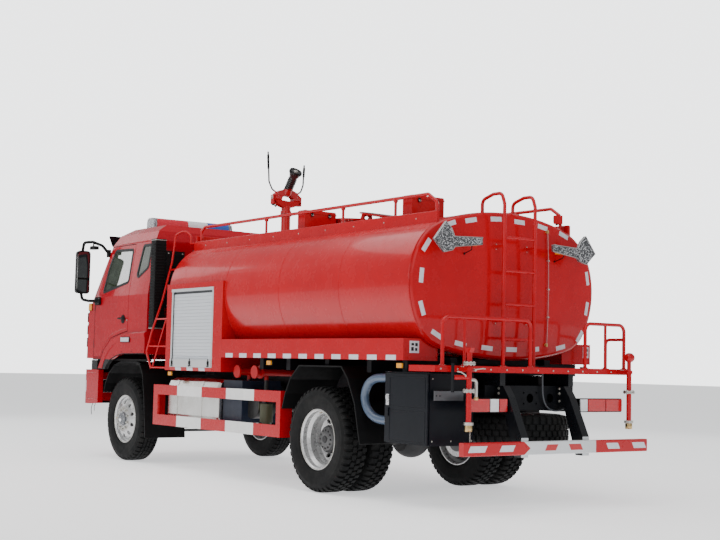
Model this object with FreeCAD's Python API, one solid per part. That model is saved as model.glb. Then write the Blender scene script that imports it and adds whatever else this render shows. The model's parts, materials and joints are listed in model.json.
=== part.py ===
import FreeCAD, Part
import os, math

V = FreeCAD.Vector

# ---------------------------------------------------------------- driving dimensions (mm)
# Working axes: +X forward, +Y left, +Z up, ground at z = 0, rear axle at x = 0.
X_SHIFT = 1727.0            # half way between the under-run bar and the bumper front
WHEELBASE = 4373.0
TYRE_R = 520.0
TYRE_W = 280.0
BEAD_R = 285.75             # 22.5 inch seat
RIM_FLANGE_R = 298.5
RIM_HALF = 118.0
FRONT_TYRE_Y = 1000.0
REAR_OUT_Y = 1055.0
REAR_IN_Y = 735.0
HUB_Y = 895.0               # face between the twin discs
KINGPIN_Y = 850.0
STEER_ARM_X = -200.0        # tie rod ball from the kingpin
STEER_ARM_Y = 850.0
RAIL_Y0, RAIL_Y1 = 392.0, 472.0
RAIL_Z0, RAIL_Z1 = 860.0, 1100.0
TANK_W = 1178.0
TANK_ZC = 2035.0
TANK_ZTOP = 2738.0
TANK_ZBOT = 1334.0
TANK_X0, TANK_X1 = -1470.0, 1880.0
COMP_X0, COMP_X1 = 1880.0, 3190.0
SIDE_Y = 1200.0
CAB_REAR, CAB_FRONT = 3700.0, 5610.0
CAB_WALL = 55.0
CAB_PIVOT = (5420.0, 1120.0)
DOOR_HINGE = (5196.0, 1196.0)
DOOR_GAP = 9.0
MON = (2500.0, 0.0)
MON_Z = 3240.0
BAR_X = -2166.0


# ---------------------------------------------------------------- helpers
def box(x0, x1, y0, y1, z0, z1):
    return Part.makeBox(x1 - x0, y1 - y0, z1 - z0, V(x0, y0, z0))


def cyl(p, d, r, h):
    return Part.makeCylinder(r, h, V(*p), V(*d))


def prism(pts, axis, a, b):
    """polygon in the plane across an axis, extruded from a to b along it.
    'y': points are (x, z); 'x': points are (y, z); 'z': points are (x, y)"""
    if axis == 'y':
        q = [V(p[0], a, p[1]) for p in pts]
        d = V(0, b - a, 0)
    elif axis == 'x':
        q = [V(a, p[0], p[1]) for p in pts]
        d = V(b - a, 0, 0)
    else:
        q = [V(p[0], p[1], a) for p in pts]
        d = V(0, 0, b - a)
    q.append(q[0])
    return Part.Face(Part.makePolygon(q)).extrude(d)


def fuse(*s):
    s = [x for x in s if x is not None]
    if len(s) == 1:
        return s[0]
    r = s[0].multiFuse(list(s[1:]))
    return r.removeSplitter()


def mirror_y(s):
    return s.mirror(V(0, 0, 0), V(0, 1, 0))


def both(s):
    return Part.makeCompound([s, mirror_y(s)])


def revolve_y(pts, cx, cz, y0=0.0, sgn=1):
    """closed (r, y) outline turned about the line x = cx, z = cz"""
    q = [V(cx, y0 + sgn * p[1], cz + p[0]) for p in pts]
    q.append(q[0])
    f = Part.Face(Part.makePolygon(q))
    return f.revolve(V(cx, 0, cz), V(0, 1, 0), 360)


def path_wire(pts, rad):
    """straight runs joined by tangent arcs of radius rad"""
    P = [V(*p) for p in pts]
    edges = []
    cur = P[0]
    for i in range(1, len(P) - 1):
        a = (P[i] - P[i - 1])
        b = (P[i + 1] - P[i])
        la, lb = a.Length, b.Length
        a.normalize()
        b.normalize()
        turn = a.getAngle(b)
        r = rad[i - 1] if isinstance(rad, (list, tuple)) else rad
        if turn < 1e-4:
            continue
        t = r * math.tan(turn / 2)
        lim = 0.47 * min(la, lb)
        if t > lim:
            t = lim
            r = t / math.tan(turn / 2)
        s = P[i] - a * t
        e = P[i] + b * t
        bis = (b - a)
        bis.normalize()
        c = P[i] + bis * (r / math.cos(turn / 2))
        m = c - bis * r
        if (s - cur).Length > 1e-3:
            edges.append(Part.LineSegment(cur, s).toShape())
        edges.append(Part.Arc(s, m, e).toShape())
        cur = e
    edges.append(Part.LineSegment(cur, P[-1]).toShape())
    return Part.Wire(edges)


def tube(pts, r, rad=60.0):
    """round bar along a path of straight runs and arcs"""
    w = path_wire(pts, rad)
    a = V(*pts[0])
    d = V(*pts[1]) - a
    c = Part.Wire(Part.Circle(a, d, r).toShape())
    s = w.makePipeShell([c], True, False)
    if s.Volume < 0:
        s.reverse()
    return s


def cord_tube(pts, r, name):
    """round cord along its route; each arc as large as its two runs allow"""
    P = [V(*p) for p in pts]
    rad = []
    for i in range(1, len(P) - 1):
        a, b = P[i] - P[i - 1], P[i + 1] - P[i]
        turn = a.getAngle(b)
        rad.append(0.45 * min(a.Length, b.Length) / math.tan(turn / 2))
    w = path_wire(pts, rad)
    c = Part.Wire(Part.Circle(P[0], P[1] - P[0], r).toShape())
    s = w.makePipeShell([c], True, False)
    if s.Volume < 0:
        s.reverse()
    print(name, 'length', round(w.Length), 'mm, volume ratio', round(s.Volume / (math.pi * r * r * w.Length), 4),
          'radii', [round(q) for q in rad])
    return s


def torus_seg(c, axis, R, r):
    return Part.makeTorus(R, r, V(*c), V(*axis))


NODES = {}


def put(name, shape):
    NODES[name] = shape


# ---------------------------------------------------------------- ladder frame
def rail(sy):
    z0, z1 = RAIL_Z0, RAIL_Z1
    s = prism([(472, z0), (472, z1), (392, z1), (392, z1 - 9), (464, z1 - 9), (464, z0 + 9), (392, z0 + 9), (392, z0)],
              'x', -1750, 5300)
    # cab pivot ear at the front end of the rail
    ear = prism([(5225, 1080), (5225, 880), (5455, 880), (5478, 1000), (5474, 1125), (5455, 1162), (5390, 1162), (5345, 1080)],
                'y', 424, 468)
    ear = ear.cut(cyl((CAB_PIVOT[0], 400, CAB_PIVOT[1]), (0, 1, 0), 25.2, 100))
    s = s.fuse(ear)
    if sy < 0:
        s = mirror_y(s)
    return s


put('chassis_rails', Part.makeCompound([rail(1), rail(-1)]))

cross = []
for x, w, z0, z1 in ((-1690, 90, 880, 1080), (-820, 80, 900, 1060), (820, 80, 900, 1060),
                     (1950, 80, 900, 1060), (3050, 80, 900, 1060), (5160, 90, 880, 1060)):
    b = box(x - w / 2, x + w / 2, -463.5, 463.5, z0, z1)
    b = b.cut(box(x - w / 2 - 1, x + w / 2 + 1, -391, 391, z0 + 8, z1 - 8).cut(
        box(x + w / 2 - 8, x + w / 2, -391, 391, z0 + 8, z1 - 8)))
    # notch so that the member clears the rail flanges
    cross.append(b)
# rear end plate with lightening holes
endp = box(-1762, -1750.5, -560, 560, 872, 1100)
for y in (-430, -260, 260, 430):
    endp = endp.cut(cyl((-1800, y, 985), (1, 0, 0), 42, 100))
# coupling seat: 160 x 100 mm bolt rectangle around an 84 mm hole
endp = endp.cut(cyl((-1800, 0, 985), (1, 0, 0), 42, 100))
for y in (-80, 80):
    for z in (935, 1035):
        endp = endp.cut(cyl((-1800, y, z), (1, 0, 0), 10.5, 100))
cross.append(endp)
put('chassis_crossmembers', Part.makeCompound(cross))

# ---------------------------------------------------------------- tank section
def tank_face(x, grow=0.0):
    """closed tank outline of tangent arcs across X"""
    def corner(W, H, Rs, Rt, Rc):
        ax, ay, bx, by = W - Rs, 0.0, 0.0, H - Rt
        ra, rb = Rs - Rc, Rt - Rc
        d = math.hypot(bx - ax, by - ay)
        t = (ra * ra - rb * rb + d * d) / (2 * d)
        h = math.sqrt(max(ra * ra - t * t, 0.0))
        mx, my = ax + (bx - ax) * t / d, ay + (by - ay) * t / d
        nx, ny = (by - ay) / d, -(bx - ax) / d
        c1 = (mx + h * nx, my + h * ny)
        c2 = (mx - h * nx, my - h * ny)
        return c1 if c1[0] + c1[1] > c2[0] + c2[1] else c2
    W = TANK_W + grow
    out = []
    for sgn, H, Rs, Rt, Rc in ((1, TANK_ZTOP - TANK_ZC + grow, 760.0 + grow, 2655.0 + grow, 560.0 + grow),
                               (-1, TANK_ZC - TANK_ZBOT + grow, 800.0 + grow, 3454.0 + grow, 358.0 + grow)):
        c = corner(W, H, Rs, Rt, Rc)
        sc = (W - Rs, 0.0)
        tc = (0.0, H - Rt)

        def on(cc, R, p):
            dx, dy = p[0] - cc[0], p[1] - cc[1]
            L = math.hypot(dx, dy)
            return (cc[0] + dx / L * R, cc[1] + dy / L * R)
        # tangent points
        ts = on(sc, Rs, (sc[0] + (c[0] - sc[0]) * 10, sc[1] + (c[1] - sc[1]) * 10))
        tt = on(tc, Rt, (tc[0] + (c[0] - tc[0]) * 10, tc[1] + (c[1] - tc[1]) * 10))
        a0 = math.atan2(ts[1] - c[1], ts[0] - c[0])
        a1 = math.atan2(tt[1] - c[1], tt[0] - c[0])
        am = (a0 + a1) / 2
        cm = (c[0] + Rc * math.cos(am), c[1] + Rc * math.sin(am))
        s0 = math.atan2(ts[1], ts[0] - sc[0]) / 2
        sm = (sc[0] + Rs * math.cos(s0), Rs * math.sin(s0))
        out.append(dict(sgn=sgn, start=(W, 0.0), sm=sm, ts=ts, cm=cm, tt=tt, top=(0.0, H)))

    def P(y, z, sgn, side):
        return V(x, side * y, TANK_ZC + sgn * z)
    edges = []
    for side in (1, -1):
        for o in out:
            g = o['sgn']
            edges.append(Part.Arc(P(*o['start'], g, side), P(*o['sm'], g, side), P(*o['ts'], g, side)).toShape())
            edges.append(Part.Arc(P(*o['ts'], g, side), P(*o['cm'], g, side), P(*o['tt'], g, side)).toShape())
    for o in out:
        g = o['sgn']
        edges.append(Part.Arc(P(*o['tt'], g, 1), P(*o['top'], g, 1), P(*o['tt'], g, -1)).toShape())
    w = Part.Wire(Part.__sortEdges__(edges))
    return Part.Face(w)


def tank_body(x0, x1, grow=0.0):
    return tank_face(x0, grow).extrude(V(x1 - x0, 0, 0))


tank = tank_body(TANK_X0 - 30, TANK_X1)
# shallow dished rear head
ball = Part.makeSphere(9000, V(TANK_X0 + 8975, 0, TANK_ZC))
tank = tank.common(ball)
rim = [e for e in tank.Edges if e.BoundBox.XMax < TANK_X0 + 140 and e.Length > 50]
try:
    t2 = tank.makeFillet(38.0, rim)
    if t2.isValid() and len(t2.Solids) == 1:
        tank = t2
except Exception:
    pass
TANK_PLAIN = tank
# manhole neck on top
MH_X, MH_R = 1170.0, 250.0
neck = cyl((MH_X, 0, 2700), (0, 0, 1), MH_R, 150).cut(cyl((MH_X, 0, 2745), (0, 0, 1), MH_R - 12, 200))
flange = cyl((MH_X, 0, 2850), (0, 0, 1), MH_R + 22, 20).cut(cyl((MH_X, 0, 2840), (0, 0, 1), MH_R - 12, 60))
HINGE_MH = (MH_X - 318.0, 2905.0)
lug = fuse(prism([(HINGE_MH[0] - 26, 2740), (HINGE_MH[0] + 44, 2740), (HINGE_MH[0] + 44, 2866),
                  (HINGE_MH[0] + 20, 2900), (HINGE_MH[0] + 18, 2921), (HINGE_MH[0] - 18, 2921),
                  (HINGE_MH[0] - 22, 2890)], 'y', 40, 60),
           prism([(HINGE_MH[0] - 26, 2740), (HINGE_MH[0] + 44, 2740), (HINGE_MH[0] + 44, 2866),
                  (HINGE_MH[0] + 20, 2900), (HINGE_MH[0] + 18, 2921), (HINGE_MH[0] - 18, 2921),
                  (HINGE_MH[0] - 22, 2890)], 'y', -60, -40))
lug = lug.cut(cyl((HINGE_MH[0], -100, HINGE_MH[1]), (0, 1, 0), 9.1, 200))
put('water_tank', fuse(tank, neck, flange, lug))

# manhole cover, drawn closed and then laid back as it stands
cover = cyl((MH_X, 0, 2872), (0, 0, 1), MH_R + 20, 12)
cover = fuse(cover, cyl((MH_X, 0, 2884), (0, 0, 1), 60, 14),
             box(HINGE_MH[0] - 2, MH_X - 40, -37, -15, 2884, 2899), box(HINGE_MH[0] - 2, MH_X - 40, 15, 37, 2884, 2899),
             cyl((HINGE_MH[0], -37, HINGE_MH[1]), (0, 1, 0), 16, 22), cyl((HINGE_MH[0], 15, HINGE_MH[1]), (0, 1, 0), 16, 22),
             cyl((HINGE_MH[0], -66, HINGE_MH[1]), (0, 1, 0), 9, 132))
COVER_OPEN = 190.0
cover.rotate(V(HINGE_MH[0], 0, HINGE_MH[1]), V(0, 1, 0), -COVER_OPEN)
put('manhole_cover', cover)

# ---------------------------------------------------------------- pump compartment
comp = fuse(tank_body(COMP_X0 + 0.5, COMP_X1), box(COMP_X0 + 0.5, COMP_X1, -SIDE_Y, SIDE_Y, 1150, 2160))
blend = [e for e in comp.Edges if abs(e.BoundBox.ZMin - 2160) < 2 and abs(e.BoundBox.ZMax - 2160) < 2
         and e.BoundBox.XLength > 800 and abs(abs(e.CenterOfMass.y) - SIDE_Y) < 4]
if blend:
    try:
        c2 = comp.makeFillet(34.0, blend)
        if c2.isValid():
            comp = c2
    except Exception:
        pass
SH_X0, SH_X1, SH_Z0, SH_Z1 = 2080.0, 3060.0, 1280.0, 2100.0
for s in (1, -1):
    y0, y1 = (SIDE_Y - 34, SIDE_Y + 1) if s > 0 else (-SIDE_Y - 1, -SIDE_Y + 34)
    comp = comp.cut(box(SH_X0, SH_X1, y0, y1, 1190, SH_Z1))
# room for the ladder frame and its bearers under the floor
comp = comp.cut(box(COMP_X0 - 10, COMP_X1 + 10, -480, 480, 1140, 1192))
put('pump_compartment', comp)


def shutter(s):
    """roller curtain of flat slats, its guides and the drop shelf under it"""
    parts = []
    n = 20
    h = (SH_Z1 - 60 - SH_Z0) / n
    prof = [(SIDE_Y - 26, SH_Z0 - 6), (SIDE_Y - 14, SH_Z0 - 6)]
    for i in range(n):
        z = SH_Z0 + i * h
        prof += [(SIDE_Y - 12, z + 3), (SIDE_Y - 12, z + h - 3), (SIDE_Y - 17, z + h)]
    prof += [(SIDE_Y - 26, SH_Z1 - 60)]
    cur = prism(prof, 'x', SH_X0 + 24, SH_X1 - 24)
    gl = box(SH_X0, SH_X0 + 30, SIDE_Y - 33.5, SIDE_Y + 3, 1190, SH_Z1)
    gr = box(SH_X1 - 30, SH_X1, SIDE_Y - 33.5, SIDE_Y + 3, 1190, SH_Z1)
    gt = box(SH_X0, SH_X1, SIDE_Y - 33.5, SIDE_Y + 10, SH_Z1 - 34, SH_Z1 - 0.5)
    cas = box(SH_X0 + 20, SH_X1 - 20, SIDE_Y - 33.5, SIDE_Y - 19, SH_Z1 - 68, SH_Z1 - 30)
    shelf = box(SH_X0 + 10, SH_X1 - 10, SIDE_Y - 33.5, SIDE_Y + 14, 1191, SH_Z0)
    r = gl.fuse(gr).fuse(gt).fuse(shelf).fuse(cas).fuse(cur)
    return r if s > 0 else mirror_y(r)


put('roller_shutters', Part.makeCompound([shutter(1), shutter(-1)]))

# ---------------------------------------------------------------- bearers and skirts
sub = []
for s in (1, -1):
    y0, y1 = (402, 466) if s > 0 else (-466, -402)
    sub.append(box(-1450, 3300, y0, y1, RAIL_Z1, 1190))
for x in (-1250, -700, 700, 1220):
    sub.append(box(x - 35, x + 35, -1080, 1080, 1190, 1309))
sub.append(box(-35, 35, -1080, 1080, 1256, 1309))
sub.append(box(-35, 35, -480, 480, 1190, 1256))
sub_s = fuse(*sub)
sub_s = fuse(sub_s, box(-1370, 1870, -420, 420, 1290, 1333), box(-1370, 1870, 560, 640, 1290, 1345), box(-1370, 1870, -640, -560, 1290, 1345))
sub_s = sub_s.cut(TANK_PLAIN)
sub_s = sub_s.cut(box(-1710, -1060, 630, 1180, 1180, 1203))
put('tank_subframe', sub_s)


def skirt():
    side = box(-1372, 1879, 1193, 1200, 1310, 1510)
    top = box(-1372, 1879, 900, 1200, 1503, 1510)
    low = box(-1372, 1879, 1150, 1200, 1310, 1317)
    end = box(-1372, -1365, 800, 1200, 1310, 1510)
    gus = [box(x - 4, x + 4, 900, 1195, 1310, 1506) for x in (-400, 400, 1500)]
    s = fuse(side, top, low, end, *gus)
    s = s.cut(TANK_PLAIN)
    return max(s.Solids, key=lambda q: q.Volume)


sk = skirt()
for x in (-1250, -700, 0, 700, 1220):
    sk = sk.cut(box(x - 36, x + 36, 700, 1081, 1180, 1309.5))
sk = max(sk.Solids, key=lambda q: q.Volume)
put('side_skirts', Part.makeCompound([sk, mirror_y(sk)]))

# ---------------------------------------------------------------- top: coaming, boxes, rails
coam = []
for s in (1, -1):
    y0, y1 = (838, 862) if s > 0 else (-862, -838)
    coam.append(box(-1410, 3180, y0, y1, 2470, 2690))
coam.append(box(-1410, -1386, 0, 838, 2600, 2692))
coam.append(box(-1410, -1386, -838, -640, 2600, 2692))
coam.append(box(-1410, -1350, -755, -690, 2600, 2785))
coam.append(box(3156, 3180, -838, 838, 2600, 2765))
co = fuse(*coam).cut(tank_body(-1600, 3300, 0.0))
co = co.cut(box(-2000, 4000, -837, 837, 2400, 2700))
co_s = [s for s in co.Solids if s.BoundBox.ZMax > 2640]
co = fuse(*co_s)
boxes = []
for x0, x1, y0, y1 in ((1030, 1170, 290, 700), (-770, -625, 250, 655)):
    b = box(x0, x1, y0, y1, 2600, 2925)
    b = b.makeFillet(14, [e for e in b.Edges if e.BoundBox.ZMin > 2900])
    b = b.cut(tank_body(-1600, 3300, 0.0))
    boxes.append(max(b.Solids, key=lambda q: q.Volume))
boxes[0] = boxes[0].cut(cyl((MH_X, 0, 2600), (0, 0, 1), MH_R + 24, 400))
put('deck_coaming', Part.makeCompound([co] + boxes))

hr = []
for s in (1, -1):
    y = 800.0 * s
    main = tube([(3120, y, 2700), (3120, y, 2830), (3040, y, 2872), (-1200, y, 2872), (-1330, y, 2790), (-1335, y, 2600)], 17, 55)
    posts = [cyl((x, y, 2600), (0, 0, 1), 14, 272) for x in (1650, 175, -700)]
    hr.append(fuse(main, *posts))
hrs = []
for h in hr:
    h = h.cut(tank_body(-1600, 3300, 0.0))
    hrs.append(max(h.Solids, key=lambda q: q.Volume))
put('handrails', Part.makeCompound(hrs))

# ---------------------------------------------------------------- rear ladder on the tank head
rl = []
for y in (200, -195):
    rl.append(tube([(-1600, y, 1277), (-1600, y, 2800), (-1560, y, 2905), (-1440, y, 2905), (-1285, y, 2860), (-1285, y, 2650)], 17, 60))
for z in (1526, 1854, 2168, 2484):
    rl.append(cyl((-1600, -195, z), (0, 1, 0), 14, 395))
for y in (200, -195):
    for z in (1700, 2400):
        rl.append(box(-1600, -1440, y - 12, y + 12, z - 12, z + 12))
rl_s = fuse(*rl).cut(TANK_PLAIN)
rl_s = max(rl_s.Solids, key=lambda q: q.Volume)
REAR_LADDER = rl_s

# ---------------------------------------------------------------- rear platform and its guard rails
plat = fuse(box(-1866, -1858, -1235, 1235, 1215, 1270), box(-1866, -1500, -1235, 1235, 1262, 1270),
            box(-1866, -1500, -1235, -1227, 1215, 1270), box(-1866, -1500, 1227, 1235, 1215, 1270),
            box(-1508, -1500, -1235, 1235, 1215, 1270),
            box(-1858, -1500, 402, 466, 1100, 1262), box(-1858, -1500, -466, -402, 1100, 1262))
plat = plat.cut(box(-1700, -1400, -470, 470, 1095, 1191).cut(box(-1900, -1450.5, -600, 600, 1090, 1200)))
put('rear_platform', plat)

pr = []


def hoop(ya, yb, posts):
    top = tube([(-1840, ya, 1270), (-1840, ya, 1700), (-1840, yb, 1700), (-1840, yb, 1270)], 17, 70)
    ps = [cyl((-1840, p, 1270), (0, 0, 1), 14, 430) for p in posts]
    return fuse(top, *ps)


pr.append(hoop(1133, 79, (414, 880)))
hr2 = hoop(-640, -1180, (-917,))
sidearm = tube([(-1840, -1180, 1500), (-1840, -1180, 1560), (-1600, -1180, 1560), (-1600, -1180, 1270)], 15, 50)
pr.append(fuse(hr2, sidearm))
put('platform_rails', Part.makeCompound(pr))

# ---------------------------------------------------------------- arrow lamps on red brackets
arrow_l = [(1080, 2402), (945, 2570), (878, 2512), (840, 2440), (503, 2455), (506, 2388), (835, 2346), (862, 2315), (960, 2290)]
al = prism(arrow_l, 'x', -1640, -1612)
alb = fuse(box(-1612, -1480, 560, 640, 2405, 2435), box(-1612, -1455, 880, 930, 2400, 2440))
arrow_r = [(100 - y, z) for y, z in arrow_l]
ar = prism(arrow_r, 'x', -1640, -1612)
arb = mirror_y(alb)
lamp_l = fuse(al, alb).cut(TANK_PLAIN)
lamp_r = fuse(ar, arb).cut(TANK_PLAIN)
put('arrow_lamps', Part.makeCompound([max(lamp_l.Solids, key=lambda q: q.Volume), max(lamp_r.Solids, key=lambda q: q.Volume)]))

# ---------------------------------------------------------------- under-run bar
ub = box(BAR_X, BAR_X + 60, -1153, 1153, 498, 615)
ub = ub.makeFillet(10, [e for e in ub.Edges if e.BoundBox.YLength > 2000])
posts = []
for y in (385, -385):
    posts.append(prism([(BAR_X + 60, 470), (BAR_X + 150, 470), (-1862, 900), (-1762, 930), (-1762, 1098), (-1857, 1098), (-1930, 1000), (BAR_X + 60, 640)], 'y', y - 42, y + 42))
put('underrun_bar', fuse(ub, *posts))

# ---------------------------------------------------------------- lamps: tail, marker, head
lm = []
for y0, y1 in ((430, 904), (-1066, -480)):
    b = box(-1940, -1885, y0 + 12, y1, 860, 990)
    b = b.makeFillet(9, [e for e in b.Edges if e.BoundBox.YLength > 300])
    lm.append(b)
for x, z in ((3081, 1112), (903, 1262), (-1307, 1262)):
    for s in (1, -1):
        y = 1165 * s
        lm.append(box(x - 45, x + 45, min(y, y + 32 * s), max(y, y + 32 * s), z - 28, z + 26))
LAMPS_FRONT = []
for s in (1, -1):
    y0, y1 = (760, 1120) if s > 0 else (-1120, -760)
    LAMPS_FRONT.append((y0, y1))

# ---------------------------------------------------------------- tool box left rear, with its door
TB = (-1700.0, -1070.0, 640.0, 1150.0, 557.0, 1198.0)
tb = box(TB[0], TB[1], TB[2], TB[3], TB[4], TB[5])
tb = tb.cut(box(TB[0] + 20, TB[1] - 20, TB[2] + 20, TB[3] + 10, TB[4] + 20, TB[5] - 20))
brk = fuse(box(TB[0] + 60, TB[0] + 120, 560, 640, 980, 1098), box(TB[1] - 120, TB[1] - 60, 560, 640, 980, 1098),
           box(TB[0] + 60, TB[0] + 120, 473, 640, 1020, 1060), box(TB[1] - 120, TB[1] - 60, 473, 640, 1020, 1060))
plate_b = box(-1756, -1748, 810, 1146, 960, 1045)
for y in (1080, 1120):
    plate_b = plate_b.cut(cyl((-1760, y, 1002), (1, 0, 0), 8.5, 20))
put('tool_box', fuse(tb, brk, plate_b, box(-1748, -1700, 820, 860, 985, 1020), box(-1748, -1700, 960, 1000, 985, 1020)))
TBD_HINGE = (TB[0] + 12.0, TB[3] + 22.0)
tbd = box(TB[0] + 8, TB[1] - 8, TB[3] + 6, TB[3] + 22, TB[4] + 8, TB[5] - 8)
tbd = fuse(tbd, box(TB[1] - 70, TB[1] - 50, TB[3] + 22, TB[3] + 34, 800, 880),
           *[cyl((TB[0] + 8, TB[3] + 20, z), (0, 0, 1), 8, 70) for z in (640, 1040)])
put('tool_box_door', tbd)

# ---------------------------------------------------------------- suction hose: a C held by the box at both ends
HOSE_R = 42.0
HOSE_Y = 1105.0
hose_pts = [(TB[1] + 1.0, HOSE_Y, 1147), (-950, HOSE_Y, 1147), (-825, HOSE_Y, 1136), (-720, HOSE_Y, 1082), (-664, HOSE_Y, 965),
            (-712, HOSE_Y, 848), (-820, HOSE_Y, 776), (-950, HOSE_Y, 751), (TB[1] + 1.0, HOSE_Y, 751)]
put('suction_hose', cord_tube(hose_pts, HOSE_R, 'hose'))

# thin cable loop hanging under the platform, both ends in the frame
CX = -1790
cable_pts = [(CX, -130, 1261.5), (CX, -130, 1120), (CX, -138, 985), (CX, -190, 895), (CX, -300, 862), (CX, -405, 880),
             (CX, -466, 955), (CX, -482, 1070), (CX, -480, 1180), (CX, -483, 1261.5)]
put('cable_loop', cord_tube(cable_pts, 8.0, 'cable'))

# ---------------------------------------------------------------- spray pipes at the rear
def spray(y, s, ztop):
    p = cyl((-1990, y, 775), (0, 0, 1), 24, ztop - 775)
    fl = [cyl((-1990, y, z - 11), (0, 0, 1), 56, 22) for z in (1050,)]
    low = fuse(cyl((-1990, y, 700), (0, 0, 1), 34, 60), cyl((-1990, y, 755), (0, 0, 1), 44, 26))
    el = box(-1990, -1866.5, y - 20, y + 20, 1225, 1262)
    return fuse(p, low, el, *fl)


spl = fuse(spray(950, 1, 1390), cyl((-1990, 950, 1289), (0, 0, 1), 56, 22),
           cyl((-1990, 950, 1170), (0, 1, 0), 20, 180), box(-2004, -1976, 1130, 1146, 1040, 1290),
           tube([(-1990, 950, 1150), (-1990, 867, 1150), (-1990, 867, 1000)], 16, 40),
           prism([(-1990 - 30, 1390), (-1990 + 30, 1390), (-1990 + 46, 1430), (-1990 - 46, 1430)], 'y', 925, 975))
spr = fuse(spray(-1090, -1, 1250), cyl((-1990, -1090, 1250), (0, 0, 1), 20, 120), cyl((-1990, -1140, 1385), (0, 1, 0), 46, 90),
           Part.makeSphere(26, V(-1990, -1090, 1250)))
put('spray_pipes', Part.makeCompound([spl, spr]))

# ---------------------------------------------------------------- axles
front_beam = fuse(
    prism([(-890, 445), (-780, 445), (-560, 395), (560, 395), (780, 445), (890, 445), (890, 595), (780, 595), (560, 500),
           (-560, 500), (-780, 595), (-890, 595)], 'x', WHEELBASE - 40, WHEELBASE + 40))
front_beam = front_beam.cut(box(WHEELBASE - 60, WHEELBASE + 60, KINGPIN_Y, 1000, 300, 700)).cut(
    box(WHEELBASE - 60, WHEELBASE + 60, -1000, -KINGPIN_Y, 300, 700))
for s in (1, -1):
    front_beam = fuse(front_beam, cyl((WHEELBASE, s * KINGPIN_Y, 445), (0, 0, 1), 40, 150))
for s in (1, -1):
    front_beam = front_beam.cut(cyl((WHEELBASE, s * KINGPIN_Y, 400), (0, 0, 1), 20.2, 250))
put('front_axle_beam', front_beam)


def knuckle():
    kx, ky = WHEELBASE, KINGPIN_Y
    ears = [cyl((kx, ky, 601), (0, 0, 1), 42, 34), cyl((kx, ky, 405), (0, 0, 1), 42, 34)]
    pin = cyl((kx, ky, 405), (0, 0, 1), 20, 230)
    plate = box(kx - 42, kx + 42, ky + 49, ky + 68, 405, 635)
    earb = [box(kx - 42, kx + 42, ky, ky + 60, 601, 635), box(kx - 42, kx + 42, ky, ky + 60, 405, 439)]
    spindle = cyl((kx, ky + 60, TYRE_R), (0, 1, 0), 38, 180)
    bx, by = kx + STEER_ARM_X, STEER_ARM_Y
    arm = prism([(kx - 42, ky - 25), (kx - 30, ky + 42), (kx - 60, ky + 30), (bx - 22, by + 22), (bx - 22, by - 22), (bx + 20, by - 24)], 'z', 405, 431)
    arm = arm.cut(cyl((bx, by, 380), (0, 0, 1), 12.2, 80))
    return fuse(*ears, pin, plate, *earb, spindle, arm)


kn = knuckle()
put('knuckle_left', kn)
put('knuckle_right', mirror_y(kn))

bx = WHEELBASE + STEER_ARM_X
tr = fuse(cyl((bx, -STEER_ARM_Y + 10, 379), (0, 1, 0), 16, 2 * STEER_ARM_Y - 20),
          cyl((bx, STEER_ARM_Y, 362), (0, 0, 1), 26, 37), cyl((bx, -STEER_ARM_Y, 362), (0, 0, 1), 26, 37),
          cyl((bx, STEER_ARM_Y, 362), (0, 0, 1), 12, 78), cyl((bx, -STEER_ARM_Y, 362), (0, 0, 1), 11.5, 78))
put('tie_rod', tr)

rh = fuse(cyl((0, -600, TYRE_R), (0, 1, 0), 68, 1200), Part.makeSphere(205, V(0, 0, TYRE_R)).common(box(-230, 230, -150, 150, 250, 800)),
          Part.makeCone(120, 70, 190, V(150, 0, TYRE_R), V(1, 0, 0)), cyl((330, 0, TYRE_R), (1, 0, 0), 78, 30),
          box(-70, 70, 390, 470, 585, 628), box(-70, 70, -470, -390, 585, 628))
# stub tubes through the hubs
rh = fuse(rh, cyl((0, 590, TYRE_R), (0, 1, 0), 48, 330), cyl((0, -920, TYRE_R), (0, 1, 0), 48, 330))
RH = rh

ps = fuse(cyl((361, 0, 522), (0.9985, 0, 0.0545), 58, 30), cyl((390, 0, 524), (0.9936, 0, 0.1132), 45, 2210),
          cyl((2580, 0, 773.5), (0.9985, 0, 0.0545), 58, 30))
put('rear_axle_and_shaft', Part.makeCompound([RH, ps.cut(RH)]))


def leaf(xc, zc, half, rise, y0, y1, n=5, t=16):
    """stack of curved leaves under the rail, as one stepped outline"""
    R = (half * half + rise * rise) / (2 * rise)

    def f(x):
        return zc + t + R - math.sqrt(R * R - x * x)
    hs = [half * (1 - 0.17 * i) for i in range(n)]
    top = [(xc + half * k / 12.0, f(half * k / 12.0)) for k in range(-12, 13)]
    low = []
    for i in range(n):
        x_out = hs[i]
        x_in = hs[i + 1] if i + 1 < n else 0.0
        for k in range(5):
            x = x_out + (x_in - x_out) * k / 4.0
            low.append((x, f(x) - t * (i + 1)))
    right = low
    left = [(-x, z) for x, z in reversed(low)][1:]
    return prism(top + [(xc + x, z) for x, z in right] + [(xc + x, z) for x, z in left], 'y', y0, y1)


ls = []
for s in (1, -1):
    y0, y1 = (392, 468) if s > 0 else (-468, -392)
    f = leaf(WHEELBASE, 566, 800, 130, y0, y1)
    fr = [box(WHEELBASE - 860, WHEELBASE - 770, y0 + 4, y1 - 4, 690, 859), box(WHEELBASE + 770, WHEELBASE + 850, y0 + 4, y1 - 4, 690, 859),
          box(WHEELBASE - 60, WHEELBASE + 60, y0 + 4, y1 - 4, 500.5, 560)]
    q = f
    for k in fr:
        q = q.fuse(k)
    ls.append(q)
    r = leaf(0, 694, 820, 110, y0, y1)
    rr = [box(-880, -790, y0 + 4, y1 - 4, 780, 859), box(790, 880, y0 + 4, y1 - 4, 780, 859)]
    q = r
    for k in rr:
        q = q.fuse(k)
    ls.append(q)
put('leaf_springs', Part.makeCompound(ls))

put('engine_block', fuse(box(3420, 4850, -330, 330, 700, 1215), box(3520, 4850, -300, 300, 1200, 1262),
                         box(4840, 5100, -370, 370, 760, 1262), box(2640, 3420, -180, 180, 640, 890)))

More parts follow.
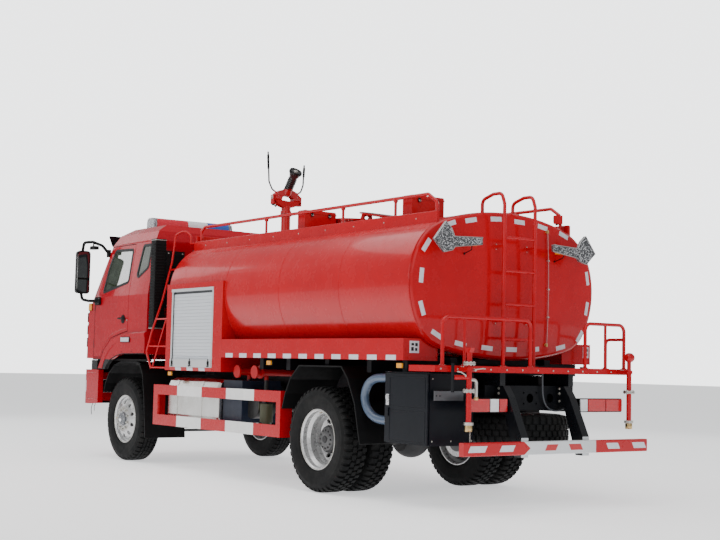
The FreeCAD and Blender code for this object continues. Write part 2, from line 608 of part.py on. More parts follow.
# ---------------------------------------------------------------- wheels
TYRE_PROF = [(BEAD_R + 0.3, -104), (BEAD_R + 13.2, -108), (BEAD_R + 13.2, -119), (330, -131), (370, -138), (410, -140), (450, -137), (485, -130),
             (505, -121), (514, -108), (518, -70), (520, -30), (520, 30), (518, 70), (514, 108), (505, 121), (485, 130),
             (450, 137), (410, 140), (370, 138), (330, 131), (BEAD_R + 13.2, 119), (BEAD_R + 13.2, 108), (BEAD_R + 0.3, 104)]


def tyre(cx, cz, cy):
    return revolve_y(TYRE_PROF, cx, cz, cy)


# closed (radius, offset) outline of barrel and convex disc; offset + is outboard
RIM_PROF = [(298.5, 118), (298.5, 108.5), (285.5, 104), (285.5, 66), (262, 50), (262, -34), (285.5, -62), (285.5, -104), (298.5, -108.5),
            (298.5, -118), (290, -118), (277, -104), (277, -58), (252, -28), (252, 34), (236, 78), (206, 108), (160, 126), (84, 130),
            (84, 142), (164, 138), (214, 119), (245, 88), (262, 62), (277, 72), (277, 104), (290, 118)]


def rim_shape(cx, cz, cy, out, holes=10):
    """out = +1: disc bulges towards +Y, -1: towards -Y"""
    s = revolve_y(RIM_PROF, cx, cz, cy, out)
    cuts = []
    for i in range(holes):
        a = 2 * math.pi * (i + 0.5) / holes
        px, pz = cx + 205 * math.cos(a), cz + 205 * math.sin(a)
        cuts.append(cyl((px, cy - 200, pz), (0, 1, 0), 24, 400))
    return s.cut(Part.makeCompound(cuts))


def hub_shape(cx, cz, y_face, length_in, length_out, r_in=205.0, r_out=112.0):
    """drum behind the wheel face and hub nose in front of it (towards +Y)"""
    prof = [(44, -length_in), (r_in, -length_in), (r_in, -26), (150, -14), (150, 0), (83.4, 0), (83.4, 14),
            (r_out, 16), (r_out, length_out * 0.55), (r_out - 18, length_out * 0.7), (r_out - 34, length_out), (44, length_out)]
    return prof


# front: convex disc outwards, nuts near the flange plane
FR = []
fx, fz = WHEELBASE, TYRE_R
t = tyre(fx, fz, FRONT_TYRE_Y)
put('tyre_front_left', t)
put('tyre_front_right', mirror_y(t))
r = rim_shape(fx, fz, FRONT_TYRE_Y, 1)
face = FRONT_TYRE_Y + 130
hub = revolve_y([(42, -150), (120, -150), (120, -130), (196, -128), (196, -20), (150, 0), (83.5, 0), (83.5, 12), (83.5, 34), (70, 52), (42, 58)], fx, fz, face)
# the drum sits inside the barrel, its nose fills the spigot hole
hub = revolve_y([(42, -208), (185, -208), (200, -60), (150, -30), (150, -0.2), (83.5, -0.2), (83.5, 30), (66, 46), (30, 50), (0, 50), (0, 36), (42, 30)], fx, fz, face)
rf = Part.makeCompound([r]) if False else fuse(r, cyl((fx, face - 0.2, fz), (0, 1, 0), 84.5, 20).cut(cyl((fx, face - 10, fz), (0, 1, 0), 60, 60)))
wheel_f = fuse(r, hub)
put('wheel_front_left', wheel_f)
put('wheel_front_right', mirror_y(wheel_f))

t1 = tyre(0, TYRE_R, REAR_OUT_Y)
t2 = tyre(0, TYRE_R, REAR_IN_Y)
put('tyres_rear_left', Part.makeCompound([t1, t2]))
put('tyres_rear_right', Part.makeCompound([mirror_y(t1), mirror_y(t2)]))
dy = 142.0 + 18.0
r1 = rim_shape(0, TYRE_R, HUB_Y + 0.0 + 160, -1)
r2 = rim_shape(0, TYRE_R, HUB_Y - 160, 1)
# the discs sit back to back with the hub flange between them
hubr = revolve_y([(52, -268), (212, -268), (212, -60), (150, -40), (150, 20), (130, 34), (130, 150), (112, 176), (60, 190), (0, 190), (0, 172), (52, 160)], 0, TYRE_R, HUB_Y)
wheel_r = fuse(r1, r2, hubr)
put('wheel_rear_left', wheel_r)
put('wheel_rear_right', mirror_y(wheel_r))

# ---------------------------------------------------------------- side equipment
ft = prism([(1120, 640), (1120, 960), (1090, 1030), (1020, 1062), (620, 1062), (560, 1030), (540, 960), (540, 640), (570, 570),
            (640, 545), (1020, 545), (1090, 570)], 'x', 2060, 3250)
ft = ft.makeFillet(26, [e for e in ft.Edges if e.BoundBox.XLength < 1 and e.Length > 60])
straps = []
for x in (2440, 3020):
    straps.append(prism([(1126, 640), (1126, 962), (1094, 1036), (1022, 1068), (620, 1068), (540, 1068), (540, 539), (640, 539), (1022, 539), (1094, 564)], 'x', x - 22, x + 22).cut(ft))
brkt = [box(x - 22, x + 22, 473, 539.5, 545, 1060) for x in (2440, 3020)]
put('fuel_tank', fuse(ft, *straps, *brkt))

rs = []
rs.append(cyl((2300, -1000, 930), (1, 0, 0), 120, 900))
rs.append(cyl((2300, -700, 930), (1, 0, 0), 120, 900))
rs_b = box(2250, 2900, -1120, -560, 500, 780)
rs_s = fuse(*rs, rs_b, box(2380, 2440, -900, -560, 780, 1040), box(2380, 2440, -600, -473, 900, 1040),
            box(2980, 3040, -1000, -473, 880, 960), box(2380, 2440, -1000, -500, 760, 900))
sil = cyl((1250, -760, 720), (1, 0, 0), 190, 800)
sil = fuse(sil, box(1400, 1460, -760, -473, 880, 1000), cyl((1150, -760, 720), (1, 0, 0), 50, 110))
put('right_side_tanks', Part.makeCompound([rs_s, sil]))

# pump under the body, left, and its pipes
pb = []
pb.append(box(1640, 2040, 560, 1060, 600, 1060))
pb.append(cyl((1560, 760, 800), (0, 1, 0), 150, 220))
pb.append(cyl((1560, 560, 800), (0, 1, 0), 90, 200))
pb.append(cyl((1340, 930, 620), (0, 0, 1), 70, 200))
pb.append(cyl((1340, 930, 600), (0, 0, 1), 45, 20))
pb.append(box(1330, 1650, 900, 960, 800, 850))
pb.append(cyl((1700, 940, 1060), (0, 0, 1), 22, 90))
pb.append(cyl((1340, 940, 820), (0, 0, 1), 22, 300))
pb.append(cyl((1340, 1080, 1160), (0, -1, 0), 42, 700))
pb.append(cyl((1340, 1100, 1160), (0, -1, 0), 70, 22))
pb.append(cyl((1340, 1030, 1160), (0, -1, 0), 70, 22))
pb.append(cyl((1700, 1080, 1160), (0, -1, 0), 42, 500))
pb.append(cyl((1700, 1100, 1160), (0, -1, 0), 70, 22))
pump_s = fuse(*pb).cut(fuse(*[box(-1750, 5300, 391, 473, 859, 1101), box(-1450, 3300, 401, 467, 1099, 1191), box(-1450, 3300, -467, -401, 1099, 1191)]))
pump_s = max(pump_s.Solids, key=lambda q: q.Volume)
pump_s = fuse(pump_s, box(1700, 1760, 473, 570, 900, 1000))
put('pump_and_pipes', pump_s)


def guard(s):
    f = box(640, 3450, 1176, 1204, 500, 975)
    f = f.cut(box(722, 3340, 1150, 1250, 624, 858))
    ret_r = box(640, 668, 1060, 1176, 500, 975)
    ret_f = box(3422, 3450, 1060, 1176, 500, 975)
    brk = []
    g = fuse(f, ret_r, ret_f)
    b1 = box(1120, 1170, 473, 1176, 880, 930)
    b2 = box(3330, 3380, 473, 1176, 880, 930)
    g = fuse(g, b1, b2)
    return g if s > 0 else mirror_y(g)


put('side_guards', Part.makeCompound([guard(1), guard(-1)]))

# ---------------------------------------------------------------- mudguards
def rear_fender():
    pts = [(-700, 540), (-610, 800), (-560, 1020), (-440, 1180), (-425, 1282), (340, 1282), (360, 1180), (490, 1100), (600, 900), (655, 760)]
    outer = [(-735, 520), (-640, 900), (-520, 1130), (-410, 1246), (330, 1246), (490, 1110), (575, 960), (630, 800)]
    inner = [(616, 796), (562, 952), (480, 1097), (324, 1232), (-402, 1232), (-507, 1120), (-626, 893), (-721, 515)]
    g = prism(outer + inner, 'y', 590, 1196)
    lip = prism(outer + [(x * 0.97, z - 40) for x, z in reversed(outer)], 'y', 1184, 1204)
    st = box(-40, 40, 473, 600, 1205, 1232)
    st = box(-30, 30, 480.5, 620, 1200, 1232)
    return fuse(g, st)


def front_flap_guard():
    outer = [(3985, 1215), (3880, 1215), (3800, 1100), (3735, 800), (3672, 320), (3686, 318), (3749, 797), (3812, 1092), (3890, 1198), (3985, 1198)]
    g = prism(outer, 'y', 640, 1185)
    arch = [(3880, 1200), (4000, 1226), (4440, 1226), (4636, 1182), (4776, 1084), (4872, 956), (4916, 838), (4930, 843), (4886, 964),
            (4788, 1094), (4643, 1196), (4442, 1242), (3998, 1242), (3880, 1216)]
    g = fuse(g, prism(arch, 'y', 640, 1165))
    st = box(3760, 3800, 473, 660, 1100, 1150)
    return fuse(g, box(3795, 3835, 473, 660, 1090, 1130))


rfen = rear_fender()
ffen = front_flap_guard()
put('mudguards', Part.makeCompound([rfen, mirror_y(rfen), ffen, mirror_y(ffen)]))

# ---------------------------------------------------------------- spare wheel lying flat under the overhang
SPARE = (-1400.0, -140.0, 690.0)
sp = revolve_y([(r_, y_) for r_, y_ in TYRE_PROF], 0, 0, 0)
sr = revolve_y(RIM_PROF, 0, 0, 0, 1)
sp = fuse(sp, sr, revolve_y([(274, -60), (287, -60), (287, -30), (274, -30)], 0, 0, 0))
sp.rotate(V(0, 0, 0), V(1, 0, 0), 90)
sp.translate(V(*SPARE))
put('spare_wheel', sp)
carrier = fuse(box(-1480, -1320, -220, -60, 842, 858), cyl((-1400, -140, 850), (0, 0, 1), 30, 60),
               box(-1440, -1360, -391, 391, 900, 930), cyl((-1400, -140, 560), (0, 0, 1), 22, 300),
               cyl((-1400, -140, 545), (0, 0, 1), 130, 15))

# ---------------------------------------------------------------- front ladder in the gap behind the cab
fl = [tube([(3400, 790, 2680), (3400, 790, 2790), (3480, 830, 2860), (3500, 946, 2800), (3500, 987, 2460), (3500, 1100, 1990), (3500, 1233, 1587), (3500, 1290, 1357), (3500, 1224, 1167)], 13, 60)]
for y, z in ((1020, 2330), (1120, 1910), (1200, 1690), (1225, 1170)):
    pass
ladder = fl[0]
rungs = []
for (ya, za) in ((1010, 2364), (1177, 1758), (1272, 1431), (1226, 1178)):
    yb = min(ya, 1186)
    a, b = V(3500, ya, za), V(3196.0, yb, za)
    rungs.append(Part.makeCylinder(11, (b - a).Length, a, b - a))
# diagonal brace from the sill up to the third rung
a, b = V(3480, 1215, 1190), V(3240, 1180, 1745)
rungs.append(Part.makeCylinder(10, (b - a).Length, a, b - a))
ladder = fuse(ladder, *rungs, cyl((3190.5, 790, 2690), (1, 0, 0), 13, 215))
put('ladders', Part.makeCompound([REAR_LADDER] + ladder.Solids))

# ---------------------------------------------------------------- air intake behind the cab
rib = []
ai = box(3545, 3665, 1050, 1190, 1640, 2740)
ribs = [box(3541, 3669, 1046, 1194, z, z + 14) for z in range(1660, 2700, 36)]
ai = fuse(ai, *ribs, box(3530, 3660, 800, 1049, 1900, 2600), box(3545, 3640, 640, 1049, 1700, 1800), box(3590, 3640, 560, 700, 1101, 1800), box(3590, 3640, 420, 700, 1101, 1160))
put('air_intake', ai)

# ---------------------------------------------------------------- fire monitor
mb = fuse(cyl((MON[0], 0, 2725), (0, 0, 1), 105, 33), cyl((MON[0], 0, 2740), (0, 0, 1), 56, 290), cyl((MON[0], 0, 3030), (0, 0, 1), 70, 24))
mb = mb.cut(tank_body(-1600, 3300, 0.0))
put('monitor_base', mb)
sw = cyl((MON[0], 0, 3060), (0, 0, 1), 66, 30)
# lower half of the ring-shaped waterway, in the plane across X
def ring_half(z0, z1):
    o = Part.makeCylinder(1, 1)
    pts = []
    n = 40
    out = [(178 * math.cos(2 * math.pi * i / n), MON_Z + 112 * math.sin(2 * math.pi * i / n)) for i in range(n)]
    inn = [(80 * math.cos(2 * math.pi * i / n), MON_Z + 30 * math.sin(2 * math.pi * i / n)) for i in range(n)]
    s = prism(out, 'x', MON[0] - 42, MON[0] + 42).cut(prism(inn, 'x', MON[0] - 60, MON[0] + 60))
    return s.common(box(MON[0] - 100, MON[0] + 100, -300, 300, z0, z1))


low_ring = ring_half(3000, MON_Z - 3).cut(cyl((MON[0], -300, MON_Z + 4), (0, 1, 0), 51, 600))
sw = fuse(sw, low_ring, cyl((MON[0], 0, 3088), (0, 0, 1), 56, 60).cut(prism([(-81, 3209), (81, 3209), (81, 3260), (-81, 3260)], 'x', MON[0] - 60, MON[0] + 60)))
# pivot cheeks outside the ring
for s in (1, -1):
    y0, y1 = (186, 200) if s > 0 else (-200, -186)
    yy0, yy1 = (120, 200) if s > 0 else (-200, -120)
    ck = box(MON[0] - 34, MON[0] + 34, y0, y1, MON_Z - 70, MON_Z + 34)
    arm = box(MON[0] - 34, MON[0] + 34, yy0, yy1, MON_Z - 78, MON_Z - 62)
    sw = fuse(sw, ck, arm)
    sw = sw.cut(cyl((MON[0], y0 - 5 if s > 0 else y0 - 5, MON_Z + 4), (0, 1, 0), 14.2, 26))
put('monitor_swivel', sw)
up_ring = ring_half(MON_Z + 3, 3500)
up_ring = up_ring.cut(box(MON[0] - 100, MON[0] + 100, 181, 300, 3000, 3500)).cut(box(MON[0] - 100, MON[0] + 100, -300, -181, 3000, 3500))
# rounded lower edge so that the two halves clear as they turn
PIV = (MON[0], MON_Z + 4)
up_ring = up_ring.cut(box(MON[0] - 100, MON[0] + 100, -300, 300, 3000, MON_Z + 4))
keep = fuse(box(MON[0] - 100, MON[0] + 100, -300, 300, MON_Z + 30, 3500), cyl((MON[0], -300, PIV[1]), (0, 1, 0), 48, 600))
up_ring = up_ring.common(keep)
for s in (1, -1):
    up_ring = fuse(up_ring, cyl((MON[0], 84 if s > 0 else -181, PIV[1]), (0, 1, 0), 48, 97))
pins = [cyl((MON[0], 150, PIV[1]), (0, 1, 0), 14, 56), cyl((MON[0], -206, PIV[1]), (0, 1, 0), 14, 56)]
tilt = math.radians(38)
nd = (-math.sin(tilt), 0, math.cos(tilt))
n0 = (MON[0] - 8, 0, MON_Z + 70)
nozzle = fuse(Part.makeCone(62, 50, 70, V(*n0), V(*nd)),
              cyl((n0[0] + nd[0] * 60, 0, n0[2] + nd[2] * 60), nd, 50, 170),
              Part.makeCone(50, 76, 60, V(n0[0] + nd[0] * 225, 0, n0[2] + nd[2] * 225), V(*nd)),
              cyl((n0[0] + nd[0] * 284, 0, n0[2] + nd[2] * 284), nd, 76, 22))
handles = [tube([(MON[0], 128, MON_Z + 58), (MON[0], 205, MON_Z + 100), (MON[0] + 10, 245, MON_Z + 190), (MON[0] + 20, 262, 3790)], 10, 60),
           tube([(MON[0], -128, MON_Z + 58), (MON[0], -205, MON_Z + 100), (MON[0] + 10, -245, MON_Z + 190), (MON[0] + 20, -262, 3680)], 10, 60)]
mbar = fuse(up_ring, *pins, nozzle, *handles)
mbar = mbar.cut(prism([(-79, MON_Z - 20), (79, MON_Z - 20), (60, MON_Z + 26), (0, MON_Z + 31), (-60, MON_Z + 26)], 'x', MON[0] - 60, MON[0] + 60))
put('monitor_barrel', max(mbar.Solids, key=lambda q: q.Volume))

# ---------------------------------------------------------------- cab
def cab_wire(z, W, xf, xa, ya, xc, yc, xs, inset, xr):
    """plan outline: bowed front, rounded corners, straight sides and rear"""
    W -= inset
    xf -= inset
    xa -= inset
    ya -= inset * 0.55
    xc -= inset
    yc -= inset
    xs -= inset * 0.6
    xr += inset
    def p(x, y):
        return V(x, y, z)
    e = [Part.Arc(p(xa, -ya), p(xf, 0), p(xa, ya)).toShape(),
         Part.Arc(p(xa, ya), p(xc, yc), p(xs, W)).toShape(),
         Part.LineSegment(p(xs, W), p(xr, W)).toShape(),
         Part.LineSegment(p(xr, W), p(xr, -W)).toShape(),
         Part.LineSegment(p(xr, -W), p(xs, -W)).toShape(),
         Part.Arc(p(xs, -W), p(xc, -yc), p(xa, -ya)).toShape()]
    return Part.Wire(e)


def cab_solid(inset, z0, z1):
    S = [(z0, SIDE_Y, 5610, 5505, 1060, 5468, 1160, 5385),
         (1860, SIDE_Y, 5610, 5500, 1060, 5462, 1160, 5380),
         (2070, SIDE_Y - 2, 5560, 5400, 1040, 5330, 1140, 5230),
         (2740, 1108, 5225, 5055, 950, 4990, 1050, 4890)]
    # roof sections
    top = z1
    S2 = [(2740, 1108, 5225, 5055, 950, 4990, 1050, 4890),
          (min(2860, top - 30), 1050, 5120, 4950, 900, 4885, 1000, 4800),
          (top, 900, 4960, 4830, 760, 4770, 860, 4700)]
    parts = []
    for A, B in list(zip(S, S[1:])) + list(zip(S2, S2[1:])):
        xr = CAB_REAR
        wa = cab_wire(A[0], *A[1:], inset, CAB_REAR + (0 if A[0] < 2860 else 60))
        wb = cab_wire(B[0], *B[1:], inset, CAB_REAR + (0 if B[0] < 2850 else (40 if B[0] < 2900 else 140)))
        parts.append(Part.makeLoft([wa, wb], True, True))
    r = parts[0]
    for q in parts[1:]:
        r = r.fuse(q)
    return r


outer = cab_solid(0, 1270, 2950)
inner = cab_solid(CAB_WALL, 1430, 2895)
ARCH_Z = 1335.0
arch = both(box(3600, 4790, 560, 1300, 1200, ARCH_Z))
tunnel = prism([(3600, 1200), (5000, 1200), (5000, 1262), (3600, 1262)], 'y', -1, 1)
shell = outer.cut(inner)
shell = shell.cut(arch)

# side outlines in (x, z)
door_out = [(5190, 1292), (5190, 2075), (5028, 2480), (4925, 2715), (4215, 2715), (4215, 1625), (4372, 1602), (4686, 1540), (4905, 1385), (4965, 1292)]


def grow_poly(p, d):
    """offset a closed polygon outward by d"""
    n = len(p)
    area = sum(p[i][0] * p[(i + 1) % n][1] - p[(i + 1) % n][0] * p[i][1] for i in range(n)) / 2
    sg = 1 if area > 0 else -1
    out = []
    for i in range(n):
        x0, z0 = p[i - 1]
        x1, z1 = p[i]
        x2, z2 = p[(i + 1) % n]
        d1 = (x1 - x0, z1 - z0)
        d2 = (x2 - x1, z2 - z1)
        l1 = math.hypot(*d1)
        l2 = math.hypot(*d2)
        n1 = (sg * d1[1] / l1, -sg * d1[0] / l1)
        n2 = (sg * d2[1] / l2, -sg * d2[0] / l2)
        k = 1 + n1[0] * n2[0] + n1[1] * n2[1]
        out.append((x1 + d * (n1[0] + n2[0]) / k, z1 + d * (n1[1] + n2[1]) / k))
    return out


def door_prism(d):
    """door block; its rear face leans so that the closing edge clears as it turns"""
    p = prism(grow_poly(door_out, d), 'y', 900, 1260)
    x_out = 4215 - d - 4
    cutter = prism([(x_out - 300, 880), (4215 - d + 78, 880), (x_out, 1270), (x_out - 300, 1270)], 'z', 1000, 3000)
    # beside the floor the door is only its skin, so the sill stays on the cab
    return p.cut(cutter).cut(box(3900, 5400, 800, 1145 - d * 0.67, 1200, 1437))


dl_block = door_prism(0)
dl_hole = door_prism(DOOR_GAP)
win_front = [(4975, 2112), (4760, 2165), (4281, 2240), (4160, 2620), (4172, 2655), (4750, 2668), (4830, 2660), (4880, 2560), (5010, 2190)]
win_front = [(4985, 2120), (4281, 2236), (4281, 2655), (4790, 2668), (4905, 2480)]
door_l = shell.common(dl_block)
door_l = max(door_l.Solids, key=lambda q: q.Volume)
win_cut = prism(win_front, 'y', 800, 1300)
glass_shell = cab_solid(20, 1400, 2930).cut(cab_solid(26, 1430, 2924))
dg = glass_shell.common(prism(grow_poly(win_front, 0.0), 'y', 800, 1300)).common(box(3000, 6000, 900, 1300, 1000, 3000))
dg = max(dg.Solids, key=lambda q: q.Volume)
door_l = door_l.cut(win_cut)
door_l = max(door_l.Solids, key=lambda q: q.Volume)
# hinge barrels on the door's turning axis
for z in (1420, 1900):
    door_l = door_l.fuse(cyl((DOOR_HINGE[0], DOOR_HINGE[1], z), (0, 0, 1), 9, 90))
door_l = max(door_l.Solids, key=lambda q: q.Volume)
put('door_left', door_l)
put('door_right', mirror_y(door_l))
put('door_glass_left', dg)
put('door_glass_right', mirror_y(dg))

shell = shell.cut(Part.makeCompound([dl_hole, mirror_y(dl_hole)]))
for s in (1, -1):
    for z in (1414, 1894):
        shell = shell.cut(cyl((DOOR_HINGE[0], s * DOOR_HINGE[1], z), (0, 0, 1), 16, 102))
quarter = [(3790, 2400), (4030, 2285), (4080, 2320), (4010, 2690), (3785, 2690)]
q_cut = prism(quarter, 'y', -1300, 1300)
shell = shell.cut(q_cut.cut(box(3000, 6000, -900, 900, 1000, 3000)))
ws = [(-900, 2140), (0, 2110), (900, 2140), (1010, 2200), (905, 2665), (860, 2705), (-860, 2705), (-905, 2665), (-1010, 2200)]
ws_prism = prism(ws, 'x', 4850, 5700)
shell = shell.cut(ws_prism)
rear_win = box(3600, 3800, -600, 600, 2250, 2640)
shell = shell.cut(rear_win)
# engine tunnel inside
shell = fuse(shell, box(3755, 4880, -350, 350, 1425, 1600))
# front flap opening
FLAP_Z0, FLAP_Z1 = 1300.0, 1980.0
flap_poly = [(-930, FLAP_Z0), (930, FLAP_Z0), (960, 1700), (900, FLAP_Z1), (-900, FLAP_Z1), (-960, 1700)]
flap_prism = prism(flap_poly, 'x', 5350, 5700)
flap = cab_solid(0, 1270, 2950).cut(cab_solid(38, 1285, 2900)).common(flap_prism)
flap = max(flap.Solids, key=lambda q: q.Volume)
shell = shell.cut(prism(grow_poly(flap_poly, 8), 'x', 5340, 5700))
solids = sorted(shell.Solids, key=lambda q: -q.Volume)
shell = solids[0]
# fender flare under the crease
flare_pts = [(5002, 1136), (4958, 1200), (4893, 1288), (4800, 1400), (4660, 1500), (4400, 1572), (4200, 1590), (3702, 1608),
             (3702, 1338), (4300, 1332), (4460, 1312), (4640, 1258), (4740, 1190), (4786, 1136)]
flare = prism(flare_pts, 'y', 1180, 1222)
flare = flare.cut(prism([(1222, 1590), (1200, 1640), (1230, 1640)], 'x', 3600, 5100))
shell = fuse(shell, flare, mirror_y(flare))
# pivot lugs under the front of the floor
for s in (1, -1):
    y0, y1 = (350, 410) if s > 0 else (-410, -350)
    lugc = prism([(5330, 1275), (5380, 1085), (5460, 1085), (5480, 1275)], 'y', y0, y1)
    shell = fuse(shell, lugc)
    pin = cyl((CAB_PIVOT[0], 405 if s > 0 else -468, CAB_PIVOT[1]), (0, 1, 0), 25, 63)
    shell = fuse(shell, pin)
put('cab_shell', shell)
put('front_flap', flap)

gw = glass_shell.common(ws_prism)
gw = max(gw.Solids, key=lambda q: q.Volume)
gq = glass_shell.common(q_cut).common(box(3000, 6000, 900, 1300, 1000, 3000))
gq = max(gq.Solids, key=lambda q: q.Volume)
grw = box(CAB_REAR + 20, CAB_REAR + 26, -600, 600, 2250, 2640)
put('cab_glass', Part.makeCompound([gw, gq, mirror_y(gq), grw]))

# seats
def seat(y):
    base = box(4060, 4560, y - 250, y + 250, 1431, 1640)
    cush = box(4050, 4570, y - 260, y + 260, 1640, 1790)
    back = prism([(4050, 1790), (4190, 1790), (4075, 2440), (3950, 2440)], 'y', y - 240, y + 240)
    head = prism([(3980, 2450), (4080, 2450), (4060, 2620), (3975, 2620)], 'y', y - 130, y + 130)
    neck_ = box(4005, 4040, y - 60, y + 60, 2430, 2460)
    return fuse(base, cush, back, head, neck_)


put('seats', Part.makeCompound([seat(660), seat(-660)]))
dash = prism([(5080, 1700), (5080, 2020), (5150, 2060), (5440, 2050), (5440, 1700)], 'y', -1000, 1000)
dash = dash.common(cab_solid(CAB_WALL + 2, 1435, 2890))
sw_c = V(4900, 660, 2010)
sw_n = V(-0.55, 0, 0.835)
wheel_s = torus_seg((4900, 660, 2010), (-0.55, 0, 0.835), 215, 15)
col = cyl((4900, 660, 2010), (0.55, 0, -0.835), 32, 420)
spk = box(4700, 5100, 640, 680, 2002, 2014)
spk = box(-210, 210, -18, 18, -8, 8)
spk.rotate(V(0, 0, 0), V(0, 1, 0), -math.degrees(math.atan2(0.55, 0.835)))
spk.translate(sw_c)
spk2 = box(-18, 18, -210, 210, -8, 8)
spk2.rotate(V(0, 0, 0), V(0, 1, 0), -math.degrees(math.atan2(0.55, 0.835)))
spk2.translate(sw_c)
dash = fuse(dash, col, wheel_s, spk, spk2, box(5070, 5120, 628, 692, 1700, 1760))
put('dashboard', dash)

# light bar on the roof
lb = fuse(box(4780, 4980, -600, 600, 2985, 3150), box(4830, 4930, -560, 560, 2955, 2990))
lb = lb.makeFillet(40, [e for e in lb.Edges if e.BoundBox.YLength > 1100 and e.BoundBox.ZMin > 3140])
lb = lb.cut(outer)
put('light_bar', lb)

# sun visor over the windscreen
vis = prism([(5195, 2760), (5330, 2735), (5335, 2750), (5215, 2835), (5150, 2850), (5060, 2880)], 'y', -1090, 1090)
vis = vis.cut(cab_solid(0, 1270, 2950))
vis = vis.common(prism([(4800, -1090), (5080, -1090), (5300, -900), (5345, 0), (5300, 900), (5080, 1090), (4800, 1090)], 'z', 2600, 3000))
put('sun_visor', max(vis.Solids, key=lambda q: q.Volume))


# mirrors on tubular arms, carried by the doors
def mirror_set():
    head = box(5225, 5365, 1268, 1455, 2110, 2680)
    head = head.makeFillet(24, [e for e in head.Edges if e.BoundBox.ZLength > 400])
    arm1 = tube([(5000, 1150, 2640), (5010, 1215, 2740), (5120, 1300, 2790), (5290, 1350, 2790), (5300, 1360, 2670)], 13, 60)
    arm2 = tube([(5100, 1190, 2035), (5110, 1235, 2020), (5200, 1300, 2020), (5290, 1350, 2040), (5300, 1360, 2125)], 13, 40)
    pad = box(5020, 5170, 1196, 1228, 1965, 2070)
    kerb = box(5060, 5200, 1235, 1310, 2690, 2740)
    return fuse(head, arm1, arm2, pad, kerb)


ms = mirror_set().cut(outer)
ms = max(ms.Solids, key=lambda q: q.Volume)
put('mirror_left', ms)
put('mirror_right', mirror_y(ms))

# ---------------------------------------------------------------- bumper
def bump_prism(inset, z0, z1):
    e = [Part.Arc(V(5505 - inset, -1060 + inset, z0), V(5620 - inset, 0, z0), V(5505 - inset, 1060 - inset, z0)).toShape(),
         Part.Arc(V(5505 - inset, 1060 - inset, z0), V(5465 - inset, 1165 - inset, z0), V(5370 - inset, 1205 - inset, z0)).toShape(),
         Part.LineSegment(V(5370 - inset, 1205 - inset, z0), V(4900, 1205 - inset, z0)).toShape(),
         Part.LineSegment(V(4900, 1205 - inset, z0), V(4900, -1205 + inset, z0)).toShape(),
         Part.LineSegment(V(4900, -1205 + inset, z0), V(5370 - inset, -1205 + inset, z0)).toShape(),
         Part.Arc(V(5370 - inset, -1205 + inset, z0), V(5465 - inset, -1165 + inset, z0), V(5505 - inset, -1060 + inset, z0)).toShape()]
    return Part.Face(Part.Wire(e)).extrude(V(0, 0, z1 - z0))


bm = bump_prism(0, 680, 1125).cut(bump_prism(70, 560, 1200))
bm = bm.common(prism([(5015, 694), (5250, 680), (5700, 680), (5700, 1060), (5560, 1125), (5015, 1125)], 'y', -1300, 1300))
bb = fuse(box(5301, 5560, 400, 462, 870, 990), box(5301, 5560, -462, -400, 870, 990))
bb = bb.cut(box(5300, 5485, 415, 470, 850, 1200)).cut(box(5300, 5485, -470, -415, 850, 1200))
bmf = bm
steps = [box(5015, 5360, 900, 1136, 695, 720), box(5015, 5360, -1136, -900, 695, 720)]
# lamp carriers in the gap between bumper and cab floor, behind the turning axis of the cab
steps += [box(5180, 5352, 500, 1150, 1090, 1250), box(5180, 5352, -1150, -500, 1090, 1250)]
bm = fuse(bm, box(5485.5, 5552, -520, 520, 880, 980), *steps)
for y0, y1 in LAMPS_FRONT:
    bm = bm.cut(box(5440, 5700, y0, y1, 820, 990))
put('front_bumper', max(bm.Solids, key=lambda q: q.Volume))
for y0, y1 in LAMPS_FRONT:
    l_ = bump_prism(6, 821, 989).common(box(5440, 5700, y0 + 1, y1 - 1, 821, 989)).cut(bump_prism(70, 560, 1200))
    lm.append(max(l_.Solids, key=lambda q: q.Volume))
put('lamps', Part.makeCompound(lm))

# spare wheel carrier joins the frame members
NODES['chassis_crossmembers'] = Part.makeCompound(NODES['chassis_crossmembers'].Solids + [carrier.cut(sp)])

# ---------------------------------------------------------------- write
os.makedirs("parts", exist_ok=True)
shift = V(-X_SHIFT, 0, 0)
for name, s in NODES.items():
    s = s.copy()
    s.translate(shift)
    sol = s.Solids
    if len(sol) == 1:
        out = sol[0]
    else:
        out = Part.makeCompound(sol)
    bad = [k for k in sol if not k.isValid()]
    print('%-22s solids %2d  vol %9.5f m3 %s' % (name, len(sol), sum(k.Volume for k in sol) / 1e9, 'INVALID' if bad else ''))
    out.exportStep("parts/%s.step" % name)
print(len(NODES), 'nodes')
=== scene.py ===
import json
import math
import random

import bpy
from mathutils import Matrix, Vector

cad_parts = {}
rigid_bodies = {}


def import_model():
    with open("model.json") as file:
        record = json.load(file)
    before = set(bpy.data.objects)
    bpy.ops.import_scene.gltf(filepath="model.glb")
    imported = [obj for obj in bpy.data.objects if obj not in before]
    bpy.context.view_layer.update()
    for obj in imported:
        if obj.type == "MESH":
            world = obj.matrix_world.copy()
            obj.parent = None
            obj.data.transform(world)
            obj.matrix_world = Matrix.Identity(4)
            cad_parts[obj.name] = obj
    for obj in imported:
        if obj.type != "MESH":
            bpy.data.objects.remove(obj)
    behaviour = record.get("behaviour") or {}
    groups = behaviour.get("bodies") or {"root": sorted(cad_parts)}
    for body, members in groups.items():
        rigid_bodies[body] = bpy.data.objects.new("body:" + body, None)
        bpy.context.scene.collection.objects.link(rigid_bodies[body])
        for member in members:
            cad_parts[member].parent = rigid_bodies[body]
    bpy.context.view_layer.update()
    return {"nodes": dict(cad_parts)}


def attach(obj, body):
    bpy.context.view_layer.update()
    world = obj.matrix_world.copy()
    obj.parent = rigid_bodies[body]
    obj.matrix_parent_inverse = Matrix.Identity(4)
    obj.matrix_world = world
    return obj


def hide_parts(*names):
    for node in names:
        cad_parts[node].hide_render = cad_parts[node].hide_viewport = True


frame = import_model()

XS = 1.727                      # the working frame has x = 0 at the rear axle; the row frame is shifted by this
MINUS = -1


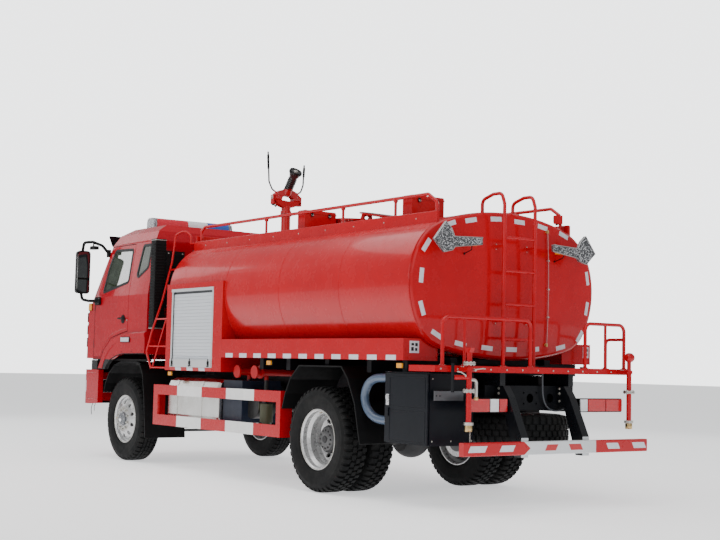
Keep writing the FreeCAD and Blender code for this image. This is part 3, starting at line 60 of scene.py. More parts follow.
def P(x, y, z):
    return Vector((x - XS, y, z))


# ------------------------------------------------------------------------------------------------ materials
class Mat:
    """one Principled material with a procedural tree in object coordinates (metres, row frame)"""

    def __init__(s, name, **k):
        s.m = bpy.data.materials.new(name)
        s.m.use_nodes = True
        s.nt = s.m.node_tree
        s.n = s.nt.nodes
        s.l = s.nt.links
        s.b = [q for q in s.n if q.type == 'BSDF_PRINCIPLED'][0]
        s.tc = s.n.new('ShaderNodeTexCoord')
        s.o = s.tc.outputs['Object']
        s.sep = None
        for key, v in k.items():
            s.set(key, v)

    def set(s, key, v):
        names = dict(metallic='Metallic', rough='Roughness', ior='IOR', coat='Coat Weight', coatr='Coat Roughness',
                     trans='Transmission Weight', spec='Specular IOR Level', emis='Emission Strength', sheen='Sheen Weight',
                     sheenr='Sheen Roughness', aniso='Anisotropic', alpha='Alpha', emisc='Emission Color', color='Base Color',
                     sss='Subsurface Weight', coatior='Coat IOR')
        sock = s.b.inputs[names[key]]
        if key in ('emisc', 'color'):
            v = tuple(v) + (1.0,)
        sock.default_value = v

    def xyz(s):
        if s.sep is None:
            q = s.n.new('ShaderNodeSeparateXYZ')
            s.l.new(s.o, q.inputs[0])
            s.sep = q.outputs
        return s.sep

    def _in(s, sock, v):
        if isinstance(v, (int, float)):
            sock.default_value = v
        elif isinstance(v, (tuple, list)):
            sock.default_value = tuple(v) + ((1.0,) if len(v) == 3 and len(sock.default_value) == 4 else ())
        else:
            s.l.new(v, sock)

    def math(s, op, a, b=0.0, clamp=False):
        q = s.n.new('ShaderNodeMath')
        q.operation = op
        q.use_clamp = clamp
        s._in(q.inputs[0], a)
        if op not in ('ABSOLUTE', 'SQRT', 'FRACT', 'FLOOR', 'SINE', 'COSINE'):
            s._in(q.inputs[1], b)
        return q.outputs[0]

    def noise(s, scale, detail=3.0, rough=0.55, vec=None, dist=0.0):
        q = s.n.new('ShaderNodeTexNoise')
        q.inputs['Scale'].default_value = scale
        q.inputs['Detail'].default_value = detail
        q.inputs['Roughness'].default_value = rough
        q.inputs['Distortion'].default_value = dist
        s.l.new(vec or s.o, q.inputs['Vector'])
        return q.outputs[0]

    def voronoi(s, scale, feature='F1', vec=None, out='Distance', rand=1.0):
        q = s.n.new('ShaderNodeTexVoronoi')
        q.feature = feature
        q.inputs['Scale'].default_value = scale
        q.inputs['Randomness'].default_value = rand
        s.l.new(vec or s.o, q.inputs['Vector'])
        return q.outputs[out]

    def wave(s, scale, axis='X', dist=0.0, vec=None, detail=2.0):
        q = s.n.new('ShaderNodeTexWave')
        q.bands_direction = axis
        q.inputs['Scale'].default_value = scale
        q.inputs['Distortion'].default_value = dist
        q.inputs['Detail'].default_value = detail
        s.l.new(vec or s.o, q.inputs['Vector'])
        return q.outputs[1]

    def stretch(s, sx, sy, sz):
        q = s.n.new('ShaderNodeMapping')
        q.inputs['Scale'].default_value = (sx, sy, sz)
        s.l.new(s.o, q.inputs['Vector'])
        return q.outputs[0]

    def ramp(s, fac, stops):
        q = s.n.new('ShaderNodeValToRGB')
        e = q.color_ramp.elements
        while len(e) < len(stops):
            e.new(0.5)
        for k, (p, c) in enumerate(stops):
            e[k].position = p
            e[k].color = (c, c, c, 1) if isinstance(c, (int, float)) else tuple(c) + (1,)
        s.l.new(fac, q.inputs[0])
        return q.outputs[0]

    def mix(s, fac, a, b):
        q = s.n.new('ShaderNodeMix')
        q.data_type = 'RGBA'
        s._in(q.inputs[0], fac)
        s._in(q.inputs[6], a)
        s._in(q.inputs[7], b)
        return q.outputs[2]

    def lerp(s, fac, a, b):
        q = s.n.new('ShaderNodeMix')
        q.data_type = 'FLOAT'
        s._in(q.inputs[0], fac)
        s._in(q.inputs[2], a)
        s._in(q.inputs[3], b)
        return q.outputs[0]

    def between(s, v, a, b):
        return s.math('MULTIPLY', s.math('GREATER_THAN', v, a), s.math('LESS_THAN', v, b))

    def inbox(s, lo, hi):
        """1 inside a box given in the working frame"""
        X, Y, Z = s.xyz()[0], s.xyz()[1], s.xyz()[2]
        f = s.between(X, lo[0] - XS, hi[0] - XS)
        f = s.math('MULTIPLY', f, s.between(Y, lo[1], hi[1]))
        return s.math('MULTIPLY', f, s.between(Z, lo[2], hi[2]))

    def any(s, *fs):
        r = fs[0]
        for f in fs[1:]:
            r = s.math('MAXIMUM', r, f)
        return r

    def bump(s, h, strength=0.2, dist=0.001):
        q = s.n.new('ShaderNodeBump')
        q.inputs['Strength'].default_value = strength
        q.inputs['Distance'].default_value = dist
        s.l.new(h, q.inputs['Height'])
        old = s.b.inputs['Normal']
        if old.is_linked:
            s.l.new(old.links[0].from_socket, q.inputs['Normal'])
        s.l.new(q.outputs[0], s.b.inputs['Normal'])
        return s

    def color(s, c):
        s._in(s.b.inputs['Base Color'], c)
        return s

    def rough(s, c):
        s._in(s.b.inputs['Roughness'], c)
        return s

    def metal(s, c):
        s._in(s.b.inputs['Metallic'], c)
        return s


def shade(c, k):
    return tuple(max(0.0, min(1.0, x * k)) for x in c)


RED = (0.47, 0.0006, 0.0065)
RED_DK = (0.40, 0.005, 0.008)
WHITE = (0.80, 0.80, 0.79)
BLACK = (0.0045, 0.0048, 0.0056)
MATS = {}


def paint_colour(m, c):
    """slow shifts of tone and a little dust in random patches"""
    n = m.noise(1.7, 4.0, 0.6)
    f = m.ramp(n, [(0.35, 0.0), (0.72, 1.0)])
    n2 = m.noise(38.0, 3.0, 0.6)
    g = m.ramp(n2, [(0.45, 0.0), (0.85, 0.35)])
    base = m.mix(f, shade(c, 1.04), shade(c, 0.90))
    return m.mix(g, base, tuple(0.94 * x + 0.0035 for x in c))


def mk_paint(name, c, rough=0.24, coat=0.60):
    m = Mat(name, coat=coat * 0.55, coatr=0.045, spec=0.20)
    m.color(paint_colour(m, c))
    n = m.noise(9.0, 4.0, 0.6)
    m.rough(m.ramp(n, [(0.3, rough - 0.06), (0.75, rough + 0.10)]))
    m.bump(m.noise(46.0, 2.0, 0.5), 0.10, 0.0012)
    m.bump(m.noise(1.9, 2.0, 0.5), 0.09, 0.012)
    return m


MATS['red'] = mk_paint('fire_red_paint', RED)
MATS['red_cab'] = mk_paint('cab_red_paint', (0.41, 0.0006, 0.0095), 0.27, 0.55)
MATS['white'] = mk_paint('white_paint', WHITE, 0.32, 0.4)


def mk_black(name, c=BLACK, rough=0.42, coat=0.15, grain=240.0, amp=0.10):
    m = Mat(name, coat=coat * 0.25, coatr=0.25, spec=0.14)
    n = m.noise(3.2, 5.0, 0.62)
    dust = m.ramp(n, [(0.42, 0.0), (0.9, 0.55)])
    m.color(m.mix(dust, c, tuple(x * 1.3 + 0.0035 for x in c)))
    m.rough(m.ramp(m.noise(14.0, 4.0, 0.6), [(0.3, rough - 0.08), (0.75, rough + 0.14)]))
    m.bump(m.noise(grain, 2.0, 0.5), amp, 0.0008)
    return m


MATS['frame'] = mk_black('frame_black_paint', (0.0040, 0.0046, 0.0066), 0.42)
MATS['black'] = mk_black('black_plastic', (0.0042, 0.0043, 0.0046), 0.50, 0.0, 420.0, 0.16)
MATS['gloss_black'] = mk_black('black_gloss_paint', (0.0038, 0.0044, 0.0064), 0.26, 0.5, 90.0, 0.05)
MATS['navy'] = mk_black('box_blue_black_paint', (0.0036, 0.0050, 0.0085), 0.36, 0.3, 120.0, 0.07)

m = Mat('tyre_rubber', spec=0.12, sheen=0.015)
n = m.noise(6.0, 5.0, 0.65)
m.color(m.mix(m.ramp(n, [(0.4, 0.0), (0.85, 1.0)]), (0.0052, 0.0055, 0.0060), (0.0150, 0.0146, 0.0138)))
m.rough(m.ramp(m.noise(18.0, 4.0, 0.6), [(0.25, 0.50), (0.8, 0.74)]))
m.bump(m.noise(160.0, 4.0, 0.6), 0.22, 0.0012)
MATS['rubber'] = m

m = Mat('seal_rubber', spec=0.4)
m.color(m.mix(m.noise(30.0, 3.0), (0.008, 0.008, 0.009), (0.020, 0.020, 0.021)))
m.rough(m.ramp(m.noise(60.0, 3.0), [(0.3, 0.48), (0.8, 0.66)]))
m.bump(m.noise(300.0, 2.0), 0.12, 0.0005)
MATS['seal'] = m


def mk_metal(name, c, rough, brush=None, spots=0.0, metallic=1.0):
    m = Mat(name)
    m.metal(metallic)
    n = m.noise(7.0, 5.0, 0.6)
    m.color(m.mix(m.ramp(n, [(0.3, 0.0), (0.8, 1.0)]), shade(c, 1.05), shade(c, 0.80)))
    if brush:
        v = m.stretch(*brush)
        b = m.noise(22.0, 5.0, 0.7, vec=v)
        m.rough(m.ramp(b, [(0.25, rough - 0.07), (0.8, rough + 0.13)]))
        m.bump(b, 0.07, 0.0008)
    else:
        m.rough(m.ramp(m.noise(26.0, 4.0, 0.6), [(0.25, rough - 0.06), (0.8, rough + 0.12)]))
        m.bump(m.noise(70.0 if not spots else 34.0, 4.0, 0.65), 0.10 if not spots else spots, 0.001)
    return m


MATS['alu'] = mk_metal('brushed_aluminium', (0.74, 0.73, 0.71), 0.23, brush=(1.0, 14.0, 14.0))
MATS['steel'] = mk_metal('machined_steel', (0.50, 0.50, 0.49), 0.34)
MATS['zinc'] = mk_metal('galvanised_steel', (0.60, 0.59, 0.55), 0.44, spots=0.30)
MATS['cast'] = mk_metal('cast_iron_dark', (0.055, 0.055, 0.057), 0.55, spots=0.45, metallic=0.55)
MATS['chrome'] = mk_metal('chrome', (0.80, 0.80, 0.81), 0.11)
MATS['brass'] = mk_metal('brass', (0.62, 0.44, 0.20), 0.30)

# wheel silver: paint over steel with darker random patches of brake dust
m = Mat('wheel_silver_paint', coat=0.35, coatr=0.15)
m.metal(0.55)
n = m.noise(11.0, 5.0, 0.65)
m.color(m.mix(m.ramp(n, [(0.35, 0.0), (0.9, 0.8)]), (0.62, 0.625, 0.63), (0.38, 0.37, 0.355)))
m.rough(m.ramp(m.noise(24.0, 4.0), [(0.3, 0.24), (0.8, 0.44)]))
m.bump(m.noise(80.0, 3.0), 0.07, 0.001)
MATS['wheel'] = m


def mk_lens(name, c, rough=0.12, emis=0.0, trans=0.0):
    m = Mat(name, coat=0.6, coatr=0.04, spec=0.6)
    if trans:
        m.set('trans', trans)
    m.set('ior', 1.49)
    n = m.noise(16.0, 3.0)
    m.color(m.mix(n, shade(c, 1.1), shade(c, 0.72)))
    m.rough(m.ramp(m.noise(40.0, 3.0), [(0.3, rough - 0.03), (0.8, rough + 0.07)]))
    v = m.voronoi(110.0, rand=0.0)
    m.bump(v, 0.35, 0.002)
    if emis:
        m.set('emisc', c)
        m.set('emis', emis)
    return m


MATS['lens_red'] = mk_lens('lens_red', (0.60, 0.012, 0.018))
MATS['lens_amber'] = mk_lens('lens_amber', (0.90, 0.36, 0.015), emis=0.05)
MATS['lens_white'] = mk_lens('lens_clear_white', (0.86, 0.87, 0.90))
MATS['dome_red'] = mk_lens('dome_red', (0.66, 0.012, 0.035), 0.10)
MATS['dome_white'] = mk_lens('dome_white', (0.86, 0.88, 0.92), 0.10)
MATS['dome_blue'] = mk_lens('dome_blue', (0.022, 0.105, 0.48), 0.10)

m = Mat('dome_clear', trans=0.86, ior=1.49, coat=0.3, coatr=0.03)
m.color(m.mix(m.noise(20.0), (0.93, 0.94, 0.97), (0.84, 0.86, 0.90)))
m.rough(m.ramp(m.noise(30.0), [(0.3, 0.04), (0.8, 0.12)]))
m.bump(m.wave(26.0, 'Y'), 0.25, 0.002)
MATS['dome_clear'] = m

# window glass: green-tinted and half opaque; its dark base colour is painted shade, the dim cab inside painted onto the
# pane, with a faint film of dust in lighter random patches
m = Mat('window_glass_painted_dark', trans=0.45, ior=1.45, spec=0.4)
m.color(m.mix(m.ramp(m.noise(5.5, 5.0, 0.7), [(0.38, 0.0), (0.66, 1.0)]), (0.022, 0.034, 0.012), (0.085, 0.110, 0.075)))
m.rough(m.ramp(m.noise(12.0, 4.0), [(0.35, 0.01), (0.8, 0.045)]))
MATS['glass'] = m

m = Mat('mirror_glass')
m.metal(1.0)
m.color(m.mix(m.noise(4.0), (0.20, 0.205, 0.22), (0.13, 0.13, 0.145)))
m.rough(m.ramp(m.noise(12.0), [(0.3, 0.03), (0.8, 0.09)]))
MATS['mirror'] = m

# white retro-reflective film with its fine cell grid and a few blurred, wordless tone patches
m = Mat('white_reflective_film', coat=0.35, coatr=0.1)
v = m.voronoi(170.0, rand=0.15)
c1 = m.mix(m.ramp(v, [(0.2, 0.0), (0.55, 1.0)]), (0.74, 0.76, 0.80), (0.60, 0.62, 0.68))
m.color(m.mix(m.ramp(m.noise(24.0, 3.0), [(0.5, 0.0), (0.75, 0.8)]), c1, (0.54, 0.57, 0.70)))
m.rough(m.ramp(m.noise(50.0), [(0.3, 0.26), (0.8, 0.42)]))
m.bump(v, 0.12, 0.0006)
MATS['film'] = m
m = Mat('red_reflective_film', coat=0.35, coatr=0.1)
v = m.voronoi(170.0, rand=0.15)
m.color(m.mix(m.ramp(v, [(0.2, 0.0), (0.55, 1.0)]), (0.60, 0.012, 0.014), (0.42, 0.006, 0.010)))
m.rough(m.ramp(m.noise(50.0), [(0.3, 0.26), (0.8, 0.42)]))
m.bump(v, 0.12, 0.0006)
MATS['film_red'] = m

# roller curtain: pale anodised aluminium
m = Mat('roller_curtain_alu', coat=0.15, coatr=0.2)
m.metal(0.35)
v = m.stretch(0.6, 8.0, 26.0)
m.color(m.mix(m.noise(9.0, 4.0, vec=v), (0.68, 0.71, 0.76), (0.57, 0.60, 0.65)))
m.rough(m.ramp(m.noise(20.0, 4.0, vec=v), [(0.25, 0.27), (0.8, 0.44)]))
m.bump(m.noise(20.0, 3.0, vec=v), 0.05, 0.0006)
MATS['curtain'] = m

# arrow board: matt silver carrier between the diodes
m = Mat('arrow_board_silver', coat=0.5, coatr=0.08)
v = m.voronoi(92.0)
m.metal(0.25)
m.color(m.mix(m.ramp(v, [(0.18, 0.0), (0.55, 1.0)]), (0.66, 0.67, 0.68), (0.11, 0.115, 0.12)))
m.rough(m.ramp(m.noise(90.0), [(0.3, 0.18), (0.8, 0.42)]))
m.bump(v, 0.7, 0.004)
MATS['board'] = m

# seat cloth and trim
m = Mat('seat_cloth', sheen=0.35, sheenr=0.5, spec=0.25)
wx = m.wave(210.0, 'Y', 0.3)
wz = m.wave(210.0, 'Z', 0.3)
w = m.math('MULTIPLY', wx, wz)
m.color(m.mix(m.ramp(w, [(0.1, 0.0), (0.7, 1.0)]), (0.016, 0.017, 0.021), (0.045, 0.047, 0.055)))
m.rough(m.ramp(m.noise(40.0), [(0.3, 0.80), (0.8, 0.95)]))
m.bump(w, 0.5, 0.0012)
MATS['cloth'] = m
m = Mat('cab_trim_plastic', spec=0.35)
m.color(m.mix(m.noise(5.0, 4.0), (0.050, 0.050, 0.052), (0.082, 0.080, 0.078)))
m.rough(m.ramp(m.noise(24.0), [(0.3, 0.58), (0.8, 0.76)]))
m.bump(m.voronoi(260.0), 0.25, 0.0008)
MATS['trim'] = m

m = Mat('olive_paint', coat=0.2, coatr=0.2)
m.color(m.mix(m.noise(8.0, 4.0), (0.085, 0.088, 0.050), (0.060, 0.062, 0.036)))
m.rough(m.ramp(m.noise(20.0), [(0.3, 0.34), (0.8, 0.5)]))
m.bump(m.noise(60.0), 0.1, 0.001)
MATS['olive'] = m
m = Mat('yellow_paint', coat=0.3, coatr=0.15)
m.color(m.mix(m.noise(20.0, 4.0), (0.72, 0.42, 0.02), (0.58, 0.32, 0.015)))
m.rough(m.ramp(m.noise(30.0), [(0.3, 0.32), (0.8, 0.46)]))
m.bump(m.noise(90.0), 0.1, 0.0008)
MATS['yellow'] = m

# hose: blue-grey wound PVC
m = Mat('hose_blue_grey_pvc', coat=0.45, coatr=0.16, spec=0.5)
m.color(m.mix(m.noise(9.0, 4.0), (0.095, 0.140, 0.215), (0.055, 0.085, 0.140)))
m.rough(m.ramp(m.noise(22.0), [(0.3, 0.26), (0.8, 0.42)]))
m.bump(m.noise(120.0, 3.0), 0.12, 0.001)
MATS['hose'] = m


def red_and(name, pick, second, second_rough=None, metallic=0.0, base=RED, coat=0.5):
    """paint with a second finish where pick(m) is 1"""
    m = Mat(name, coat=coat * 0.5, coatr=0.06, spec=0.20)
    f = pick(m)
    m.color(m.mix(f, paint_colour(m, base), second(m) if callable(second) else paint_colour(m, second)))
    r1 = m.ramp(m.noise(9.0, 4.0, 0.6), [(0.3, 0.20), (0.75, 0.34)])
    if second_rough is not None:
        m.rough(m.mix(f, r1, (second_rough,) * 3))
    else:
        m.rough(r1)
    if metallic:
        m.metal(m.math('MULTIPLY', f, metallic))
    m.bump(m.noise(46.0, 2.0, 0.5), 0.10, 0.0012)
    return m


# side guards: white fields on both rails
def pick_guard(m):
    X = m.xyz()[0]
    z = m.xyz()[2]
    f = m.any(m.between(X, 1.160 - XS, 1.742 - XS), m.between(X, 2.285 - XS, 2.860 - XS))
    return f


MATS['guard'] = red_and('side_guard_stripes', pick_guard, WHITE)

m = Mat('grey_cable', coat=0.2, coatr=0.2)
m.color(m.mix(m.noise(30.0, 4.0), (0.085, 0.092, 0.105), (0.050, 0.055, 0.066)))
m.rough(m.ramp(m.noise(60.0), [(0.3, 0.34), (0.8, 0.5)]))
m.bump(m.noise(200.0), 0.1, 0.0005)
MATS['cable'] = m
m = Mat('level_tube', coat=0.3, coatr=0.1)
m.color(m.mix(m.noise(6.0, 4.0), (0.50, 0.22, 0.22), (0.36, 0.10, 0.11)))
m.rough(m.ramp(m.noise(40.0), [(0.3, 0.20), (0.8, 0.34)]))
m.bump(m.noise(120.0), 0.1, 0.0005)
MATS['level'] = m


# platform: red deck, black beams under it; bumper: red outside, dark inside
def pick_low(m):
    return m.math('LESS_THAN', m.xyz()[2], 1.2145)


def pick_bumper_inside(m):
    X, Y, Z = m.xyz()[0], m.xyz()[1], m.xyz()[2]
    ay = m.math('ABSOLUTE', Y)
    a = m.math('MULTIPLY', m.math('LESS_THAN', ay, 1.1345), m.math('LESS_THAN', X, 5.433 - XS))
    return m.math('MAXIMUM', a, m.math('GREATER_THAN', Z, 1.126))


MATS['platform'] = red_and('platform_red_and_black', pick_low, (0.0042, 0.0048, 0.0066))
MATS['bumper'] = red_and('bumper_red_and_black', pick_bumper_inside, (0.0045, 0.0047, 0.0052), base=(0.41, 0.0006, 0.0095))


# under-run bar: red, white with a pointed edge, red; black posts
def pick_bar(m):
    Y, Z = m.xyz()[1], m.xyz()[2]
    tip = m.math('MULTIPLY', m.math('ABSOLUTE', m.math('SUBTRACT', Z, 0.5565)), 1.30)
    left = m.math('LESS_THAN', Y, m.math('ADD', tip, 0.372))
    right = m.math('GREATER_THAN', Y, -0.456)
    return m.math('MULTIPLY', left, right)


def mk_bar():
    m = Mat('under_run_bar_paint', coat=0.25, coatr=0.08, spec=0.3)
    f = pick_bar(m)
    c = m.mix(f, paint_colour(m, RED), paint_colour(m, (0.66, 0.69, 0.71)))
    post = m.math('GREATER_THAN', m.xyz()[0], -2.1045 - XS)
    m.color(m.mix(post, c, (0.0040, 0.0046, 0.0064)))
    m.rough(m.ramp(m.noise(9.0, 4.0), [(0.3, 0.24), (0.75, 0.40)]))
    m.bump(m.noise(46.0), 0.12, 0.0012)
    return m


MATS['bar'] = mk_bar()


# cab pieces: paint outside, plastic trim inside (the faces that look towards the middle of the cab)
def mk_cab(name, centre, paint=(0.41, 0.0006, 0.0095)):
    m = Mat(name, coat=0.27, coatr=0.06, spec=0.20)
    v = m.n.new('ShaderNodeVectorMath')
    v.operation = 'SUBTRACT'
    m.l.new(m.o, v.inputs[0])
    v.inputs[1].default_value = (centre[0] - XS, centre[1], centre[2])
    d = m.n.new('ShaderNodeVectorMath')
    d.operation = 'DOT_PRODUCT'
    m.l.new(v.outputs[0], d.inputs[0])
    m.l.new(m.tc.outputs['Normal'], d.inputs[1])
    f = m.math('LESS_THAN', d.outputs['Value'], 0.0)
    low = m.math('LESS_THAN', m.xyz()[2], 1.262)
    f = m.math('MAXIMUM', f, low)
    m.color(m.mix(f, paint_colour(m, paint), m.mix(m.noise(5.0, 4.0), (0.014, 0.014, 0.015), (0.028, 0.0275, 0.027))))
    m.rough(m.mix(f, m.ramp(m.noise(9.0, 4.0), [(0.3, 0.20), (0.75, 0.34)]), (0.62, 0.62, 0.62)))
    m.bump(m.noise(46.0), 0.10, 0.0012)
    m.bump(m.noise(2.1), 0.08, 0.010)
    return m


MATS['cab'] = mk_cab('cab_paint_and_trim', (4.45, 0.0, 2.05))
MATS['door_l'] = mk_cab('door_paint_and_trim_left', (4.45, 1.105, 2.05))
MATS['door_r'] = mk_cab('door_paint_and_trim_right', (4.45, -1.105, 2.05))


# wheels: silver rim, dark hub in the middle
def mk_wheel(name, cx, r_hub, dark=(0.055, 0.055, 0.056)):
    m = Mat(name, coat=0.3, coatr=0.15)
    X, Z = m.xyz()[0], m.xyz()[2]
    dx = m.math('SUBTRACT', X, cx - XS)
    dz = m.math('SUBTRACT', Z, 0.520)
    r = m.math('SQRT', m.math('ADD', m.math('MULTIPLY', dx, dx), m.math('MULTIPLY', dz, dz)))
    f = m.math('LESS_THAN', r, r_hub)
    n = m.noise(11.0, 5.0, 0.65)
    # darker and more mottled towards the centre of the disc, lighter out to the rim
    centre_darkening = m.ramp(r, [(0.13, 1.0), (0.24, 0.35), (0.29, 0.15)])
    silver = m.mix(m.math('MULTIPLY', n, centre_darkening), (0.66, 0.665, 0.67), (0.26, 0.25, 0.235))
    m.color(m.mix(f, silver, m.mix(n, dark, shade(dark, 2.2))))
    m.metal(m.mix(f, (0.55, 0.55, 0.55), (0.35, 0.35, 0.35)))
    m.rough(m.mix(f, m.ramp(m.noise(24.0), [(0.3, 0.22), (0.8, 0.42)]), (0.5, 0.5, 0.5)))
    m.bump(m.noise(80.0), 0.10, 0.001)
    return m


MATS['wheel_f'] = mk_wheel('front_wheel_silver_and_hub', 4.373, 0.086, (0.10, 0.105, 0.115))
MATS['wheel_r'] = mk_wheel('rear_wheel_silver_and_hub', 0.0, 0.158)


# tool box: blue-black with the grey drilled bracket at its back
def mk_toolbox():
    m = Mat('tool_box_paint', coat=0.06, coatr=0.2, spec=0.14)
    f = m.inbox((-1.760, 0.80, 0.95), (-1.7005, 1.16, 1.05))
    n = m.noise(3.2, 5.0, 0.62)
    c = m.mix(m.ramp(n, [(0.4, 0.0), (0.9, 0.7)]), (0.0034, 0.0046, 0.0078), (0.0075, 0.0092, 0.0135))
    m.color(m.mix(f, c, m.mix(n, (0.17, 0.175, 0.19), (0.115, 0.12, 0.13))))
    m.metal(m.mix(f, (0.0, 0.0, 0.0), (0.6, 0.6, 0.6)))
    m.rough(m.ramp(m.noise(14.0, 4.0), [(0.3, 0.28), (0.75, 0.46)]))
    m.bump(m.noise(120.0), 0.07, 0.0008)
    return m


MATS['toolbox'] = mk_toolbox()


# fuel tank: polished aluminium, black brackets
def mk_fuel():
    m = Mat('fuel_tank_aluminium')
    f = m.math('LESS_THAN', m.xyz()[1], 0.5398)
    v = m.stretch(1.2, 30.0, 30.0)
    b = m.noise(16.0, 5.0, 0.7, vec=v)
    c = m.mix(m.ramp(m.noise(5.0, 4.0), [(0.3, 0.0), (0.8, 1.0)]), (0.80, 0.79, 0.765), (0.63, 0.61, 0.575))
    m.color(m.mix(f, c, (0.012, 0.013, 0.016)))
    m.metal(m.mix(f, (1.0, 1.0, 1.0), (0.1, 0.1, 0.1)))
    m.rough(m.mix(f, m.ramp(b, [(0.2, 0.17), (0.8, 0.32)]), (0.45, 0.45, 0.45)))
    m.bump(b, 0.05, 0.0008)
    m.bump(m.noise(3.0), 0.10, 0.006)
    return m


MATS['fuel'] = mk_fuel()


# pump group: navy gear case, black casing, olive filter, red flanges and stub pipes
def mk_pump():
    m = Mat('pump_group_paint', coat=0.1, coatr=0.15, spec=0.25)
    red = m.any(m.inbox((1.20, 0.30, 1.075), (1.50, 1.20, 1.30)), m.inbox((1.62, 0.50, 1.075), (1.78, 1.20, 1.30)),
                m.inbox((1.69, 0.90, 1.055), (1.73, 0.98, 1.30)))
    navy = m.inbox((1.639, 0.5, 0.59), (2.06, 1.08, 1.0605))
    olive = m.inbox((1.262, 0.85, 0.595), (1.42, 1.01, 0.8205))
    n = m.noise(7.0, 4.0)
    base = m.mix(n, (0.016, 0.016, 0.017), (0.034, 0.033, 0.032))
    c = m.mix(navy, base, m.mix(n, (0.010, 0.016, 0.034), (0.017, 0.024, 0.044)))
    c = m.mix(olive, c, m.mix(n, (0.085, 0.088, 0.050), (0.060, 0.062, 0.036)))
    c = m.mix(red, c, paint_colour(m, (0.42, 0.003, 0.006)))
    m.color(c)
    m.rough(m.ramp(m.noise(15.0, 4.0), [(0.3, 0.32), (0.8, 0.55)]))
    m.bump(m.noise(50.0, 4.0), 0.25, 0.0015)
    return m


MATS['pump'] = mk_pump()

# right side: black air bottles and battery box, dull grey silencer
m = Mat('air_bottles_and_silencer')
f = m.inbox((1.10, -1.0, 0.50), (2.08, -0.40, 0.95))
n = m.noise(6.0, 5.0, 0.62)
m.color(m.mix(f, m.mix(n, (0.0045, 0.0049, 0.0060), (0.011, 0.011, 0.012)), m.mix(n, (0.30, 0.285, 0.265), (0.16, 0.135, 0.115))))
m.metal(m.math('MULTIPLY', f, 0.8))
m.rough(m.ramp(m.noise(18.0, 4.0), [(0.3, 0.36), (0.8, 0.58)]))
m.bump(m.noise(60.0, 4.0), 0.2, 0.001)
MATS['right_tanks'] = m

# monitor head: red ring, black nozzle and bars
m = Mat('monitor_red_and_black', coat=0.5, coatr=0.08)
a = m.math('GREATER_THAN', m.math('ABSOLUTE', m.xyz()[1]), 0.183)
b = m.math('GREATER_THAN', m.xyz()[2], 3.349)
f = m.any(a, b)
m.color(m.mix(f, paint_colour(m, RED), m.mix(m.noise(9.0), (0.010, 0.010, 0.011), (0.026, 0.025, 0.024))))
m.rough(m.ramp(m.noise(22.0, 4.0), [(0.3, 0.24), (0.75, 0.42)]))
m.bump(m.noise(70.0, 3.0), 0.14, 0.001)
MATS['monitor'] = m

# arrow lamps: speckled board, red brackets behind it
m = Mat('arrow_lamp_board', coat=0.45, coatr=0.08)
f = m.math('GREATER_THAN', m.xyz()[0], -1.6125 - XS)
v = m.voronoi(92.0)
c = m.mix(m.ramp(v, [(0.16, 0.0), (0.48, 1.0)]), (0.58, 0.59, 0.61), (0.070, 0.073, 0.080))
m.color(m.mix(f, c, paint_colour(m, RED)))
m.metal(m.mix(f, (0.25, 0.25, 0.25), (0.0, 0.0, 0.0)))
m.rough(m.ramp(m.noise(90.0), [(0.3, 0.18), (0.8, 0.42)]))
m.bump(v, 0.5, 0.003)
MATS['arrow'] = m

# leaf springs: dark paint
m = mk_black('spring_steel_black', (0.014, 0.014, 0.015), 0.46)
MATS['spring'] = m

# shutters: pale curtain, brighter frame
m = Mat('roller_shutter_aluminium', coat=0.15, coatr=0.2)
X, Y, Z = m.xyz()[0], m.xyz()[1], m.xyz()[2]
ay = m.math('ABSOLUTE', Y)
gap = m.math('MULTIPLY', m.math('LESS_THAN', ay, 1.1835), m.math('GREATER_THAN', Z, 1.2805))
v = m.stretch(0.6, 8.0, 26.0)
n = m.noise(9.0, 4.0, vec=v)
c = m.mix(n, (0.74, 0.77, 0.81), (0.63, 0.66, 0.70))
fr = m.any(m.between(ay, 1.1995, 1.22), m.math('LESS_THAN', Z, 1.2803))
c = m.mix(fr, c, m.mix(n, (0.70, 0.71, 0.72), (0.58, 0.59, 0.60)))
m.color(m.mix(gap, c, (0.030, 0.032, 0.036)))
m.metal(m.mix(fr, (0.25, 0.25, 0.25), (0.45, 0.45, 0.45)))
m.rough(m.ramp(m.noise(20.0, 4.0, vec=v), [(0.25, 0.30), (0.8, 0.46)]))
m.bump(n, 0.05, 0.0006)
MATS['shutter'] = m

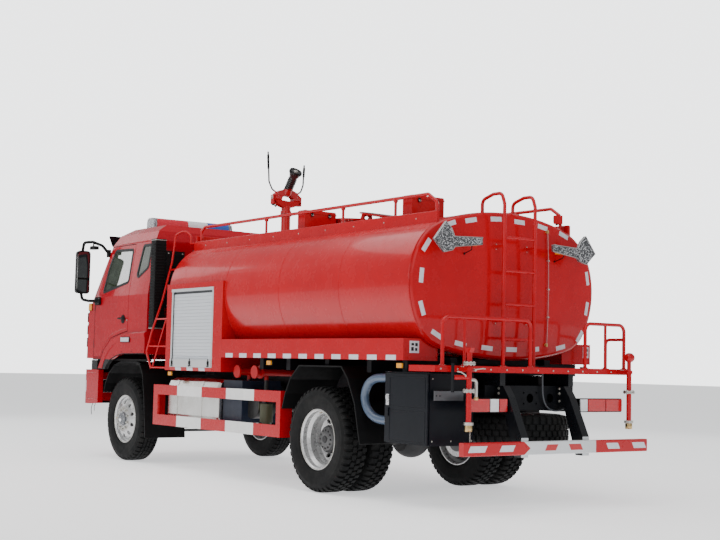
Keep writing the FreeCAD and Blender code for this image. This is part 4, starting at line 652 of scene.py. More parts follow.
NODE_MAT = {
    'chassis_rails': 'frame', 'chassis_crossmembers': 'frame', 'water_tank': 'red', 'manhole_cover': 'red',
    'pump_compartment': 'red', 'roller_shutters': 'shutter', 'tank_subframe': 'frame', 'side_skirts': 'red',
    'deck_coaming': 'red', 'handrails': 'red', 'ladders': 'red', 'rear_platform': 'platform', 'platform_rails': 'red',
    'arrow_lamps': 'arrow', 'underrun_bar': 'bar', 'tool_box': 'toolbox', 'tool_box_door': 'navy', 'suction_hose': 'hose',
    'cable_loop': 'black', 'spray_pipes': 'red', 'front_axle_beam': 'cast', 'knuckle_left': 'cast', 'knuckle_right': 'cast',
    'tie_rod': 'cast', 'rear_axle_and_shaft': 'cast', 'leaf_springs': 'spring', 'engine_block': 'cast',
    'tyre_front_left': 'rubber', 'tyre_front_right': 'rubber', 'wheel_front_left': 'wheel_f', 'wheel_front_right': 'wheel_f',
    'tyres_rear_left': 'rubber', 'tyres_rear_right': 'rubber', 'wheel_rear_left': 'wheel_r', 'wheel_rear_right': 'wheel_r',
    'fuel_tank': 'fuel', 'right_side_tanks': 'right_tanks', 'pump_and_pipes': 'pump', 'side_guards': 'guard',
    'mudguards': 'black', 'spare_wheel': 'rubber', 'air_intake': 'black', 'monitor_base': 'red', 'monitor_swivel': 'red',
    'monitor_barrel': 'monitor', 'door_left': 'door_l', 'door_right': 'door_r', 'door_glass_left': 'glass',
    'door_glass_right': 'glass', 'cab_shell': 'cab', 'front_flap': 'cab', 'cab_glass': 'glass', 'seats': 'cloth',
    'dashboard': 'trim', 'light_bar': 'dome_white', 'sun_visor': 'gloss_black', 'mirror_left': 'black', 'mirror_right': 'black',
    'front_bumper': 'bumper', 'lamps': 'lens_red',
}
for name, obj in frame['nodes'].items():
    mat = MATS[NODE_MAT[name]].m if name in NODE_MAT else MATS['frame'].m
    if not obj.material_slots:
        obj.data.materials.append(mat)
    for sl in obj.material_slots:
        sl.material = mat


# ------------------------------------------------------------------------------------------------ mesh building
class Geo:
    """faces of one piece, in the working frame (x = 0 at the rear axle), in metres"""

    def __init__(g):
        g.v = []
        g.f = []
        g.mi = []
        g.cur = 0

    def use(g, k):
        g.cur = k
        return g

    def add(g, vs, fs):
        o = len(g.v)
        g.v.extend([tuple(q) for q in vs])
        g.f.extend([tuple(i + o for i in q) for q in fs])
        g.mi.extend([g.cur] * len(fs))
        return g

    def box(g, x0, x1, y0, y1, z0, z1):
        v = [(x, y, z) for x in (x0, x1) for y in (y0, y1) for z in (z0, z1)]
        return g.add(v, [(0, 1, 3, 2), (4, 6, 7, 5), (0, 4, 5, 1), (2, 3, 7, 6), (0, 2, 6, 4), (1, 5, 7, 3)])

    def obox(g, c, ux, uy, uz, hx, hy, hz):
        c, ux, uy, uz = Vector(c), Vector(ux).normalized(), Vector(uy).normalized(), Vector(uz).normalized()
        v = [c + ux * a * hx + uy * b * hy + uz * d * hz for a in (-1, 1) for b in (-1, 1) for d in (-1, 1)]
        fs = [(0, 1, 3, 2), (4, 6, 7, 5), (0, 4, 5, 1), (2, 3, 7, 6), (0, 2, 6, 4), (1, 5, 7, 3)]
        if ux.cross(uy).dot(uz) < 0:
            fs = [tuple(reversed(q)) for q in fs]
        return g.add(v, fs)

    def prism(g, pts, axis, a, b):
        """closed polygon run from a to b along an axis: 'y' takes (x, z), 'x' takes (y, z), 'z' takes (x, y)"""
        n = len(pts)
        area = sum(pts[i][0] * pts[(i + 1) % n][1] - pts[(i + 1) % n][0] * pts[i][1] for i in range(n))
        if area < 0:
            pts = list(reversed(pts))
        if a > b:
            a, b = b, a

        def at(p, t):
            return (p[0], t, p[1]) if axis == 'y' else ((t, p[0], p[1]) if axis == 'x' else (p[0], p[1], t))
        v = [at(p, a) for p in pts] + [at(p, b) for p in pts]
        lo, hi = tuple(range(n)), tuple(range(n, 2 * n))
        side = [(i, (i + 1) % n, n + (i + 1) % n, n + i) for i in range(n)]
        fs = side + [tuple(reversed(lo)), hi]
        if axis == 'y':
            fs = [tuple(reversed(q)) for q in fs]
        return g.add(v, fs)

    @staticmethod
    def basis(d):
        d = Vector(d).normalized()
        a = Vector((0, 0, 1)) if abs(d.z) < 0.9 else Vector((1, 0, 0))
        u = d.cross(a).normalized()
        return d, u, d.cross(u).normalized()

    def cyl(g, p, d, r, h, n=24, r2=None, caps=True, rot=0.0):
        d, u, w = g.basis(d)
        p = Vector(p)
        r2 = r if r2 is None else r2
        v = []
        for t, q in ((0, r), (h, r2)):
            for i in range(n):
                a = 2 * math.pi * i / n + rot
                v.append(p + d * t + (u * math.cos(a) + w * math.sin(a)) * q)
        fs = [(i, (i + 1) % n, n + (i + 1) % n, n + i) for i in range(n)]
        if caps:
            fs += [tuple(reversed(range(n))), tuple(range(n, 2 * n))]
        return g.add(v, fs)

    def lathe(g, prof, p, d, n=48, closed=True):
        """prof is (radius, along) pairs turned about the line through p along d"""
        d, u, w = g.basis(d)
        p = Vector(p)
        m = len(prof)
        v = []
        for i in range(n):
            a = 2 * math.pi * i / n
            e = u * math.cos(a) + w * math.sin(a)
            v.extend([p + d * t + e * r for r, t in prof])
        area = sum(prof[i][0] * prof[(i + 1) % m][1] - prof[(i + 1) % m][0] * prof[i][1] for i in range(m))
        fs = []
        for i in range(n):
            j = (i + 1) % n
            for k in range(m if closed else m - 1):
                k2 = (k + 1) % m
                q = (i * m + k, i * m + k2, j * m + k2, j * m + k)
                fs.append(q if area < 0 else tuple(reversed(q)))
        return g.add(v, fs)

    def tube(g, pts, r, n=10, caps=True, closed=False):
        pts = [Vector(q) for q in pts]
        N = len(pts)
        tang = []
        for i in range(N):
            if closed:
                t = pts[(i + 1) % N] - pts[i - 1]
            elif i == 0:
                t = pts[1] - pts[0]
            elif i == N - 1:
                t = pts[-1] - pts[-2]
            else:
                t = (pts[i + 1] - pts[i]).normalized() + (pts[i] - pts[i - 1]).normalized()
            tang.append(t.normalized())
        _, u, w = g.basis(tang[0])
        v = []
        for i in range(N):
            t = tang[i]
            u = (u - t * u.dot(t)).normalized()
            w = t.cross(u)
            rr = r[i] if isinstance(r, (list, tuple)) else r
            for k in range(n):
                a = 2 * math.pi * k / n
                v.append(pts[i] + (u * math.cos(a) + w * math.sin(a)) * rr)
        fs = []
        last = N if closed else N - 1
        for i in range(last):
            j = (i + 1) % N
            for k in range(n):
                fs.append((i * n + k, i * n + (k + 1) % n, j * n + (k + 1) % n, j * n + k))
        if caps and not closed:
            fs += [tuple(reversed(range(n))), tuple(range((N - 1) * n, N * n))]
        return g.add(v, fs)

    def torus(g, c, d, R, r, n=48, m=10):
        d, u, w = g.basis(d)
        c = Vector(c)
        return g.tube([c + (u * math.cos(2 * math.pi * i / n) + w * math.sin(2 * math.pi * i / n)) * R for i in range(n)], r, m, closed=True)

    def ball(g, c, r, n=16, squash=(1, 1, 1)):
        c = Vector(c)
        v, fs = [], []
        m = max(6, n // 2)
        v.append(c + Vector((0, 0, r * squash[2])))
        for j in range(1, m):
            b = math.pi * j / m
            for i in range(n):
                a = 2 * math.pi * i / n
                v.append(c + Vector((math.sin(b) * math.cos(a) * squash[0], math.sin(b) * math.sin(a) * squash[1], math.cos(b) * squash[2])) * r)
        v.append(c - Vector((0, 0, r * squash[2])))
        e = len(v) - 1
        for i in range(n):
            fs.append((0, 1 + i, 1 + (i + 1) % n))
            fs.append((e, e - n + (i + 1) % n, e - n + i))
        for j in range(m - 2):
            for i in range(n):
                a, b = 1 + j * n + i, 1 + j * n + (i + 1) % n
                fs.append((a, a + n, b + n, b))
        return g.add(v, fs)

    def bolt(g, p, d, r=0.009, h=0.007, washer=True):
        d = Vector(d).normalized()
        p = Vector(p)
        if washer:
            g.cyl(p, d, r * 1.35, h * 0.22, 18)
            p = p + d * h * 0.2
        g.cyl(p, d, r, h * 0.8, 6)
        g.cyl(p + d * h * 0.8, d, r * 0.80, h * 0.18, 6, r2=r * 0.62)
        return g

    def nut(g, p, d, r=0.016, h=0.018, stud=0.010):
        d = Vector(d).normalized()
        p = Vector(p)
        g.cyl(p, d, r * 1.28, 0.003, 20)
        g.cyl(p + d * 0.003, d, r, h, 6)
        g.cyl(p + d * (0.003 + h), d, r * 0.85, 0.002, 6, r2=r * 0.7)
        if stud:
            g.cyl(p + d * (h + 0.004), d, r * 0.52, stud, 12)
        return g

    def mirror(g):
        """adds the same faces on the other side of the truck"""
        n = len(g.v)
        nf = len(g.f)
        g.v.extend([(x, -y, z) for x, y, z in g.v[:n]])
        g.f.extend([tuple(i + n for i in reversed(q)) for q in g.f[:nf]])
        g.mi.extend(g.mi[:nf])
        return g


def fillet(pts, rad, k=6):
    """polyline with its corners rounded"""
    p = [Vector(q) for q in pts]
    out = [p[0]]
    for i in range(1, len(p) - 1):
        a, b = p[i - 1] - p[i], p[i + 1] - p[i]
        la, lb = a.length, b.length
        a.normalize()
        b.normalize()
        r = rad[i - 1] if isinstance(rad, (list, tuple)) else rad
        half = a.angle(b) / 2
        t = min(r / max(math.tan(half), 1e-4), 0.47 * min(la, lb))
        s, e = p[i] + a * t, p[i] + b * t
        for j in range(k + 1):
            u = j / k
            out.append(s * (1 - u) ** 2 + p[i] * 2 * u * (1 - u) + e * u * u)
    out.append(p[-1])
    return out


PIECES = []


def make(name, g, body, mats, bevel=0.0, seg=2, angle=34.0, subdiv=0):
    me = bpy.data.meshes.new(name)
    me.from_pydata([(x - XS, y, z) for x, y, z in g.v], [], g.f)
    if isinstance(mats, str):
        mats = [mats]
    for k in mats:
        me.materials.append(MATS[k].m)
    me.polygons.foreach_set('material_index', g.mi)
    me.polygons.foreach_set('use_smooth', [True] * len(g.f))
    me.update()
    me.validate()
    me.set_sharp_from_angle(angle=math.radians(angle))
    o = bpy.data.objects.new(name, me)
    bpy.context.scene.collection.objects.link(o)
    if bevel:
        b = o.modifiers.new('edge', 'BEVEL')
        b.width = bevel
        b.segments = seg
        b.limit_method = 'ANGLE'
        b.angle_limit = math.radians(angle)
        b.use_clamp_overlap = True
        b.harden_normals = False
    if subdiv:
        s = o.modifiers.new('sub', 'SUBSURF')
        s.levels = s.render_levels = subdiv
    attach(o, body)
    PIECES.append(o)
    return o


# tank outline, the same arcs as the tank
def tank_outline(grow=0.0, n=9):
    W0, ZC, ZT, ZB = 1.178, 2.035, 2.738, 1.334

    def corner(W, H, Rs, Rt, Rc):
        ax, ay, bx, by = W - Rs, 0.0, 0.0, H - Rt
        ra, rb = Rs - Rc, Rt - Rc
        d = math.hypot(bx - ax, by - ay)
        t = (ra * ra - rb * rb + d * d) / (2 * d)
        h = math.sqrt(max(ra * ra - t * t, 0.0))
        mx, my = ax + (bx - ax) * t / d, ay + (by - ay) * t / d
        nx, ny = (by - ay) / d, -(bx - ax) / d
        c1, c2 = (mx + h * nx, my + h * ny), (mx - h * nx, my - h * ny)
        return c1 if c1[0] + c1[1] > c2[0] + c2[1] else c2
    W = W0 + grow
    half = {}
    for sgn, H, Rs, Rt, Rc in ((1, ZT - ZC + grow, 0.760 + grow, 2.655 + grow, 0.560 + grow),
                               (-1, ZC - ZB + grow, 0.800 + grow, 3.454 + grow, 0.358 + grow)):
        c = corner(W, H, Rs, Rt, Rc)
        sc, tc = (W - Rs, 0.0), (0.0, H - Rt)
        a_side = math.atan2(c[1] - sc[1], c[0] - sc[0])
        a_top = math.atan2(c[1] - tc[1], c[0] - tc[0])
        q = [(sc[0] + Rs * math.cos(a_side * k / n), sc[1] + Rs * math.sin(a_side * k / n)) for k in range(n)]
        q += [(c[0] + Rc * math.cos(a_side + (a_top - a_side) * k / n), c[1] + Rc * math.sin(a_side + (a_top - a_side) * k / n)) for k in range(n)]
        q += [(tc[0] + Rt * math.cos(a_top + (math.pi / 2 - a_top) * k / n), tc[1] + Rt * math.sin(a_top + (math.pi / 2 - a_top) * k / n)) for k in range(n + 1)]
        half[sgn] = q
    up, dn = half[1], half[-1]
    loop = [(y, ZC + z) for y, z in up]                                  # left side up to the top middle
    loop += [(-y, ZC + z) for y, z in reversed(up[:-1])]                 # down the right side
    loop += [(-y, ZC - z) for y, z in dn[1:]]                            # to the bottom middle
    loop += [(y, ZC - z) for y, z in reversed(dn[1:-1])]
    return loop


def head_x(y, z):
    """rear head surface"""
    return 7.505 - math.sqrt(81.0 - y * y - (z - 2.035) ** 2)


# ------------------------------------------------------------------------------------------------ camera, light, floor
def camera():
    yaw, pitch, roll = math.radians(-36.16), math.radians(4.23), math.radians(1.245)
    f = Vector((math.cos(pitch) * math.cos(yaw), math.cos(pitch) * math.sin(yaw), math.sin(pitch)))
    right = Vector((math.sin(yaw), -math.cos(yaw), 0))
    up = right.cross(f)
    r_ = right * math.cos(roll) + up * math.sin(roll)
    u_ = -right * math.sin(roll) + up * math.cos(roll)
    m = Matrix((r_, u_, -f)).transposed().to_4x4()
    m.translation = Vector((-12.227, 8.373, 1.257))
    cam = bpy.data.cameras.new('camera')
    cam.sensor_width = 36.0
    cam.sensor_fit = 'HORIZONTAL'
    cam.lens = 1285.8 / 720.0 * 36.0
    cam.clip_end = 400.0
    o = bpy.data.objects.new('camera', cam)
    o.matrix_world = m
    bpy.context.scene.collection.objects.link(o)
    bpy.context.scene.camera = o


camera()


def area(name, loc, target, size, size_y, power, colour=(1, 1, 1)):
    l = bpy.data.lights.new(name, 'AREA')
    l.shape = 'RECTANGLE'
    l.size = size
    l.size_y = size_y
    l.energy = 0.88 * power
    l.color = colour
    o = bpy.data.objects.new(name, l)
    o.location = loc
    d = Vector(target) - Vector(loc)
    o.rotation_euler = d.to_track_quat('-Z', 'Y').to_euler()
    bpy.context.scene.collection.objects.link(o)
    return o


area('sky_panel', (-0.6, 2.2, 8.6), (-0.2, -0.3, 0.0), 15.0, 8.0, 820.0, (1.0, 0.99, 0.98))
area('rear_panel', (-13.0, 2.5, 6.0), (-3.0, 0.0, 1.5), 9.0, 5.0, 170.0, (1.0, 0.98, 0.96))
area('left_panel', (-2.0, 13.0, 5.0), (0.0, 0.5, 1.4), 13.0, 4.5, 400.0, (1.0, 0.99, 0.97))
area('right_panel', (2.0, -12.0, 6.0), (0.0, -0.5, 1.4), 12.0, 5.0, 240.0, (0.97, 0.98, 1.0))
area('front_panel', (13.0, 2.0, 5.5), (3.5, 0.0, 1.6), 8.0, 5.0, 240.0, (0.98, 0.99, 1.0))

world = bpy.data.worlds.new('studio') if not bpy.data.worlds else bpy.data.worlds[0]
bpy.context.scene.world = world
world.use_nodes = True
wn = world.node_tree.nodes
bg = [q for q in wn if q.type == 'BACKGROUND']
bg = bg[0] if bg else wn.new('ShaderNodeBackground')
bg.inputs[0].default_value = (0.93, 0.94, 0.95, 1)
wl = world.node_tree.links
lp_ = wn.new('ShaderNodeLightPath')
mx_ = wn.new('ShaderNodeMix')
mx_.data_type = 'FLOAT'
wl.new(lp_.outputs['Is Camera Ray'], mx_.inputs[0])
mx_.inputs[2].default_value = 0.46
mx_.inputs[3].default_value = 3.4
wl.new(mx_.outputs[0], bg.inputs[1])

# floor: one wide, very slightly uneven pale slab
m = Mat('pale_floor', spec=0.2, emisc=(0.97, 0.98, 1.0), emis=0.75)
m.color(m.mix(m.noise(0.6, 4.0), (0.95, 0.95, 0.945), (0.91, 0.91, 0.905)))
m.rough(m.ramp(m.noise(3.0, 4.0), [(0.3, 0.62), (0.8, 0.80)]))
m.bump(m.noise(30.0, 3.0), 0.03, 0.001)
MATS['floor'] = m
me = bpy.data.meshes.new('studio_floor')
S = 90.0
me.from_pydata([(-S, -S, 0), (S, -S, 0), (S, S, 0), (-S, S, 0)], [], [(0, 1, 2, 3)])
me.materials.append(m.m)
floor = bpy.data.objects.new('studio_floor', me)
floor.location = (0, 0, -0.0005)
bpy.context.scene.collection.objects.link(floor)


# ------------------------------------------------------------------------------------------------ free cords
def spline(name, pts, r, mat, body, res=14):
    cu = bpy.data.curves.new(name, 'CURVE')
    cu.dimensions = '3D'
    cu.bevel_depth = r
    cu.bevel_resolution = 6
    cu.resolution_u = res
    cu.use_fill_caps = True
    sp = cu.splines.new('NURBS')
    sp.points.add(len(pts) - 1)
    for q, p in zip(sp.points, pts):
        q.co = (p[0] - XS, p[1], p[2], 1.0)
    sp.order_u = 3
    sp.use_endpoint_u = True
    cu.materials.append(MATS[mat].m)
    o = bpy.data.objects.new(name, cu)
    bpy.context.scene.collection.objects.link(o)
    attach(o, body)
    return o


HOSE = [(-1.069, 1.105, 1.147), (-0.950, 1.105, 1.147), (-0.825, 1.105, 1.136), (-0.720, 1.105, 1.082), (-0.664, 1.105, 0.965),
        (-0.712, 1.105, 0.848), (-0.820, 1.105, 0.776), (-0.950, 1.105, 0.751), (-1.069, 1.105, 0.751)]
hose = spline('suction_hose_pvc', HOSE, 0.0405, 'hose', 'chassis')
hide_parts('suction_hose')
CABLE = [(-1.790, -0.130, 1.2615), (-1.790, -0.130, 1.120), (-1.790, -0.138, 0.985), (-1.790, -0.190, 0.895), (-1.790, -0.300, 0.862),
         (-1.790, -0.405, 0.880), (-1.790, -0.466, 0.955), (-1.790, -0.482, 1.070), (-1.790, -0.480, 1.180), (-1.790, -0.483, 1.2615)]
cable = spline('cable_loop_grey', CABLE, 0.0078, 'cable', 'chassis')
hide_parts('cable_loop')


def centreline(o):
    """points along a curve's own line, row frame"""
    c = o.data.copy()
    c.bevel_depth = 0.0
    t = bpy.data.objects.new('tmp_line', c)
    bpy.context.scene.collection.objects.link(t)
    bpy.context.view_layer.update()
    me = bpy.data.meshes.new_from_object(t.evaluated_get(bpy.context.evaluated_depsgraph_get()))
    pts = [v.co.copy() for v in me.vertices]
    bpy.data.objects.remove(t)
    bpy.data.curves.remove(c)
    return pts


# wound reinforcement standing slightly proud of the hose wall, and its two clamped ends
line = centreline(hose)
seglen = [0.0]
for a, b in zip(line, line[1:]):
    seglen.append(seglen[-1] + (b - a).length)
HOSE_LEN = seglen[-1]


def at_len(s):
    s = min(max(s, 0.0), HOSE_LEN)
    for k in range(1, len(line)):
        if s <= seglen[k]:
            u = (s - seglen[k - 1]) / max(seglen[k] - seglen[k - 1], 1e-9)
            return line[k - 1].lerp(line[k], u), (line[k] - line[k - 1]).normalized()
    return line[-1], (line[-1] - line[-2]).normalized()


g = Geo()
hx = []
turns = int(HOSE_LEN / 0.0135)
N = turns * 14
for i in range(N + 1):
    s = 0.02 + (HOSE_LEN - 0.04) * i / N
    p, t = at_len(s)
    side = Vector((0, 1, 0))
    up = t.cross(side).normalized()
    a = 2 * math.pi * turns * i / N
    q = p + (side * math.cos(a) + up * math.sin(a)) * 0.0398
    hx.append((q.x + XS, q.y, q.z))
g.tube(hx, 0.0020, 5)
winding = make('suction_hose_winding', g, 'chassis', 'hose')
g = Geo()
for s in (0.012, HOSE_LEN - 0.012):
    p, t = at_len(s)
    p = Vector((p.x + XS, p.y, p.z))
    sgn = 1 if s < 0.1 else -1
    g.lathe([(0.0408, -0.011), (0.0455, -0.011), (0.0455, 0.009), (0.0408, 0.009)], p, t, 40)
    g.box(p.x - 0.012, p.x + 0.012, p.y - 0.012, p.y + 0.012, p.z + 0.0445, p.z + 0.0585)
    g.cyl((p.x, p.y - 0.022, p.z + 0.0525), (0, 1, 0), 0.0045, 0.044, 10)
hoseclamps = make('suction_hose_clamps', g, 'chassis', 'steel', bevel=0.0012)
L2 = centreline(cable)
g = Geo()
for y in (-0.130, -0.483):
    g.lathe([(0.0080, 0.0), (0.0165, 0.0), (0.0175, -0.006), (0.0125, -0.030), (0.0080, -0.040)], (-1.790, y, 1.2615), (0, 0, 1), 20)
make('cable_glands', g, 'chassis', 'black')


# ------------------------------------------------------------------------------------------------ tyres and wheels
def tyre_geo(g, c, axis, lug=True, N=44):
    d, u, w = Geo.basis(axis)
    c = Vector(c)

    def pt(r, a, t):
        return c + d * a + (u * math.cos(t) + w * math.sin(t)) * r
    B = 0.28575
    prof = [(B + .0003, -.104), (B + .0132, -.108), (B + .0132, -.119), (.318, -.1265), (.326, -.1305), (.332, -.1300), (.345, -.1335), (.370, -.1375),
            (.395, -.1390), (.410, -.1400), (.432, -.1390), (.4385, -.1400), (.4450, -.1375), (.462, -.1340), (.476, -.1290), (.486, -.1230), (.493, -.1120), (.4985, -.0850), (.501, -.0400), (.502, 0.0)]
    prof = prof + [(r, -a) for r, a in reversed(prof[:-1])]
    g.lathe(prof, c, axis, 104)

    def lump(poly_lo, poly_hi, t0, t1, s=0.0, taper=0.10):
        """block: outline in (radius, offset) run over an angle, its outer points narrower than its foot. s shears it"""
        n = len(poly_lo)
        dt = (t1 - t0)
        vs = []
        for side in (0, 1):
            for (r, a), top in zip(poly_lo, poly_hi):
                k = taper * dt if top else 0.0
                t = (t0 + k if side == 0 else t1 - k) + s * (a / 0.12)
                vs.append(pt(r, a, t))
        fs = [tuple(range(n)), tuple(reversed(range(n, 2 * n)))]
        fs += [(i, n + i, n + (i + 1) % n, (i + 1) % n) for i in range(n)]
        area = sum(poly_lo[i][0] * poly_lo[(i + 1) % n][1] - poly_lo[(i + 1) % n][0] * poly_lo[i][1] for i in range(n))
        if area < 0:
            fs = [tuple(reversed(q)) for q in fs]
        g.add(vs, fs)
    P2 = 2 * math.pi / N
    if lug:
        for i in range(N):
            for sg in (1, -1):
                off = 0.0 if sg > 0 else 0.5
                t0 = (i + off) * P2
                sh = [(.490, .060), (.5190, .060), (.5180, .084), (.5150, .104), (.5080, .1175), (.4960, .1255), (.4800, .1318), (.4720, .1300), (.484, .1130)]
                sh = [(r, a * sg) for r, a in sh]
                lump(sh, [0, 1, 1, 1, 1, 1, 1, 0, 0], t0 + 0.16 * P2, t0 + 0.80 * P2, 0.0, 0.07)
                ce = [(.492, .006), (.5196, .006), (.5194, .030), (.5192, .052), (.492, .052)]
                ce = [(r, a * sg) for r, a in ce]
                lump(ce, [0, 1, 1, 1, 0], t0 + 0.34 * P2 + 0.25 * P2, t0 + 1.12 * P2 + 0.25 * P2, 0.10 * P2 * sg, 0.07)
    else:
        for i in range(N):
            t0 = i * P2
            for sg in (1, -1):
                sh = [(.490, .076), (.5185, .076), (.5165, .096), (.5130, .108), (.5040, .1190), (.4900, .1262), (.4830, .1245), (.488, .105)]
                sh = [(r, a * sg) for r, a in sh]
                lump(sh, [0, 1, 1, 1, 1, 1, 0, 0], t0 + 0.09 * P2 + (0.5 * P2 if sg < 0 else 0), t0 + 0.93 * P2 + (0.5 * P2 if sg < 0 else 0), 0.0, 0.04)
                r1 = [(r, a * sg) for r, a in [(.492, .028), (.5195, .028), (.5190, .066), (.492, .066)]]
                lump(r1, [0, 1, 1, 0], t0 + 0.03 * P2, t0 + 0.97 * P2, 0.12 * P2 * sg, 0.02)
            r0 = [(.492, -.018), (.5198, -.018), (.5198, .018), (.492, .018)]
            lump(r0, [0, 1, 1, 0], t0 + 0.03 * P2 + 0.3 * P2, t0 + 0.97 * P2 + 0.3 * P2, 0.0, 0.02)
    return g


def wheel_tyre(name, centres, axis, body, node, lug=True):
    g = Geo()
    for c in centres:
        tyre_geo(g, c, axis, lug)
    o = make(name, g, body, 'rubber', bevel=0.0014, seg=1, angle=38)
    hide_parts(node)
    return o


wheel_tyre('tyre_front_left_tread', [(4.373, 1.0, 0.520)], (0, 1, 0), 'front_wheel_left', 'tyre_front_left', False)
wheel_tyre('tyre_front_right_tread', [(4.373, -1.0, 0.520)], (0, 1, 0), 'front_wheel_right', 'tyre_front_right', False)
wheel_tyre('tyres_rear_left_tread', [(0, 1.055, 0.520), (0, 0.735, 0.520)], (0, 1, 0), 'rear_wheels_left', 'tyres_rear_left')
wheel_tyre('tyres_rear_right_tread', [(0, -1.055, 0.520), (0, -0.735, 0.520)], (0, 1, 0), 'rear_wheels_right', 'tyres_rear_right')

RIM = [(298.5, 118), (298.5, 108.5), (285.5, 104), (285.5, 66), (262, 50), (262, -34), (285.5, -62), (285.5, -104), (298.5, -108.5),
       (298.5, -118), (290, -118), (277, -104), (277, -58), (252, -28), (252, 34), (236, 78), (206, 108), (160, 126), (84, 130),
       (84, 142), (164, 138), (214, 119), (245, 88), (262, 62), (277, 72), (277, 104), (290, 118)]
g = Geo()
tyre_geo(g, (-1.400, -0.140, 0.690), (0, 0, 1), True)
g.use(1).lathe([(r / 1000, a / 1000) for r, a in RIM], (-1.400, -0.140, 0.690), (0, 0, 1), 72)
for i in range(10):
    a = 2 * math.pi * i / 10
    g.use(2).nut((-1.400 + 0.118 * math.cos(a), -0.140 + 0.118 * math.sin(a), 0.690 + 0.131 - 0.016), (0, 0, -1), 0.012, 0.010, 0)
sp = make('spare_wheel_and_tyre', g, 'chassis', ['rubber', 'wheel', 'cast'], bevel=0.0014, seg=1, angle=38)
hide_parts('spare_wheel')

for side, sg in (('left', 1), ('right', -1)):
    # front: ten nuts with studs, hub cap screws, valve stem, a raised ring round the nuts
    g = Geo()
    for i in range(10):
        a = 2 * math.pi * (i + 0.5) / 10
        g.nut((4.373 + 0.128 * math.cos(a), sg * 1.1385, 0.520 + 0.128 * math.sin(a)), (0, sg, 0), 0.0155, 0.017, 0.009)
    for i in range(8):
        a = 2 * math.pi * i / 8
        g.use(1).bolt((4.373 + 0.074 * math.cos(a), sg * (1.130 + 0.030 + 0.0045), 0.520 + 0.074 * math.sin(a)), (0, sg, 0), 0.0060, 0.006)
    g.use(1).lathe([(0.0, 0.0), (0.030, 0.0), (0.034, 0.003), (0.034, 0.006), (0.026, 0.009), (0.0, 0.010)], (4.373, sg * 1.1797, 0.520), (0, sg, 0), 30, closed=False)
    g.use(0).torus((4.373, sg * 1.1405, 0.520), (0, 1, 0), 0.155, 0.0035, 60, 8)
    g.use(0).torus((4.373, sg * 1.1185, 0.520), (0, 1, 0), 0.2925, 0.0040, 80, 8)
    g.use(2).tube(fillet([(4.373 + 0.246, sg * 1.060, 0.520), (4.373 + 0.246, sg * 1.085, 0.520), (4.373 + 0.262, sg * 1.100, 0.520)], 0.012), 0.0045, 8)
    g.use(2).cyl((4.373 + 0.258, sg * 1.0965, 0.520), (0.75, sg * 0.66, 0), 0.0060, 0.016, 10)
    make('front_wheel_fittings_' + side, g, 'front_wheel_' + side, ['zinc', 'chrome', 'brass'], bevel=0.0008, seg=1)
    # rear: nuts on the disc, cover screws on the hub end, a valve stem
    g = Geo()
    for i in range(10):
        a = 2 * math.pi * (i + 0.5) / 10
        g.nut((0.146 * math.cos(a), sg * 0.926, 0.520 + 0.146 * math.sin(a)), (0, sg, 0), 0.0130, 0.020, 0.012)
    for i in range(12):
        a = 2 * math.pi * i / 12
        g.use(1).bolt((0.088 * math.cos(a), sg * (0.895 + 0.1815), 0.520 + 0.088 * math.sin(a)), (0, sg, 0), 0.0085, 0.009)
    for i in range(6):
        a = 2 * math.pi * (i + 0.25) / 6
        c = Vector((0.134 * math.cos(a), sg * 0.985, 0.520 + 0.134 * math.sin(a)))
        e = Vector((math.cos(a), 0, math.sin(a)))
        g.use(1).obox(c, e, (0, 1, 0), e.cross(Vector((0, 1, 0))), 0.006, 0.050, 0.010)
    g.use(1).lathe([(0.0, 0.0), (0.032, 0.0), (0.036, 0.004), (0.030, 0.010), (0.0, 0.012)], (0, sg * 1.0848, 0.520), (0, sg, 0), 30, closed=False)
    g.use(1).torus((0, sg * 1.0485, 0.520), (0, 1, 0), 0.1285, 0.0040, 60, 8)
    g.use(0).torus((0, sg * 1.1735, 0.520), (0, 1, 0), 0.2925, 0.0040, 80, 8)
    g.use(2).tube(fillet([(0.0, sg * 1.120, 0.520 + 0.272), (0.0, sg * 1.132, 0.520 + 0.262), (0.0, sg * 1.152, 0.520 + 0.258)], 0.01), 0.0045, 8)
    make('rear_wheel_fittings_' + side, g, 'rear_wheels_' + side, ['zinc', 'cast', 'brass'], bevel=0.0008, seg=1)


# ------------------------------------------------------------------------------------------------ tank, skirts, rear
def plate(g, c, n, u, w, h, t=0.0016, sink=0.0005):
    """thin rectangle of film or sheet lying on a surface at c with normal n, its long side along u"""
    c, n, u = Vector(c), Vector(n).normalized(), Vector(u)
    u = (u - n * u.dot(n)).normalized()
    return g.obox(c + n * (t / 2 - sink), u, n.cross(u), n, w / 2, h / 2, t / 2)


OUT8 = tank_outline(-0.08)
g = Geo()
for y, z in ((1.054, 2.084), (1.04, 1.785), (0.866, 1.55), (0.597, 1.471), (0.281, 1.442), (-0.027, 1.435), (-0.326, 1.443), (-0.703, 1.472),
             (-0.987, 1.588), (-1.085, 1.87), (-1.09, 2.175), (-0.731, 2.58), (-0.427, 2.635), (-0.113, 2.66), (0.19, 2.665), (0.495, 2.63),
             (0.739, 2.579), (1.002, 2.365)):
    k = min(range(len(OUT8)), key=lambda i: (OUT8[i][0] - y) ** 2 + (OUT8[i][1] - z) ** 2)
    a, b = OUT8[k - 2], OUT8[(k + 2) % len(OUT8)]
    p = Vector((head_x(y, z), y, z))
    n = (p - Vector((7.505, 0, 2.035))).normalized()
    plate(g, p, n, (0, b[0] - a[0], b[1] - a[1]), 0.136, 0.045)
make('head_reflective_strips', g, 'chassis', 'film', bevel=0.0004, seg=1)

